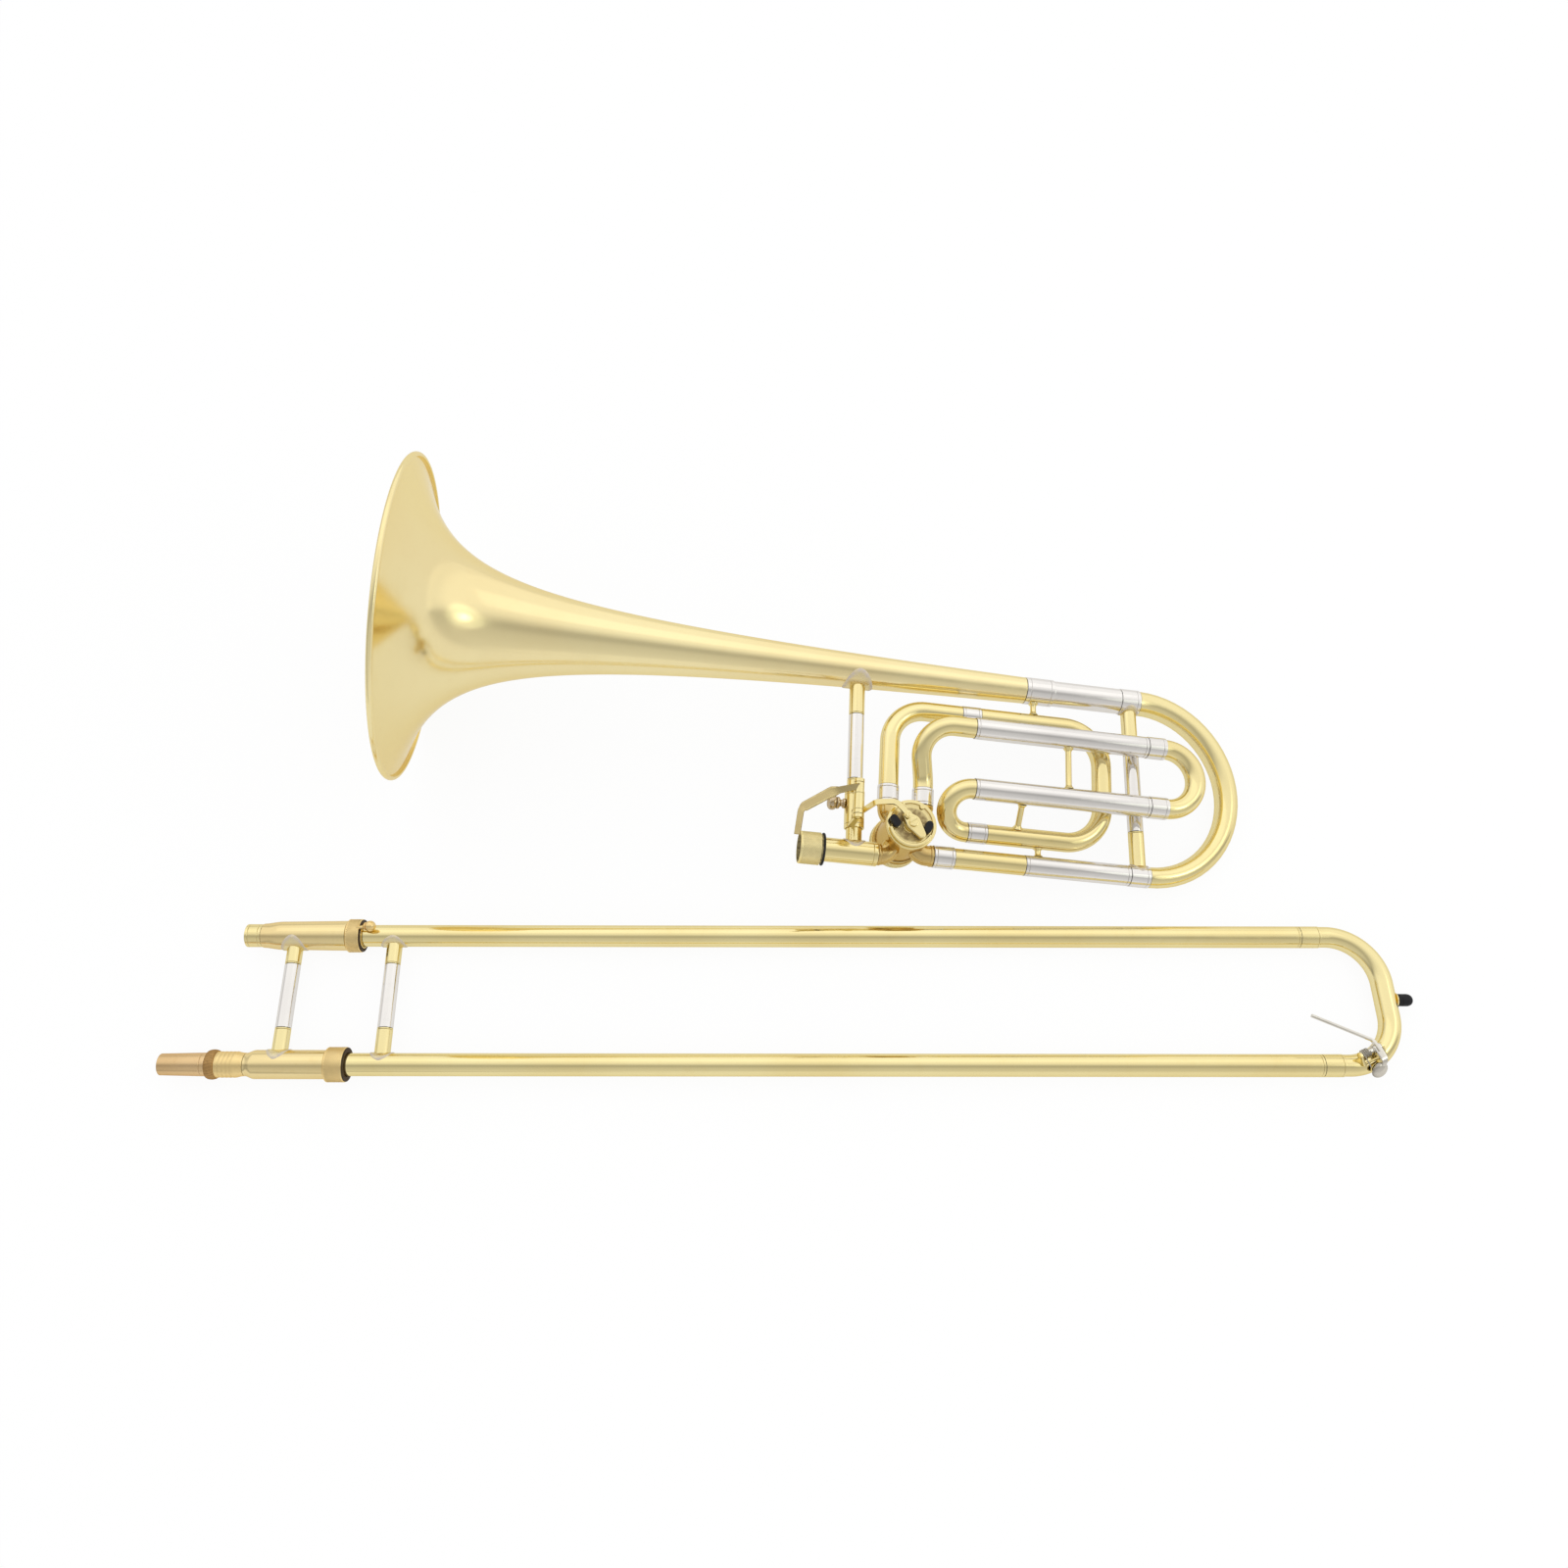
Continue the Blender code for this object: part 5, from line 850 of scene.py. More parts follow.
def new_group(name, inputs, outputs):
    """An empty shader group with sockets given as (name, kind, default)."""
    group = bpy.data.node_groups.new(name, "ShaderNodeTree")
    for label, kind, default in inputs:
        socket = group.interface.new_socket(label, in_out="INPUT", socket_type="NodeSocket" + kind)
        if default is not None:
            socket.default_value = default
    for label, kind in outputs:
        group.interface.new_socket(label, in_out="OUTPUT", socket_type="NodeSocket" + kind)
    return group, group.nodes.new("NodeGroupInput").outputs, group.nodes.new("NodeGroupOutput")


def metal_tone_group():
    """Metal whose colour drifts slowly between a clean and a deeper tone, with small flecks."""
    group, given, put = new_group(
        "Metal tone",
        [("Place", "Vector", None), ("Clean", "Color", (1, 1, 1, 1)), ("Deep", "Color", (0, 0, 0, 1)),
         ("Amount", "Float", 0.5)],
        [("Color", "Color")],
    )
    drift = ramp(group, noise(group, given["Place"], 9.0, 4.0), 0.35, 0.70)
    fleck = ramp(group, noise(group, given["Place"], 160.0, 5.0), 0.52, 0.80)
    share = math_node(group, "ADD", drift, math_node(group, "MULTIPLY", fleck, 0.35))
    share = math_node(group, "MULTIPLY", share, given["Amount"], True)
    group.links.new(mixed(group, share, given["Clean"], given["Deep"]), put.inputs["Color"])
    return group


def hand_polish_group():
    """Fine polishing lines both along and round a piece, and the smudges of handling."""
    group, given, put = new_group(
        "Hand polish",
        [("Place", "Vector", None), ("Roughness", "Float", 0.15), ("Smudge", "Float", 0.3)],
        [("Roughness", "Float"), ("Height", "Float")],
    )
    place = given["Place"]
    along = noise(group, place, 1.0, 2.0, (26.0, 1500.0, 1500.0))
    around = noise(group, place, 1.0, 2.0, (1800.0, 40.0, 40.0))
    lines = math_node(group, "MULTIPLY", math_node(group, "ADD", along, around), 0.5)
    smudge = ramp(group, noise(group, place, 42.0, 5.0), 0.45, 0.75)
    print_marks = ramp(group, noise(group, place, 300.0, 3.0), 0.5, 0.8)
    dulled = math_node(group, "ADD", smudge, math_node(group, "MULTIPLY", print_marks, 0.4))
    dulled = math_node(group, "MULTIPLY", dulled, math_node(group, "MULTIPLY", given["Smudge"], 0.3))
    scratched = math_node(group, "MULTIPLY", math_node(group, "SUBTRACT", lines, 0.5), 0.12)
    rough = math_node(group, "ADD", given["Roughness"], math_node(group, "ADD", dulled, scratched))
    group.links.new(rough, put.inputs["Roughness"])
    waves = math_node(group, "MULTIPLY", noise(group, place, 22.0, 1.0), 6.0)
    group.links.new(math_node(group, "ADD", waves, lines), put.inputs["Height"])
    return group


def rubbed_edges_group():
    """Edges rubbed bright, and grooves and hollows darkened by dirt and painted shade, from a piece's values
    for both.
    """
    group, given, put = new_group(
        "Rubbed edges",
        [("Place", "Vector", None), ("Color", "Color", (1, 1, 1, 1)), ("Wear", "Float", 0.0),
         ("Soil", "Float", 0.0), ("Rubbed", "Color", (1, 1, 1, 1)), ("Dirt and shade color", "Color", (0, 0, 0, 1)),
         ("Wear Amount", "Float", 0.4), ("Dirt and shade amount", "Float", 0.8)],
        [("Color", "Color"), ("Darkened", "Float")],
    )
    broken = ramp(group, noise(group, given["Place"], 420.0, 4.0), 0.35, 0.65)
    worn = math_node(group, "MULTIPLY", given["Wear"], broken)
    worn = math_node(group, "MULTIPLY", worn, given["Wear Amount"])
    patchy = math_node(group, "ADD", math_node(group, "MULTIPLY", broken, 0.4), 0.6)
    darkened = math_node(group, "MULTIPLY", given["Soil"], patchy)
    darkened = math_node(group, "MULTIPLY", darkened, given["Dirt and shade amount"])
    colour = mixed(group, worn, given["Color"], given["Rubbed"])
    group.links.new(mixed(group, darkened, colour, given["Dirt and shade color"]), put.inputs["Color"])
    group.links.new(darkened, put.inputs["Darkened"])
    return group


EFFECTS = {
    "Metal tone": metal_tone_group, "Hand polish": hand_polish_group, "Rubbed edges": rubbed_edges_group
}


def effect(tree, name, inputs):
    """A shared effect, made once, placed in a material with its own values."""
    group = bpy.data.node_groups.get(name) or EFFECTS[name]()
    return add_node(tree, "ShaderNodeGroup", inputs, node_tree=group).outputs


def tint(colour):
    """A shader's colour, from three numbers or the name of a setting."""
    return (*(getattr(finishes(), colour) if isinstance(colour, str) else colour), 1)


def new_material(name):
    """A new material, its nodes, its shader, and the place of each point on the piece."""
    made = bpy.data.materials.new(name)
    made.use_nodes = True
    tree = made.node_tree
    place = add_node(tree, "ShaderNodeTexCoord").outputs["Object"]
    return made, tree, tree.nodes["Principled BSDF"], place


def rubbing_of(tree, place, colour, rubbed, soil):
    """A colour with its edges rubbed, and its grooves and hollows darkened by dirt and painted shade, where
    the mesh is marked so.
    """
    wear = add_node(tree, "ShaderNodeAttribute", attribute_name="wear").outputs["Fac"]
    darkening = add_node(tree, "ShaderNodeAttribute", attribute_name="soil").outputs["Fac"]
    return effect(
        tree, "Rubbed edges",
        {"Place": place, "Color": colour, "Wear": wear, "Soil": darkening, "Rubbed": rubbed,
         "Dirt and shade color": soil, "Wear Amount": finishes().wear, "Dirt and shade amount": finishes().grime_and_shade},
    )


Metal = collections.namedtuple(
    "Metal", "clean deep rubbed roughness amount coat soil bump", defaults=(0.0, "soil", 0.00002)
)

# The tone where it is clean, where it is deeper and where it is rubbed, the roughness, the share of
# the deeper tone, the coat of lacquer, the colour of dirt and painted shade, and the height of the polishing
# lines
METALS = {
    "lacquered_brass": Metal("brass", "brass_deep", RUBBED_BRASS, 0.10, 0.55, 0.15),
    # The bell's thin sheet, with a livelier surface than the tubes
    "bell_brass": Metal((0.93, 0.80, 0.44), (0.88, 0.70, 0.35), "brass", 0.15, 0.45, 0.15, bump=0.00004),
    # Brass where a knurl scatters the light
    "knurled_brass": Metal((0.97, 0.84, 0.44), (0.88, 0.73, 0.36), "brass", 0.28, 0.7),
    # Knurled brass, tanned by the hands that hold it
    "collar_brass": Metal((0.91, 0.69, 0.32), (0.80, 0.57, 0.24), "brass", 0.28, 0.7),
    # The barrels at the slide's grip, a little redder than the tubes
    "barrel_brass": Metal((0.88, 0.71, 0.36), (0.76, 0.56, 0.24), "brass", 0.10, 0.7, 0.15),
    # The valve's casing, in a deeper brass than the tubes
    "casing_brass": Metal((0.80, 0.62, 0.27), (0.56, 0.38, 0.14), "brass", 0.16, 0.8),
    # The valve's front, painted darker brown round its spindle and in its recess's outer corner: painted
    # shade under the stop arm
    "brass_painted_shade_under_arm": Metal("brass", "brass_deep", RUBBED_BRASS, 0.14, 0.55, 0.0, (0.14, 0.065, 0.020)),
    # The thumb lever's paddle, dulled by the thumb that presses it
    "thumbed_brass": Metal((0.54, 0.43, 0.21), (0.42, 0.30, 0.13), "brass", 0.22, 0.7),
    # The rest knob's brass: its dark brown is a painted dark reflection, and its near-white rubbed edges are
    # painted glints
    "brass_painted_dark_reflection": Metal((0.66, 0.54, 0.36), (0.30, 0.19, 0.10), (0.95, 0.90, 0.78), 0.07, 0.8),
    # The braces' saddles, which a line of dull lilac-grey solder frames
    "soldered_brass": Metal("brass", "brass_deep", RUBBED_BRASS, 0.16, 0.6, 0.0, (0.52, 0.47, 0.49)),
    "nickel_silver": Metal("nickel", "nickel_deep", (0.86, 0.84, 0.82), 0.07, 0.6),
    # The bright plate of the water key
    "plated_key": Metal((0.84, 0.81, 0.74), (0.50, 0.45, 0.36), "nickel", 0.08, 0.7),
    "spring_steel": Metal((0.50, 0.47, 0.40), (0.30, 0.27, 0.22), "nickel", 0.28, 0.8),
    "rose_brass": Metal("rose", "rose_deep", (0.82, 0.60, 0.38), 0.22, 0.6),
    # The tenon's ring, browned by the hand that turns the nut against it
    "handled_rose_brass": Metal((0.56, 0.33, 0.12), (0.42, 0.22, 0.07), "rose", 0.26, 0.5),
}

# The colour of soft padding, and of the bloom on it
PADDINGS = {
    "black_rubber": ("rubber", (0.020, 0.019, 0.020)),
    # Cork inside the slide's collars, coloured near black as painted shade in the collars' mouths
    "cork_painted_shade": ((0.045, 0.025, 0.010), (0.085, 0.048, 0.018)),
}


def metal(name):
    """A polished metal with a drifting tone, polishing lines, smudges, rubbed edges, and grooves darkened by
    dirt and painted shade.
    """
    kind = METALS[name]
    clean = tint(kind.clean)
    made, tree, shader, place = new_material(name)
    tone = effect(
        tree, "Metal tone",
        {"Place": place, "Clean": clean, "Deep": tint(kind.deep), "Amount": kind.amount},
    )
    rubbing = rubbing_of(tree, place, tone["Color"], tint(kind.rubbed), tint(kind.soil))
    polish = effect(
        tree, "Hand polish", {"Place": place, "Roughness": kind.roughness, "Smudge": finishes().smudge}
    )
    # Where dirt and painted shade darken the metal, it is also rougher and less metallic
    dulled = math_node(tree, "MULTIPLY", rubbing["Darkened"], 0.5)
    covered = math_node(tree, "MULTIPLY", rubbing["Darkened"], 0.8)
    raised = add_node(
        tree, "ShaderNodeBump", {"Height": polish["Height"], "Strength": 0.35, "Distance": kind.bump}
    )
    for socket, value in (
        ("Base Color", rubbing["Color"]),
        ("Roughness", math_node(tree, "ADD", polish["Roughness"], dulled, True)),
        ("Metallic", math_node(tree, "SUBTRACT", 1.0, covered, True)),
        ("Normal", raised.outputs["Normal"]),
    ):
        tree.links.new(value, shader.inputs[socket])
    # Seen edge on, a metal keeps some of its own colour
    shader.inputs["Specular Tint"].default_value = (*(0.30 + 0.70 * value for value in clean[:3]), 1)
    shader.inputs["Coat Weight"].default_value = kind.coat
    shader.inputs["Coat Roughness"].default_value = 0.06
    return made


def padding(name):
    """Soft padding with fine pits, patches of bloom and rubbed, paler edges."""
    plain, bloomed = PADDINGS[name]
    made, tree, shader, place = new_material(name)
    bloom = ramp(tree, noise(tree, place, 240.0, 4.0), 0.40, 0.75)
    colour = mixed(tree, bloom, tint(plain), tint(bloomed))
    rubbing = rubbing_of(tree, place, colour, (0.05, 0.05, 0.05, 1), tint("soil"))
    pits = noise(tree, place, 2600.0, 4.0)
    raised = add_node(tree, "ShaderNodeBump", {"Height": pits, "Strength": 0.5, "Distance": 0.0001})
    rough = math_node(tree, "ADD", 0.50, math_node(tree, "MULTIPLY", bloom, 0.3))
    shader.inputs["Specular IOR Level"].default_value = 0.2
    tree.links.new(rubbing["Color"], shader.inputs["Base Color"])
    tree.links.new(rough, shader.inputs["Roughness"])
    tree.links.new(raised.outputs["Normal"], shader.inputs["Normal"])
    return made


def material_named(name):
    """The metal or padding of a name, made when it is first asked for."""
    return bpy.data.materials.get(name) or (metal if name in METALS else padding)(name)


# Reliefs cut into turned bands

def knurl(radius):
    """A cross knurl for a band of some radius."""
    pitch, depth = sizes().knurl_pitch, sizes().knurl_depth
    teeth = round(2 * math.pi * radius / pitch / 1.4)

    def relief(angle, place):
        around, along = teeth * angle / 2, math.pi * place / pitch
        height = abs(math.sin(around + along)) * abs(math.sin(around - along))
        # The second value darkens the knurl's hollows: painted shade, and dirt
        return depth * (1 - height) ** 2, (1 - height) ** 6

    return relief, 6 * teeth


def rope(start, length, strands=30):
    """A rounded ring of twisted strands."""
    half = length / 2

    def relief(angle, place):
        share = (place - start - half) / half
        twist = abs(math.sin(strands * angle / 2 + 1.1 * share))
        rounding = 0.0012 * (1 - math.sqrt(max(0.0, 1 - share * share)))
        # The second value darkens the whole ring a little and the hollows between the strands more: painted
        # shade, and dirt
        return rounding + 0.00020 * (1 - twist), 0.35 + 0.5 * (1 - twist) ** 4

    return relief


def thread():
    """A screw thread."""
    pitch, depth = sizes().thread_pitch, sizes().thread_depth

    def relief(angle, place):
        phase = (place / pitch + angle / (2 * math.pi)) % 1
        height = abs(2 * phase - 1)
        # The second value darkens the thread's roots: painted shade, and dirt
        return depth * (1 - min(1.0, 1.4 * height)), 0.25 * (1 - min(1.0, 1.2 * height)) ** 2

    return relief


# Bell section

def bell_outer_radius(x):
    """Outer radius of the bell at a distance from its rim."""
    size = sizes()
    share = (1 + x / FLARE_SPREAD) ** -FLARE_POWER
    last = (1 + size.bell_length / FLARE_SPREAD) ** -FLARE_POWER
    mouth = size.bell_radius - size.rim_bead_radius
    return size.bell_tail_radius + (mouth - size.bell_tail_radius) * (share - last) / (1 - last)


def build_bell():
    """The flared bell in one sheet, with its rolled rim."""
    size = sizes()
    mouth = size.bell_radius - size.rim_bead_radius
    bead = []
    for angle in range(200, -21, -20):
        place, rise = polar(angle, size.rim_bead_radius)
        bead.append(Stop(place, mouth + rise, 0.7))
    count = size.bell_rings
    places = [size.bell_length * (i / count) ** FLARE_CROWDING for i in range(1, count + 1)]
    outside = [(x, bell_outer_radius(x)) for x in places]
    inside = [(x, bell_outer_radius(x) - size.bell_wall) for x in reversed(places)]
    work = Workpiece().turn(bead + outside + inside, sides=size.bell_sides)
    work.finish("bell_shell", "bell_section", "bell_brass", ["bell"])


def build_brace(name, body, x, top, bottom, radius, span, lean, pads):
    """A brace between two tubes: a brass core with collars, a nickel sleeve, and its soldered pads.

    top and bottom give each tube's y and radius, and pads the length and reach of the pad on each.
    """
    high, low = span
    line, pivot = (x, 0, 0), (x, top[0], 0)
    core = [
        (bottom[0] + bottom[1] - BRACE_SINK, radius), (low - BRACE_COLLAR_LENGTH, radius),
        *groove(low - BRACE_LINE_INSET, radius), (low - GAP, radius),
        (low - GAP, BRACE_CORE_RADIUS), (high + GAP, BRACE_CORE_RADIUS),
        (high + GAP, radius), *groove(high + BRACE_LINE_INSET, radius),
        (high + BRACE_COLLAR_LENGTH, radius), (top[0] - top[1] + BRACE_SINK, radius),
    ]
    stem = Workpiece().turn(core, "Y", line, False).leaned(pivot, lean)
    stem.finish(name + "_stem", body, "lacquered_brass", [name + "_core"])
    saddles = Workpiece()
    for (y, tube_radius), side, (length, reach) in zip((top, bottom), (-1, 1), pads):
        shift = math.sin(math.radians(lean)) * (top[0] - y)
        saddles.saddle(x + shift, y, tube_radius, side, length, math.radians(reach))
    saddles.finish(name + "_saddles", body, "soldered_brass")
    bore = BRACE_CORE_RADIUS + GAP
    sleeve = [(low, radius), (high, radius), (high, bore), (low, bore)]
    grip = Workpiece().turn(sleeve, "Y", line).leaned(pivot, lean)
    grip.finish(name + "_grip", body, "nickel_silver", [name + "_sleeve"])


def build_braces():
    """The bell's hand brace, the tuning slide's brace, and the hand slide's two braces."""
    size = sizes()
    build_brace(
        "bell_brace", "bell_section", BELL_BRACE_AT,
        (0.0, bell_outer_radius(BELL_BRACE_AT - BELL_BRACE_SEAT)), (RECEIVER_Y, RECEIVER_RADIUS),
        BRACE_RADIUS, BELL_BRACE_SPAN, BELL_BRACE_LEAN, BELL_BRACE_PADS,
    )
    build_brace(
        "main_brace", "main_tuning_slide", MAIN_BRACE_AT, (0.0, UPPER_SLEEVE_RADIUS + GAP),
        (-size.leg_spacing, LOWER_SLEEVE_RADIUS + GAP), BRACE_RADIUS, MAIN_BRACE_SPAN,
        MAIN_BRACE_LEAN, MAIN_BRACE_PADS,
    )
    half = size.slide_spacing / 2
    for name, body, x, top, bottom in (
        ("inner_brace", "inner_slide", INNER_BRACE_X, upper_barrel_radius(INNER_BRACE_X), BARREL_RADIUS),
        ("outer_brace", "outer_slide", OUTER_BRACE_X, OUTER_TUBE_RADIUS, OUTER_TUBE_RADIUS),
    ):
        build_brace(
            name, body, x, (half, top), (-half, bottom), SLIDE_BRACE_RADIUS, SLIDE_BRACE_SPAN,
            SLIDE_BRACE_LEAN, SLIDE_BRACE_PADS,
        )


def build_fixed_tubes():
    """The tuning slide's outer sleeves, and the neck that leads to the lower one."""
    size = sizes()
    start = size.bell_length + GAP
    ferrule_end = start + BELL_FERRULE_LENGTH
    bore = UPPER_SLEEVE_RADIUS - size.sleeve_wall
    profile = [
        *lined(start, ferrule_end, BELL_FERRULE_RADIUS, 0.0030, -0.0026),
        (ferrule_end, UPPER_SLEEVE_RADIUS), (UPPER_SLEEVE_END, UPPER_SLEEVE_RADIUS),
        (UPPER_SLEEVE_END, bore), (start, bore),
    ]
    Workpiece().turn(profile).finish(
        "upper_sleeve_tube", "bell_section", "nickel_silver", ["upper_sleeve"]
    )
    bore = NECK_RADIUS - size.tube_wall
    for name, span, radii, lines, material, node in (
        ("lower_sleeve_tube", (LOWER_SLEEVE_START, UPPER_SLEEVE_END + LOWER_LEG_EXTRA),
         (LOWER_SLEEVE_RADIUS, LOWER_SLEEVE_RADIUS - size.sleeve_wall), (0.0022, -0.0020),
         "nickel_silver", "lower_sleeve"),
        ("neck_pipe", (NECK_FERRULE_END + GAP, LOWER_SLEEVE_START - GAP), (NECK_RADIUS, bore), (),
         "lacquered_brass", "neck_tube"),
        ("neck_ferrule_ring", (NECK_FERRULE_START, NECK_FERRULE_END), (NECK_FERRULE_RADIUS, bore),
         (0.0020, -0.0020), "nickel_silver", "neck_ferrule"),
    ):
        Workpiece().tube(*span, *radii, -size.leg_spacing, 0.0, lines).finish(
            name, "bell_section", material, [node]
        )


def build_leg(node, body, line, sleeve_radius, sleeve_end, insert, ferrule_end):
    """A tuning slide's leg: an inner tube in its sleeve, and the ferrule that joins it to the crook."""
    wall = sizes().sleeve_wall
    leg = sleeve_radius - wall - SLIDING_GAP
    start, seat = sleeve_end - insert, sleeve_end + GAP
    profile = [
        (start, leg), (seat, leg), *lined(seat, ferrule_end, sleeve_radius + GAP, -0.0024),
        (ferrule_end, leg - wall), (start, leg - wall),
    ]
    Workpiece().turn(profile, "X", (0, *line)).finish(node + "_tube", body, "nickel_silver", [node])


def build_main_slide():
    """The main tuning slide's two legs, and the tapered crook between them."""
    size = sizes()
    body = "main_tuning_slide"
    for side, y, radius, extra in (
        ("upper", 0.0, UPPER_SLEEVE_RADIUS, 0.0),
        ("lower", -size.leg_spacing, LOWER_SLEEVE_RADIUS, LOWER_LEG_EXTRA),
    ):
        build_leg(
            f"main_slide_{side}_leg", body, (y, 0.0), radius, UPPER_SLEEVE_END + extra,
            MAIN_LEG_INSERT, CROOK_START + extra - GAP,
        )
    upper = Vector((CROOK_START, 0, 0))
    lower = Vector((CROOK_START + LOWER_LEG_EXTRA, -size.leg_spacing, 0))
    points = half_turn(upper, lower, FORWARD, CROOK_DEPTH)
    last = len(points) - 1
    taper = CROOK_LOWER_RADIUS - CROOK_UPPER_RADIUS
    outer = [CROOK_UPPER_RADIUS + taper * i / last for i in range(last + 1)]
    Workpiece().sweep(points, outer, [radius - size.tube_wall for radius in outer]).finish(
        "main_crook_tube", body, "lacquered_brass", ["main_slide_crook"]
    )


def build_receiver():
    """The receiver for the hand slide's tenon, and its knurled nut. Its bores, the nut's dark line and a
    black ring at the nut's end are painted shade.
    """
    line = (0, RECEIVER_Y, 0)
    flange_end = RECEIVER_START + RECEIVER_FLANGE_WIDTH
    pipe = [
        (RECEIVER_START, RECEIVER_FLANGE_RADIUS), (flange_end, RECEIVER_FLANGE_RADIUS),
        *lined(flange_end, RECEIVER_END, RECEIVER_RADIUS, -0.0030),
        # The bores are painted dark: shade inside the tube
        Stop(RECEIVER_END, SLIDE_BORE, 0, 1), Stop(RECEIVER_START, RECEIVER_BORE, 0, 1),
    ]
    Workpiece().turn(pipe, "X", line).finish(
        "receiver_pipe", "bell_section", "lacquered_brass", ["receiver_tube"]
    )
    lip = flange_end + SLIDING_GAP
    bore = RECEIVER_RADIUS + SLIDING_GAP
    waist = NUT_RADIUS - 0.0012
    relief, sides = knurl(NUT_RADIUS)
    nut = [
        (NUT_START, NUT_RADIUS - 0.0004), (NUT_START + 0.0005, NUT_RADIUS),
        *knurled_band(NUT_START + 0.0010, NUT_END - 0.0026, NUT_RADIUS),
        # The dark line near the nut's end, its mouth and its inner thread: painted shade
        Stop(NUT_END - 0.0024, waist, 0, 1), Stop(NUT_END - 0.0012, waist, 0, 1),
        (NUT_END - 0.0010, NUT_RADIUS), (NUT_END, NUT_RADIUS - 0.0004),
        Stop(NUT_END - 0.0006, waist, 0, 1), Stop(NUT_END - 0.0006, bore, 0, 1),
        (lip, bore), Stop(lip, NUT_THREAD_RADIUS, 0, 1), Stop(NUT_START, NUT_THREAD_RADIUS, 0, 1),
    ]
    Workpiece().turn(nut, "X", line, sides=sides, relief=relief).finish(
        "receiver_nut_knurled", "receiver_nut", "knurled_brass", ["receiver_nut"]
    )
    outer = NUT_RADIUS + 0.0001
    back, front = NUT_END - 0.0013, NUT_END + 0.0001
    # A black ring at the nut's end: painted shade in the gap between the nut and the receiver
    shade_ring = [
        (back, outer - 0.0004), (NUT_END - 0.0010, outer), (NUT_END - 0.0003, outer),
        (front, outer - 0.0004), (front, RECEIVER_RADIUS + 0.0012), (NUT_END - 0.0012, bore), (back, bore),
    ]
    Workpiece().turn(shade_ring, "X", line).finish("receiver_nut_shade_ring", "receiver_nut", "black_rubber")


# Rotary valve

def port_routes():
    """The centre line of each of the casing's four ports, from the rotor outwards."""
    inside = ROTOR_RADIUS * math.sqrt(0.5) / 2
    routes = []
    for side, end, line in (
        (-1, RECEIVER_END + GAP - VALVE.x, RECEIVER_Y - VALVE.y),
        (1, NECK_FERRULE_START - GAP - VALVE.x, -sizes().leg_spacing - VALVE.y),
    ):
        across = side * PORT_OFFSET
        routes.append([(side * inside, -inside, 0), (side * -line * 0.72, line, 0), (end, line, 0)])
        routes.append(
            [(side * inside, inside, 0), (across, PORT_OFFSET * 1.02, 0),
             (across, CASING_RADIUS + PORT_STAND, 0)]
        )
    return [[VALVE + point for point in rounded_route(route, [PORT_BEND], 6)] for route in routes]


def build_valve_casing():
    """The valve's casing with banded ends, and its four knuckles."""
    bore = ROTOR_RADIUS + SLIDING_GAP
    waist = CASING_RIM_RADIUS - 0.0011
    # The groove in each band is painted dark: shade, and dirt
    band = (
        (0.0, CASING_RIM_RADIUS, 0), (0.0030, CASING_RIM_RADIUS, 0), (0.0034, waist, 0.8), (0.0038, waist, 0)
    )
    profile = [Stop(CASING_LOW + inset, radius, 0, soil) for inset, radius, soil in band]
    profile += [Stop(CASING_HIGH - inset, radius, 0, soil) for inset, radius, soil in reversed(band)]
    profile += [(CASING_HIGH, bore), (CASING_LOW, bore)]
    casing = Workpiece().turn(profile, "Z", VALVE, sides=72)
    for route in port_routes():
        casing.sweep(route, PORT_RADIUS)
        end = route[-1]
        way = (end - route[-2]).normalized()
        casing.rod(end - way * 0.0022, end, PORT_RADIUS + 0.0004, 0.06, sizes().tube_sides)
    casing.finish("valve_casing_body", "bell_section", "casing_brass", ["valve_casing"])


def build_back_cap():
    """The knurled cap under the valve, with its boss and centre hole."""
    top = CASING_LOW - GAP
    bottom = top - BACK_CAP_DEPTH
    knurl_end = top - BACK_CAP_KNURL_WIDTH
    radius = BACK_CAP_RADIUS - CASING_SHOULDER
    relief, sides = knurl(radius)
    profile = [
        (bottom, 0.0040), (bottom, BACK_CAP_BOSS_RADIUS - 0.0015),
        (bottom + 0.0015, BACK_CAP_BOSS_RADIUS), *groove(bottom + 0.0045, BACK_CAP_BOSS_RADIUS),
        (knurl_end, BACK_CAP_BOSS_RADIUS), (knurl_end, radius - 0.0004),
        *knurled_band(knurl_end + 0.0006, top - 0.0006, radius),
        (top, radius - 0.0004), (top, 0.0040),
    ]
    cap = Workpiece().turn(profile, "Z", VALVE, sides=sides, relief=relief)
    cap.turn([(bottom + 0.0006, 0.0042), (bottom + 0.0012, 0.0042)], "Z", VALVE, False, 32)
    cap.finish("back_cap_knurled", "bell_section", "knurled_brass", ["valve_back_cap"])


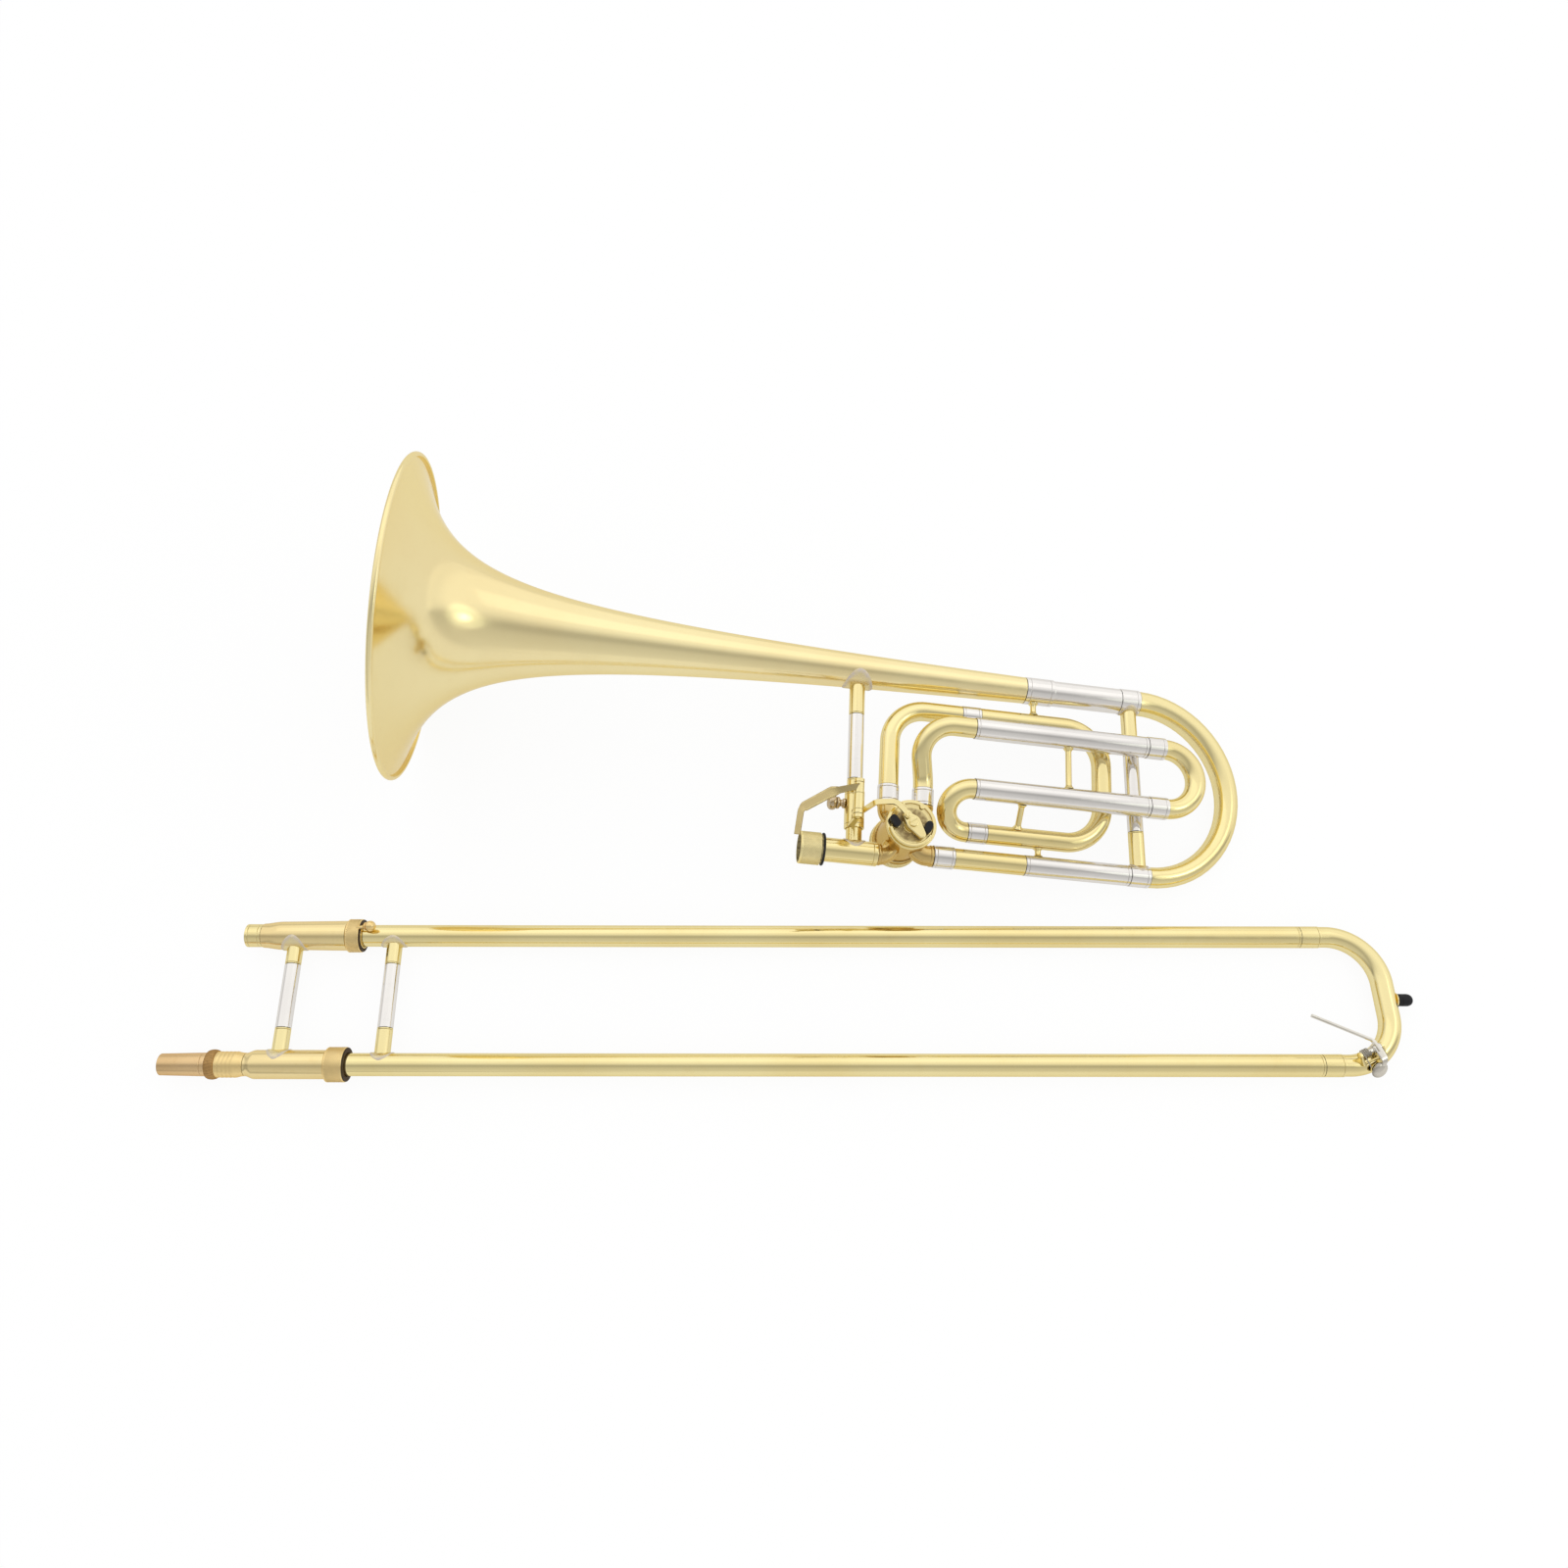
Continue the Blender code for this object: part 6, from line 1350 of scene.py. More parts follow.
def build_front_plate():
    """The valve's front plate, with its rail, its screws and the bumpers' seats."""
    low, high = CASING_HIGH + GAP, STOP_PLATE_TOP
    floor, bore = high - 0.0008, SPINDLE_RADIUS + SLIDING_GAP
    front = Workpiece().turn(
        [
            (low, CASING_RIM_RADIUS), Stop(high - 0.0003, CASING_RIM_RADIUS, 1.0),
            Stop(high, CASING_RIM_RADIUS - 0.0003, 1.0), (high, CASING_RIM_RADIUS - 0.0022),
            # The recess's floor is darkened: painted shade under the stop arm round the spindle, and in the
            # recess's outer corner
            Stop(floor, CASING_RIM_RADIUS - 0.0026, 0, 0.4), Stop(floor, 0.0122, 0, 0.06),
            Stop(floor, 0.0106, 0, 0.9), Stop(floor, 0.0066, 0, 1.0), Stop(floor, 0.0062, 0, 0.9),
            (high, 0.0058), (high, bore), (low, bore),
        ],
        "Z", VALVE, sides=72,
    )
    first, last = BUMPER_ANGLES
    rail = arc_band(STOP_RAIL_RADIUS - 0.0009, STOP_RAIL_WIDTH - 0.0002, first - 8, last + 8)
    front.plate(rail, high - 0.0005, high + STOP_RAIL_HEIGHT - 0.0018, VALVE, 0.0004)
    for angle in (62, 118):
        place = VALVE + Vector((*polar(angle, 0.0142), high))
        front.screw(place, 0.0016, 0.0010, angle)
    for angle in BUMPER_ANGLES:
        post = VALVE + Vector((*polar(angle, BUMPER_CIRCLE), 0))
        front.turn([(high - 0.0003, 0.0027), (high + 0.0004, 0.0027)], "Z", post, False, 24)
    front.finish("valve_front_plate", "bell_section", "brass_painted_shade_under_arm", ["stop_plate"])


def build_bumpers():
    """The two black bumpers that the stop arm comes to rest against."""
    for number, (angle, (swing, further)) in enumerate(zip(BUMPER_ANGLES, BUMPER_REACH), 1):
        discs = [
            (*polar(turn, distance), BUMPER_RADIUS)
            for turn, distance in ((angle, BUMPER_CIRCLE), (angle + swing, BUMPER_CIRCLE + further))
        ]
        block = Workpiece().plate(
            around_discs(discs), STOP_PLATE_TOP + 0.0004, STOP_PLATE_TOP + BUMPER_HEIGHT, VALVE, 0.0006
        )
        block.finish(f"stop_cork_{number}", "bell_section", "black_rubber", [f"stop_bumper_{number}"])


def build_stop_arm():
    """The stop arm on the rotor's spindle, and the spindle's screw."""
    outline = around_discs(
        [(0, 0, STOP_HUB_RADIUS), (-LINK_LOBE, LINK_LOBE, LINK_EYE_RADIUS),
         (*polar(STOP_LUG_ANGLE, STOP_LUG_REACH), STOP_LUG_RADIUS)]
    )
    arm = Workpiece().plate(outline, ARM_LOW, ARM_HIGH, VALVE, 0.0005)
    top = ARM_HIGH + 0.0002
    arm.turn([(ARM_HIGH - 0.0004, 0.0040), (top, 0.0040)], "Z", VALVE, False, 36)
    arm.finish("stop_arm_plate", "rotor", "lacquered_brass", ["stop_arm"])
    screw = Workpiece().screw(VALVE + UP * top, 0.0031, 0.0013, 35)
    screw.finish("spindle_screw", "rotor", "lacquered_brass", sharp=SCREW_SHARP)


# F attachment

def f_port(side):
    """Where a ferrule starts on one of the valve's two F ports."""
    return Vector((VALVE.x + side * PORT_OFFSET, VALVE.y + CASING_RADIUS + PORT_STAND + GAP, 0))


def build_f_fittings():
    """The F attachment's nickel fittings: two ferrules, two couplings and the two long sleeves."""
    size = sizes()
    bore = F_TUBE_RADIUS - size.tube_wall
    ferrule = [
        *lined(0, F_FERRULE_LENGTH, F_SLEEVE_RADIUS, 0.0018, -0.0018), (F_FERRULE_LENGTH, bore), (0, bore)
    ]
    for side, name in ((-1, "f_outlet"), (1, "f_return")):
        Workpiece().turn(ferrule, "Y", f_port(side)).finish(
            name + "_ring", "bell_section", "nickel_silver", [name + "_ferrule"]
        )
    for name, start, y in (
        ("f_outlet", F_COUPLING_START, F_RUN_Y), ("f_wrap", F_WRAP_COUPLING_START, F_WRAP_Y)
    ):
        end, outer = start + F_COUPLING_LENGTH, F_TUBE_RADIUS + size.tube_wall / 2
        Workpiece().tube(start, end, outer, bore, y, 0.0, (0.0018, -0.0018)).finish(
            name + "_sleeve", "bell_section", "nickel_silver", [name + "_coupling"]
        )
    for name, y in (("f_upper_sleeve", F_UPPER_SLEEVE_Y), ("f_lower_sleeve", F_LOWER_SLEEVE_Y)):
        Workpiece().tube(
            F_SLEEVE_START, F_SLEEVE_END, F_SLEEVE_RADIUS, F_SLEEVE_RADIUS - size.sleeve_wall, y,
            F_SLEEVE_Z, (0.0020, -0.0020),
        ).finish(name + "_tube", "bell_section", "nickel_silver", [name])


def build_f_bends():
    """The F attachment's bent tubes, from the valve round the wrap and back to the valve."""
    ferrule_end = Vector((0, F_FERRULE_LENGTH + GAP, 0))
    first, last = f_port(-1) + ferrule_end, f_port(1) + ferrule_end
    sleeve_x = F_SLEEVE_START - GAP
    outlet = [first, (first.x, F_RUN_Y, 0), (F_COUPLING_START - GAP, F_RUN_Y, 0)]
    wrap = [
        (F_COUPLING_START + F_COUPLING_LENGTH + GAP, F_RUN_Y, 0), (F_WRAP_EXTREME, F_RUN_Y, 0),
        (F_WRAP_EXTREME, F_WRAP_Y, 0), (F_WRAP_COUPLING_START + F_COUPLING_LENGTH + GAP, F_WRAP_Y, 0),
    ]
    left = half_turn(
        Vector((F_WRAP_COUPLING_START - GAP, F_WRAP_Y, 0)),
        Vector((sleeve_x, F_LOWER_SLEEVE_Y, F_SLEEVE_Z)), -FORWARD,
    )
    back = [
        last, last + Vector((0, F_RETURN_RISE, 0)),
        (last.x - F_RETURN_LEAN, F_UPPER_SLEEVE_Y, F_SLEEVE_Z), (sleeve_x, F_UPPER_SLEEVE_Y, F_SLEEVE_Z),
    ]
    for name, points, node in (
        ("f_outlet_bend", rounded_route(outlet, [F_ELBOW_BEND]), "f_outlet_elbow"),
        ("f_wrap_tube", rounded_route(wrap, [F_WRAP_BEND, F_WRAP_BEND]), "f_wrap_crook"),
        ("f_left_bend", left, "f_left_crook"),
        ("f_return_bend", rounded_route(back, [F_RETURN_BEND, F_RETURN_BEND]), "f_return_elbow"),
    ):
        Workpiece().sweep(points, F_TUBE_RADIUS, F_TUBE_RADIUS - sizes().tube_wall).finish(
            name, "bell_section", "lacquered_brass", [node]
        )


def build_f_slide():
    """The F tuning slide's two legs, and the crook that joins them."""
    ends = []
    for side, y in (("upper", F_UPPER_SLEEVE_Y), ("lower", F_LOWER_SLEEVE_Y)):
        build_leg(
            f"f_slide_{side}_leg", "f_tuning_slide", (y, F_SLEEVE_Z), F_SLEEVE_RADIUS, F_SLEEVE_END,
            F_LEG_INSERT, F_SLIDE_FERRULE_END,
        )
        ends.append(Vector((F_SLIDE_FERRULE_END + GAP, y, F_SLEEVE_Z)))
    crook = Workpiece().sweep(half_turn(*ends, FORWARD), F_CROOK_RADIUS, F_CROOK_RADIUS - sizes().tube_wall)
    crook.finish("f_slide_bend", "f_tuning_slide", "lacquered_brass", ["f_slide_crook"])


def build_stays():
    """The turned stays of the F attachment, each with a flared foot on either tube."""
    sleeve, tube = F_SLEEVE_RADIUS, F_TUBE_RADIUS
    upper, lower = (F_UPPER_SLEEVE_Y, F_SLEEVE_Z), (F_LOWER_SLEEVE_Y, F_SLEEVE_Z)
    for name, x, start, end, start_radius, end_radius in (
        ("bell", 0.4300, (0, 0), (F_RUN_Y, 0), BELL_FERRULE_RADIUS, tube),
        ("sleeves", 0.4488, upper, lower, sleeve, sleeve),
        ("wrap", 0.4175, lower, (F_WRAP_Y, 0), sleeve, tube),
        ("neck", 0.4330, (F_WRAP_Y, 0), (-sizes().leg_spacing, 0), tube, LOWER_SLEEVE_RADIUS),
    ):
        first, last = Vector((x, *start)), Vector((x, *end))
        way = (last - first).normalized()
        first, last = first + way * (start_radius - STAY_SINK), last - way * (end_radius - STAY_SINK)
        foot = min(STAY_FOOT_LENGTH, (last - first).length * 0.32)
        radii = [STAY_RADIUS + (STAY_FOOT_RADIUS - STAY_RADIUS) * flare for _, flare in STAY_FOOT]
        points = [first + way * foot * share for share, _ in STAY_FOOT]
        points += [last - way * foot * share for share, _ in reversed(STAY_FOOT)]
        Workpiece().sweep(points, radii + radii[::-1], None, 32).finish(
            f"f_stay_{name}_turned", "bell_section", "lacquered_brass", [f"f_stay_{name}"]
        )


# Thumb lever

def build_lever_bracket():
    """The clamp on the bell brace with the lever's two posts and pin, and the rest knob at its side."""
    bore = BRACE_RADIUS + GAP
    radius = bore + LEVER_CLAMP_WALL
    low = LEVER_BARREL_TO - SLIDING_GAP - LEVER_POST_WIDTH
    high = LEVER_BARREL_FROM + SLIDING_GAP + LEVER_POST_WIDTH
    brace = (BELL_BRACE_AT, 0, 0)
    profile = [*lined(low, high, radius, 0.0028, -0.0028), (high, bore), (low, bore)]
    work = Workpiece().turn(profile, "Y", brace).leaned(brace, BELL_BRACE_LEAN)
    base = radius - LEVER_CLAMP_WALL / 2
    for edge in (low, high - LEVER_POST_WIDTH):
        middle = edge + LEVER_POST_WIDTH / 2
        post = [Vector((LEVER_X, middle, z)) for z in (base, base + 0.008, LEVER_HEIGHT)]
        work.strip(post, 0.0036, LEVER_POST_WIDTH, (ACROSS, ACROSS), (1.3, 0.95))
        eye = (LEVER_X, edge, LEVER_HEIGHT)
        work.turn([(0, 0.0034), (LEVER_POST_WIDTH, 0.0034)], "Y", eye, False, 32)
    ends = [(LEVER_X, y, LEVER_HEIGHT) for y in (low - 0.0004, high + 0.0004)]
    work.rod(*ends, LEVER_PIN_RADIUS)
    work.finish("lever_clamp", "bell_section", "lacquered_brass", ["lever_bracket"])
    y = (low + high) / 2 + 0.0040
    knob_x = BELL_BRACE_AT - math.radians(BELL_BRACE_LEAN) * y - radius
    # The rest knob's dark tone is a painted reflection, and its pale edges are painted glints
    Workpiece().turn(REST_KNOB, "X", (knob_x, y, 0), False, 36).finish(
        "lever_rest_knob", "bell_section", "brass_painted_dark_reflection"
    )


def build_thumb_lever():
    """The thumb lever: barrel, curved strip with its paddle, and the arm that ends in a ball."""
    bore = LEVER_PIN_RADIUS + SLIDING_GAP
    barrel = [
        *lined(LEVER_BARREL_TO, LEVER_BARREL_FROM, LEVER_BARREL_RADIUS, 0.0030, -0.0072),
        (LEVER_BARREL_FROM, bore), (LEVER_BARREL_TO, bore),
    ]
    lever = Workpiece().turn(barrel, "Y", (LEVER_X, 0, LEVER_HEIGHT), sides=36)
    start = Vector((LEVER_X, LEVER_BARREL_FROM - LEVER_STRIP_WIDTH / 2, LEVER_HEIGHT + 0.0022))
    route = rounded_route(
        [start, start + Vector((-0.018, -0.006, 0.0008)), (PADDLE.x, start.y - 0.0205, PADDLE.z - 0.001),
         PADDLE - Vector((0.0016, 0.0038, 0.0010))],
        [0.030, 0.006], 12,
    )
    bank = (Vector((-0.12, -0.36, 1)), Vector((-0.25, -0.20, 1)))
    paddle = Workpiece().strip(
        route, LEVER_STRIP_WIDTH, LEVER_STRIP_THICKNESS, bank, (0.75, 1.35, 1.2, 0.8, 0.75)
    )
    paddle.finish("thumb_lever_paddle", "thumb_lever", "thumbed_brass")
    lever.rod((LEVER_X, BALL.y, LEVER_HEIGHT - 0.001), BALL, 0.0016, 0.1)
    neck = [(-0.0026, 0.0024), (-0.0020, 0.0028), (0, 0.0028)]
    lever.turn(neck, "Z", BALL + Vector((0, 0, 0.0052)), False, 24)
    lever.ball(BALL, BALL_RADIUS - 0.0002)
    lever.finish("thumb_lever_arm", "thumb_lever", "lacquered_brass", ["thumb_lever"])


def build_link():
    """The curved link between the lever's ball and the stop arm, with a screw in its eye."""
    half = LINK_THICKNESS / 2
    eye = VALVE + Vector((-LINK_LOBE, LINK_LOBE, ARM_HIGH + 0.0008 + half))
    start = BALL + Vector((0.0042, 0.0006, 0.0030))
    rise = start.lerp(eye, 0.3) + Vector((-0.0020, 0.0040, 0.0090))
    route = rounded_route([start, rise, eye + Vector((-0.0075, 0.0078, 0)), eye], [0.005, 0.007], 10)
    link = Workpiece().strip(route, LINK_WIDTH, LINK_THICKNESS, (Vector((-0.45, 0, 1)), UP))
    low, high = eye.z - half, eye.z + half
    link.turn([(low, LINK_EYE_RADIUS), (high, LINK_EYE_RADIUS)], "Z", (eye.x, eye.y, 0), False, 36)
    link.finish("link_bar", "link", "lacquered_brass", ["link"])
    screw = Workpiece().screw((eye.x, eye.y, high), 0.0019, 0.0009, 70)
    screw.finish("link_screw", "link", "lacquered_brass", sharp=SCREW_SHARP)


# Hand slide

def build_tenon():
    """The tapered tenon that the receiver holds."""
    end = SLIDE_TENON_X + TENON_LENGTH
    profile = [
        (SLIDE_TENON_X, TENON_TIP_RADIUS), *groove(end - 0.0030, TENON_ROOT_RADIUS - 0.00006),
        (end, TENON_ROOT_RADIUS), (end, SLIDE_BORE), (SLIDE_TENON_X, SLIDE_BORE),
    ]
    Workpiece().turn(profile, "X", (0, -sizes().slide_spacing / 2, 0)).finish(
        "tenon_taper", "inner_slide", "rose_brass", ["slide_tenon"]
    )


def build_tenon_collar():
    """The collar behind the tenon, with its rope ring, its thread and its hollow neck."""
    line = (0, -sizes().slide_spacing / 2, 0)
    start = SLIDE_TENON_X + TENON_LENGTH + GAP
    thread_start = start + COLLAR_RING_LENGTH
    thread_end = thread_start + THREAD_LENGTH
    ring = relief_rows(start, thread_start, COLLAR_RING_RADIUS, 20)
    ring[0] = Stop(start, COLLAR_RING_RADIUS - 0.0014)
    ring[-1] = Stop(thread_start, COLLAR_RING_RADIUS - 0.0014)
    Workpiece().turn(
        [*ring, (thread_start, SLIDE_BORE), (start, SLIDE_BORE)], "X", line,
        sides=128, relief=rope(start, COLLAR_RING_LENGTH),
    ).finish("tenon_collar_ring", "inner_slide", "handled_rose_brass", sharp=RELIEF_SHARP)
    length = THREAD_LENGTH - WAIST_LENGTH
    neck_start, root = thread_start + length, THREAD_RADIUS - 0.0005
    rows = round(8 * length / sizes().thread_pitch)
    screw = relief_rows(thread_start, neck_start, THREAD_RADIUS - 0.0004, rows)
    screw[-1] = Stop(neck_start, root)
    neck = [
        (thread_end - WAIST_LENGTH * rest, WAIST_RADIUS + (root - WAIST_RADIUS) * rest ** 2)
        for rest in (0.8, 0.6, 0.4, 0.2, 0.0)
    ]
    Workpiece().turn(
        [*screw, *neck, (thread_end, SLIDE_BORE), (thread_start, SLIDE_BORE)], "X", line,
        sides=64, relief=thread(),
    ).finish(
        "tenon_collar_threaded", "inner_slide", "collar_brass", ["tenon_collar"], RELIEF_SHARP
    )


def knurled_collar(start, end, radius, bore, lead, y):
    """A knurled ring along x that leaves room for the cork at its end."""
    relief, sides = knurl(radius)
    face = end - CORK_LENGTH
    profile = [
        (start, radius - 0.0006), (start + 0.0006, radius),
        *knurled_band(start + lead, face - 0.0005, radius),
        (face, radius - 0.0003), (face, bore), (start, bore),
    ]
    return Workpiece().turn(profile, "X", (0, y, 0), sides=sides, relief=relief)


def build_shade_cork(name, body, end, radius, bore, y):
    """A cork ring that ends a slide collar, near black as painted shade in the collar's mouth."""
    outer, start = radius - 0.0003, end - CORK_LENGTH
    profile = [
        (start, outer), (end - 0.0003, outer), (end, outer - 0.0004), (end, bore + 0.0003),
        (end - 0.0003, bore), (start, bore),
    ]
    Workpiece().turn(profile, "X", (0, y, 0)).finish(name, body, "cork_painted_shade")


def build_lower_barrel():
    """The lower barrel, its knurled collar, and the collar's cork, near black as painted shade."""
    y = -sizes().slide_spacing / 2
    end = BARREL_END_X + SLIDE_COLLAR_LENGTH
    rise = BARREL_RADIUS - WAIST_RADIUS
    swell = [
        (LOWER_BARREL_START_X + BARREL_SHOULDER * share, WAIST_RADIUS + rise * smooth(share))
        for share in (0.0, 0.17, 0.33, 0.5, 0.67, 0.83, 1.0)
    ]
    profile = [
        *swell, (COLLAR_START_X, BARREL_RADIUS), (COLLAR_START_X, BARREL_BORE),
        (BARREL_STEP_X, BARREL_BORE), (BARREL_STEP_X, BARREL_TUBE_BORE),
        (LOWER_BARREL_START_X, BARREL_TUBE_BORE),
    ]
    Workpiece().turn(profile, "X", (0, y, 0)).finish(
        "lower_barrel_turned", "inner_slide", "barrel_brass", ["lower_barrel"]
    )
    collar = knurled_collar(COLLAR_START_X, end, SLIDE_COLLAR_RADIUS, BARREL_BORE, 0.0012, y)
    collar.finish("lower_collar_knurled", "inner_slide", "collar_brass")
    build_shade_cork("lower_collar_shade_cork", "inner_slide", end, SLIDE_COLLAR_RADIUS, BARREL_BORE, y)


def upper_barrel_radius(x):
    """The upper barrel swells soon after the mouthpiece receiver, then widens slowly."""
    start = SOCKET_END_X + GAP
    swell = smooth(min(1.0, (x - start) / BARREL_SWELL)) * BARREL_SWELL_SHARE
    slow = (1 - BARREL_SWELL_SHARE) * (x - start) / (UPPER_BARREL_END_X - start)
    return UPPER_BARREL_START_RADIUS + (UPPER_BARREL_END_RADIUS - UPPER_BARREL_START_RADIUS) * (swell + slow)


def build_upper_barrel():
    """The mouthpiece receiver, and the upper barrel with the neck that its lock ring turns on."""
    line = (0, sizes().slide_spacing / 2, 0)
    socket = [
        *lined(MOUTHPIECE_X, SOCKET_END_X, MOUTHPIECE_RECEIVER_RADIUS, 0.0020, -0.0020),
        (SOCKET_END_X, SLIDE_BORE), (MOUTHPIECE_X, MOUTHPIECE_BORE),
    ]
    Workpiece().turn(socket, "X", line).finish(
        "mouthpiece_socket", "inner_slide", "lacquered_brass", ["mouthpiece_receiver"]
    )
    start, last = SOCKET_END_X + GAP, UPPER_BARREL_END_X - GAP
    neck_end = UPPER_BARREL_END_X + LOCK_RING_LENGTH + GAP
    places = [*(start + BARREL_SWELL * share / 6 for share in range(7)), last]
    profile = [
        *((place, upper_barrel_radius(place)) for place in places),
        (last, BARREL_NECK_RADIUS), (neck_end, BARREL_NECK_RADIUS), (neck_end, BARREL_BORE),
        (BARREL_STEP_X, BARREL_BORE), (BARREL_STEP_X, BARREL_TUBE_BORE), (start, BARREL_TUBE_BORE),
    ]
    Workpiece().turn(profile, "X", line).finish(
        "upper_barrel_turned", "inner_slide", "barrel_brass", ["upper_barrel"]
    )


def build_lock_ring():
    """The knurled ring that turns on the upper barrel, with its cork, near black as painted shade, and a
    ball-ended lug.
    """
    y = sizes().slide_spacing / 2
    bore = BARREL_NECK_RADIUS + GAP
    end = UPPER_BARREL_END_X + LOCK_RING_LENGTH
    build_shade_cork("lock_ring_shade_cork", "slide_lock_ring", end, LOCK_RING_RADIUS, bore, y)
    ring = knurled_collar(UPPER_BARREL_END_X, end, LOCK_RING_RADIUS, bore, 0.0010, y)
    lean = math.radians(LOCK_LUG_ANGLE)
    out = Vector((0, math.sin(lean), math.cos(lean)))
    line = Vector((0, y, 0)) + out * (LOCK_RING_RADIUS - LOCK_LUG_RADIUS)
    tip = line + FORWARD * (end + LOCK_LUG_LENGTH) + out * (LOCK_BALL_RADIUS - LOCK_LUG_RADIUS)
    ring.rod(line + FORWARD * (end - 0.0024), tip, LOCK_LUG_RADIUS, 0.1)
    neck = [(-0.0024, 0.0016), (-0.0014, 0.0026), (-0.0008, 0.0026)]
    ring.turn(neck, "X", tip - FORWARD * 0.0020, False, 28)
    ring.ball(tip, LOCK_BALL_RADIUS)
    ring.finish("lock_ring_knurled", "slide_lock_ring", "collar_brass", ["slide_lock_ring"])


def build_slide_tubes():
    """The nickel inner tubes and the brass outer tubes of the hand slide."""
    half = sizes().slide_spacing / 2
    for name, start, y in (
        ("upper", SOCKET_END_X + 2 * GAP, half), ("lower", LOWER_BARREL_START_X + GAP, -half)
    ):
        Workpiece().tube(start, INNER_TUBE_END_X, INNER_TUBE_RADIUS, SLIDE_BORE, y).finish(
            name + "_inner_leg", "inner_slide", "nickel_silver", [name + "_inner_tube"]
        )
        Workpiece().tube(
            OUTER_TUBE_START_X, OUTER_TUBE_END_X, OUTER_TUBE_RADIUS, OUTER_TUBE_BORE, y, 0.0, (-0.0014,)
        ).finish(name + "_outer_leg", "outer_slide", "lacquered_brass", [name + "_outer_tube"])


def key_frame():
    """The water key's pivot, and its directions: along the pivot, and out from the bow."""
    turn = math.radians(KEY_AXIS_ANGLE)
    along = Vector((math.cos(turn), math.sin(turn), 0))
    outwards = Vector((along.y, -along.x, 0))
    corner = Vector((BOW_EXTREME_X - BOW_BEND, BOW_BEND - sizes().slide_spacing / 2, 0))
    pivot = corner + outwards * (BOW_BEND - KEY_PIVOT_INSET) + UP * KEY_PIVOT_HEIGHT
    return pivot, along, outwards


def nipple_line():
    """The middle of the bow's tube at the nipple, and the nipple's direction."""
    pivot, _, outwards = key_frame()
    lean = math.radians(NIPPLE_LEAN)
    middle = pivot + outwards * KEY_PIVOT_INSET - UP * KEY_PIVOT_HEIGHT
    return middle, outwards * math.cos(lean) + UP * math.sin(lean)


def build_bow():
    """The bow with its ferrules, its nipple and the seat of its bumper."""
    half = sizes().slide_spacing / 2
    start = OUTER_TUBE_END_X + GAP
    route = rounded_route(
        [(start, half, 0), (BOW_EXTREME_X, half, 0), (BOW_EXTREME_X, -half, 0), (start, -half, 0)],
        [BOW_BEND, BOW_BEND], 2 * sizes().bend_steps,
    )
    work = Workpiece().sweep(route, BOW_RADIUS, BOW_BORE)
    for y in (half, -half):
        work.tube(
            start, start + BOW_FERRULE_LENGTH, BOW_FERRULE_RADIUS - 0.0004, BOW_RADIUS - 0.0002, y, 0.0,
            (-0.0014,),
        )
    middle, way = nipple_line()
    root = middle + way * (BOW_RADIUS - 0.0008)
    work.rod(root, middle + way * (BOW_RADIUS + NIPPLE_LENGTH), NIPPLE_RADIUS, 0.08)
    work.rod(root, middle + way * (BOW_RADIUS + 0.0005), NIPPLE_RADIUS + 0.0009, 0.1)
    work.turn([(-0.0009, 0.0052), (0.0002, 0.0046)], "X", (BOW_EXTREME_X + BOW_RADIUS, 0, 0), False, 32)
    work.finish("bow_tube", "outer_slide", "lacquered_brass", ["slide_bow"])


def build_bow_bumper():
    """The rubber bumper that the slide stands on."""
    start = BOW_EXTREME_X + BOW_RADIUS + GAP
    end = start + BOW_BUMPER_LENGTH
    profile = [
        (start, BOW_BUMPER_RADIUS * 0.92), (start + 0.0012, BOW_BUMPER_RADIUS),
        *groove(start + 0.0030, BOW_BUMPER_RADIUS),
    ]
    for angle in range(0, 91, 10):
        turn = math.radians(angle)
        rounding = 0.0040 * (1 - math.sin(turn))
        profile.append((end - rounding, BOW_BUMPER_RADIUS * (0.15 + 0.85 * math.cos(turn))))
    Workpiece().turn(profile, "X", (0, 0, 0), False, 40).finish(
        "bow_bumper_rubber", "outer_slide", "black_rubber", ["bow_bumper"]
    )


def build_key_saddle():
    """The water key's two ears and pin, on a plate that fits the bow."""
    pivot, along, outwards = key_frame()
    middle_of_ear = (KEY_BARREL_LENGTH + KEY_EAR_THICKNESS) / 2 + SLIDING_GAP
    foot = outwards * KEY_PIVOT_INSET - UP * (KEY_PIVOT_HEIGHT - BOW_RADIUS + 0.0008)
    saddle = Workpiece()
    for side in (-1, 1):
        place = pivot + along * side * middle_of_ear
        saddle.strip(
            [place + foot, place + foot * 0.5, place + UP * 0.0004], 0.0056, KEY_EAR_THICKNESS,
            (along, along), (1.25, 0.75),
        )
        eye = [(-KEY_EAR_THICKNESS / 2, 0.0022), (KEY_EAR_THICKNESS / 2, 0.0022)]
        saddle.turn(eye, (along, UP), place, False, 28)
    reach = along * (middle_of_ear + KEY_EAR_THICKNESS / 2 + 0.0002)
    saddle.rod(pivot - reach, pivot + reach, KEY_PIN_RADIUS, 0.3, 20)
    seat, edge = pivot + foot, along * (middle_of_ear + 0.0004)
    rise = -foot.normalized()
    saddle.strip([seat - edge, seat, seat + edge], 0.0066, 0.0014, (rise, rise))
    saddle.finish("water_key_posts", "outer_slide", "lacquered_brass", ["water_key_saddle"])


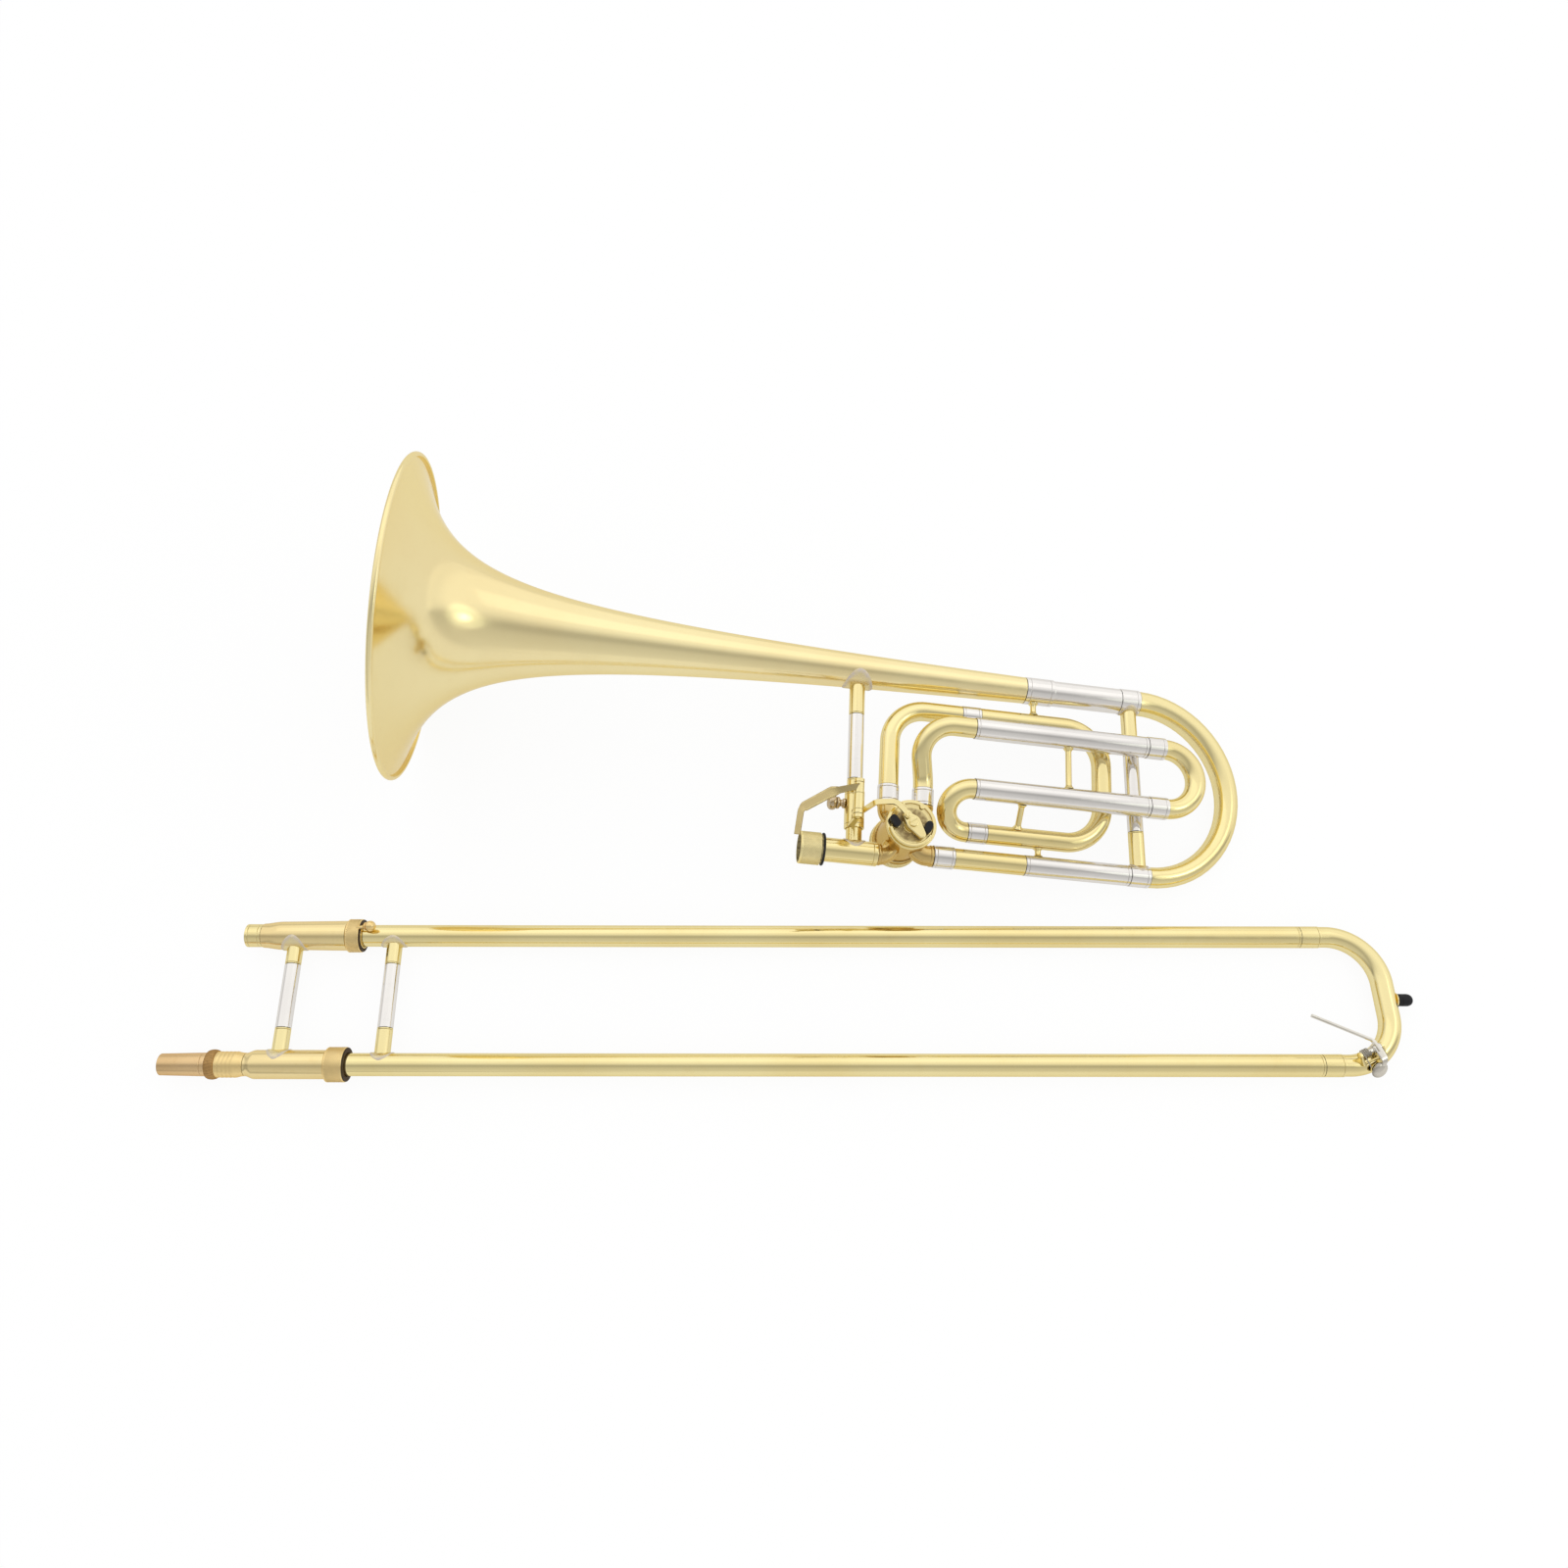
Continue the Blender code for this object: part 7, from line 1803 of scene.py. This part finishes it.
def build_key_lever():
    """The water key: its barrel, its touch, its arm, and the domed cup with a cork."""
    pivot, along, outwards = key_frame()
    half, bore = KEY_BARREL_LENGTH / 2, KEY_PIN_RADIUS + SLIDING_GAP
    step = half - KEY_BARREL_SOLID
    key = Workpiece().turn(
        [
            # The barrel's groove is painted dark: shade in the groove, and dirt
            (step, KEY_BARREL_RADIUS), Stop(step + 0.0006, KEY_BARREL_RADIUS - 0.0002, 0, 0.7),
            (step + 0.0010, KEY_BARREL_RADIUS), (half, KEY_BARREL_RADIUS), (half, bore), (-half, bore),
            (-half, KEY_SPOOL_RADIUS), (step, KEY_SPOOL_RADIUS),
        ],
        (along, UP), pivot, True, 36,
    )
    base = pivot + along * (half - KEY_BARREL_SOLID / 2) + UP * (KEY_BARREL_RADIUS - 0.0005)
    tip = base - outwards * KEY_TOUCH_REACH - along * KEY_TOUCH_BACK + UP * KEY_TOUCH_RISE
    touch = [base + outwards * KEY_BARREL_RADIUS, base - outwards * KEY_TOUCH_BEND, tip]
    bank = along - outwards * 0.1
    key.strip(
        rounded_route(touch, [KEY_TOUCH_BEND / 2], 10), KEY_TOUCH_WIDTH, KEY_TOUCH_THICKNESS,
        (bank, bank), (1.0, 0.6),
    )
    middle, way = nipple_line()
    cork = middle + way * (BOW_RADIUS + NIPPLE_LENGTH + GAP)
    axis = way, way.cross(along).normalized()
    dome = []
    # The dome is painted darker towards its edge: painted shade
    for angle in range(0, 87, 12):
        radius, rise = polar(angle, 1.0)
        height = KEY_CUP_DEPTH * (0.25 + 0.75 * rise)
        dome.append(Stop(height, KEY_CUP_RADIUS * radius, 0.0, max(0.0, 0.85 - angle / 60)))
    key.turn([(0.0004, KEY_CUP_RADIUS), *dome], axis, cork, False, 40)
    crest = base + outwards * (KEY_PIVOT_INSET + BOW_RADIUS / 2)
    arm = [base - outwards * 0.0005, crest, cork + way * KEY_CUP_DEPTH * 2 / 3]
    key.strip(rounded_route(arm, [0.0040], 10), KEY_ARM_WIDTH, KEY_THICKNESS, (UP, way), (1.0, 0.7))
    key.finish("water_key_lever", "water_key", "plated_key", ["water_key"])
    pad = [(0, KEY_CUP_RADIUS - 0.0008), (0.0008, KEY_CUP_RADIUS - 0.0008)]
    Workpiece().turn(pad, axis, cork, False, 36).finish("water_key_cork", "water_key", "black_rubber")


def build_key_spring():
    """The coiled spring round the water key's barrel, with one straight leg."""
    pivot, along, outwards = key_frame()
    wire = sizes().spring_wire_radius
    start = pivot - along * (KEY_BARREL_LENGTH / 2 - wire - GAP)
    points = [start + outwards * SPRING_LEG + UP * (SPRING_RADIUS - SPRING_LEG_DROP)]
    for i in range(SPRING_CURLS * SPRING_STEPS + 1):
        curls = i / SPRING_STEPS
        turn = 2 * math.pi * curls
        ring = (UP * math.cos(turn) - outwards * math.sin(turn)) * SPRING_RADIUS
        points.append(start + ring + along * SPRING_PITCH * curls)
    Workpiece().sweep(points, wire, None, 12).finish(
        "water_key_coil", "water_key", "spring_steel", ["water_key_spring"]
    )


# Stage

def floor_material():
    """A pale studio floor that reads white in the view and in the metal, and keeps the object's shadow."""
    made = bpy.data.materials.new("studio_floor")
    made.use_nodes = True
    tree = made.node_tree
    tree.nodes.clear()
    place = add_node(tree, "ShaderNodeTexCoord").outputs["Object"]
    paper = mixed(tree, noise(tree, place, 3.0), (*finishes().floor, 1), (0.95, 0.95, 0.95, 1))
    matt = add_node(tree, "ShaderNodeBsdfDiffuse", {"Color": paper})
    rays = add_node(tree, "ShaderNodeLightPath").outputs
    mirrored = math_node(tree, "ADD", rays["Is Glossy Ray"], rays["Is Transmission Ray"], True)
    dimmed = math_node(tree, "SUBTRACT", 1.0, math_node(tree, "MULTIPLY", mirrored, 0.16))
    glow = add_node(tree, "ShaderNodeEmission", {"Color": (1, 1, 1, 1), "Strength": dimmed})
    seen = math_node(
        tree, "ADD", math_node(tree, "MULTIPLY", rays["Is Camera Ray"], 0.92),
        math_node(tree, "MULTIPLY", mirrored, 0.75), True,
    )
    both = add_node(tree, "ShaderNodeMixShader", {0: seen, 1: matt.outputs[0], 2: glow.outputs[0]})
    out = tree.nodes.new("ShaderNodeOutputMaterial")
    tree.links.new(both.outputs[0], out.inputs["Surface"])
    return made


def banded(tree, angle, stops):
    """A grey ramp of an angle that runs from 0 to 1 over half a turn."""
    made = add_node(tree, "ShaderNodeValToRGB", {"Fac": angle})
    points = made.color_ramp.elements
    while len(points) < len(stops):
        points.new(0.5)
    for point, (place, value) in zip(points, stops):
        point.position = place
        point.color = (value, value, value, 1)
    return made.outputs["Color"]


def build_world():
    """A white studio. In the metal, the softboxes show as bright bands with darker gaps between them."""
    world = bpy.data.worlds.new("studio")
    bpy.context.scene.world = world
    world.use_nodes = True
    tree = world.node_tree
    tree.nodes.clear()
    way = add_node(tree, "ShaderNodeTexCoord").outputs["Generated"]
    split = add_node(tree, "ShaderNodeSeparateXYZ", {0: way}).outputs
    back = math_node(tree, "MULTIPLY", split["Y"], -1.0)
    rise = math_node(tree, "MAXIMUM", split["Z"], 0.0)
    deep = math_node(tree, "DIVIDE", math_node(tree, "ARCTAN2", rise, back), math.pi)
    wide = math_node(tree, "DIVIDE", math_node(tree, "ARCTAN2", rise, split["X"]), math.pi)
    first = banded(tree, deep, DEEP_BANDS)
    second = banded(tree, wide, WIDE_BANDS)
    bands = mixed(tree, 1.0, first, second, "MULTIPLY")
    rays = add_node(tree, "ShaderNodeLightPath").outputs
    seen = mixed(tree, rays["Is Camera Ray"], bands, (1, 1, 1, 1))
    shown = math_node(tree, "ADD", rays["Is Camera Ray"], rays["Is Glossy Ray"], True)
    shown = math_node(tree, "ADD", shown, rays["Is Transmission Ray"], True)
    colour = mixed(tree, shown, (1, 1, 1, 1), seen)
    glow = add_node(tree, "ShaderNodeBackground", {"Color": colour, "Strength": 1.0})
    out = tree.nodes.new("ShaderNodeOutputWorld")
    tree.links.new(glow.outputs[0], out.inputs["Surface"])


def add_softbox(name, shape, place, target, width, height, radiance, colour=(1, 1, 1)):
    """A soft lamp that faces a point. radiance is how much it adds to the studio behind it."""
    lamp = bpy.data.lights.new(name, "AREA")
    lamp.shape = shape
    lamp.size, lamp.size_y = width, height
    lamp.energy = radiance * math.pi * width * height * (math.pi / 4 if shape == "ELLIPSE" else 1)
    lamp.color = colour
    made = bpy.data.objects.new(name, lamp)
    bpy.context.scene.collection.objects.link(made)
    made.location = place
    made.rotation_euler = (Vector(target) - Vector(place)).to_track_quat("-Z", "Y").to_euler()


def build_stage():
    """The studio: floor, softboxes, world and the photograph's camera."""
    scene = bpy.context.scene
    mesh = bpy.data.meshes.new("studio_floor")
    work = bmesh.new()
    bmesh.ops.create_grid(work, x_segments=1, y_segments=1, size=FLOOR_SIZE)
    work.to_mesh(mesh)
    work.free()
    mesh.materials.append(floor_material())
    ground = bpy.data.objects.new("studio_floor", mesh)
    ground.location = (0, 0, cad_box[0].z - FLOOR_DROP)
    scene.collection.objects.link(ground)
    build_world()
    add_softbox("far_softbox", "RECTANGLE", (0, 0.95, 1.5), (0, 0, 0), 2.6, 1.0, 0.14)
    add_softbox("bell_lamp", "ELLIPSE", (1.06, -0.24, 0.92), LAMP_TARGET, 0.28, 0.25, 1.70, LAMP_TINT)
    add_softbox("bell_glow", "ELLIPSE", (1.14, -0.24, 0.98), LAMP_TARGET, 1.00, 0.70, 0.45, LAMP_TINT)
    camera = bpy.data.cameras.new("camera")
    camera.sensor_width = CAMERA_SENSOR_WIDTH
    camera.lens = CAMERA_LENS
    camera.clip_start, camera.clip_end = 0.01, 50.0
    made = bpy.data.objects.new("camera", camera)
    made.location = CAMERA_PLACE
    made.rotation_euler = (CAMERA_TILT, 0, 0)
    scene.collection.objects.link(made)
    scene.camera = made
    scene.view_settings.view_transform = "Standard"


def dress_rotor():
    """The rotor shows only through its casing's seams, so its solid stays, with a polished finish."""
    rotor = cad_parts.get("rotor")
    if rotor is None:
        raise RuntimeError("the packed part has no rotor")
    rotor.data.materials.clear()
    rotor.data.materials.append(material_named("nickel_silver"))


# Add-on

class TROMBONE_OT_bell(bpy.types.Operator):
    """Build the flared bell with its rolled rim"""

    bl_idname = "trombone.bell"
    bl_label = "Bell"

    def execute(self, context):
        build_bell()
        return {"FINISHED"}


class TROMBONE_OT_fixed_tubes(bpy.types.Operator):
    """Build the tuning slide's fixed sleeves and the neck"""

    bl_idname = "trombone.fixed_tubes"
    bl_label = "Fixed tubes"

    def execute(self, context):
        build_fixed_tubes()
        return {"FINISHED"}


class TROMBONE_OT_main_slide(bpy.types.Operator):
    """Build the main tuning slide's legs and crook"""

    bl_idname = "trombone.main_slide"
    bl_label = "Main tuning slide"

    def execute(self, context):
        build_main_slide()
        return {"FINISHED"}


class TROMBONE_OT_braces(bpy.types.Operator):
    """Build the four braces with their grips and saddles"""

    bl_idname = "trombone.braces"
    bl_label = "Braces"

    def execute(self, context):
        build_braces()
        return {"FINISHED"}


class TROMBONE_OT_receiver(bpy.types.Operator):
    """Build the hand slide's receiver and its knurled nut"""

    bl_idname = "trombone.receiver"
    bl_label = "Receiver"

    def execute(self, context):
        build_receiver()
        return {"FINISHED"}


class TROMBONE_OT_valve(bpy.types.Operator):
    """Build the rotary valve: casing, back cap, front plate, bumpers, stop arm and rotor"""

    bl_idname = "trombone.valve"
    bl_label = "Rotary valve"

    def execute(self, context):
        build_valve_casing()
        build_back_cap()
        build_front_plate()
        build_bumpers()
        build_stop_arm()
        dress_rotor()
        return {"FINISHED"}


class TROMBONE_OT_f_tubing(bpy.types.Operator):
    """Build the F attachment's fixed tubing"""

    bl_idname = "trombone.f_tubing"
    bl_label = "F tubing"

    def execute(self, context):
        build_f_fittings()
        build_f_bends()
        return {"FINISHED"}


class TROMBONE_OT_f_slide(bpy.types.Operator):
    """Build the F tuning slide"""

    bl_idname = "trombone.f_slide"
    bl_label = "F tuning slide"

    def execute(self, context):
        build_f_slide()
        return {"FINISHED"}


class TROMBONE_OT_stays(bpy.types.Operator):
    """Build the turned stays of the F attachment"""

    bl_idname = "trombone.stays"
    bl_label = "Stays"

    def execute(self, context):
        build_stays()
        return {"FINISHED"}


class TROMBONE_OT_thumb_lever(bpy.types.Operator):
    """Build the thumb lever with its clamp, rest knob and link"""

    bl_idname = "trombone.thumb_lever"
    bl_label = "Thumb lever"

    def execute(self, context):
        build_lever_bracket()
        build_thumb_lever()
        build_link()
        return {"FINISHED"}


class TROMBONE_OT_tenon(bpy.types.Operator):
    """Build the hand slide's tenon and threaded collar"""

    bl_idname = "trombone.tenon"
    bl_label = "Tenon"

    def execute(self, context):
        build_tenon()
        build_tenon_collar()
        return {"FINISHED"}


class TROMBONE_OT_barrels(bpy.types.Operator):
    """Build the cork barrels, the mouthpiece receiver and the lock ring"""

    bl_idname = "trombone.barrels"
    bl_label = "Barrels"

    def execute(self, context):
        build_lower_barrel()
        build_upper_barrel()
        build_lock_ring()
        return {"FINISHED"}


class TROMBONE_OT_slide_tubes(bpy.types.Operator):
    """Build the hand slide's inner and outer tubes"""

    bl_idname = "trombone.slide_tubes"
    bl_label = "Slide tubes"

    def execute(self, context):
        build_slide_tubes()
        return {"FINISHED"}


class TROMBONE_OT_bow(bpy.types.Operator):
    """Build the bow with its ferrules, nipple and bumper"""

    bl_idname = "trombone.bow"
    bl_label = "Bow"

    def execute(self, context):
        build_bow()
        build_bow_bumper()
        return {"FINISHED"}


class TROMBONE_OT_water_key(bpy.types.Operator):
    """Build the water key, its saddle and its spring"""

    bl_idname = "trombone.water_key"
    bl_label = "Water key"

    def execute(self, context):
        build_key_saddle()
        build_key_lever()
        build_key_spring()
        return {"FINISHED"}


class TROMBONE_OT_stage(bpy.types.Operator):
    """Build the studio: floor, softboxes, world and camera"""

    bl_idname = "trombone.stage"
    bl_label = "Stage"

    def execute(self, context):
        build_stage()
        return {"FINISHED"}


STEPS = (
    TROMBONE_OT_bell, TROMBONE_OT_fixed_tubes, TROMBONE_OT_main_slide, TROMBONE_OT_braces,
    TROMBONE_OT_receiver, TROMBONE_OT_valve, TROMBONE_OT_f_tubing, TROMBONE_OT_f_slide,
    TROMBONE_OT_stays, TROMBONE_OT_thumb_lever, TROMBONE_OT_tenon, TROMBONE_OT_barrels,
    TROMBONE_OT_slide_tubes, TROMBONE_OT_bow, TROMBONE_OT_water_key, TROMBONE_OT_stage,
)


class TROMBONE_PT_panel(bpy.types.Panel):
    """Lists the instrument's pieces, sizes and finishes"""

    bl_idname = "TROMBONE_PT_panel"
    bl_label = "Tenor Trombone"
    bl_space_type = "VIEW_3D"
    bl_region_type = "UI"
    bl_category = "Trombone"

    def draw(self, context):
        for step in STEPS:
            self.layout.operator(step.bl_idname)
        for group in (context.scene.trombone_sizes, context.scene.trombone_finishes):
            box = self.layout.box()
            for name in type(group).__annotations__:
                box.prop(group, name)


CLASSES = (TromboneSizes, TromboneFinishes, *STEPS, TROMBONE_PT_panel)


def register():
    for cls in CLASSES:
        bpy.utils.register_class(cls)
    bpy.types.Scene.trombone_sizes = bpy.props.PointerProperty(type=TromboneSizes)
    bpy.types.Scene.trombone_finishes = bpy.props.PointerProperty(type=TromboneFinishes)


def unregister():
    del bpy.types.Scene.trombone_finishes
    del bpy.types.Scene.trombone_sizes
    for cls in reversed(CLASSES):
        bpy.utils.unregister_class(cls)


def main():
    register()
    for step in STEPS:
        group, name = step.bl_idname.split(".")
        getattr(getattr(bpy.ops, group), name)()


if __name__ == "__main__":
    main()
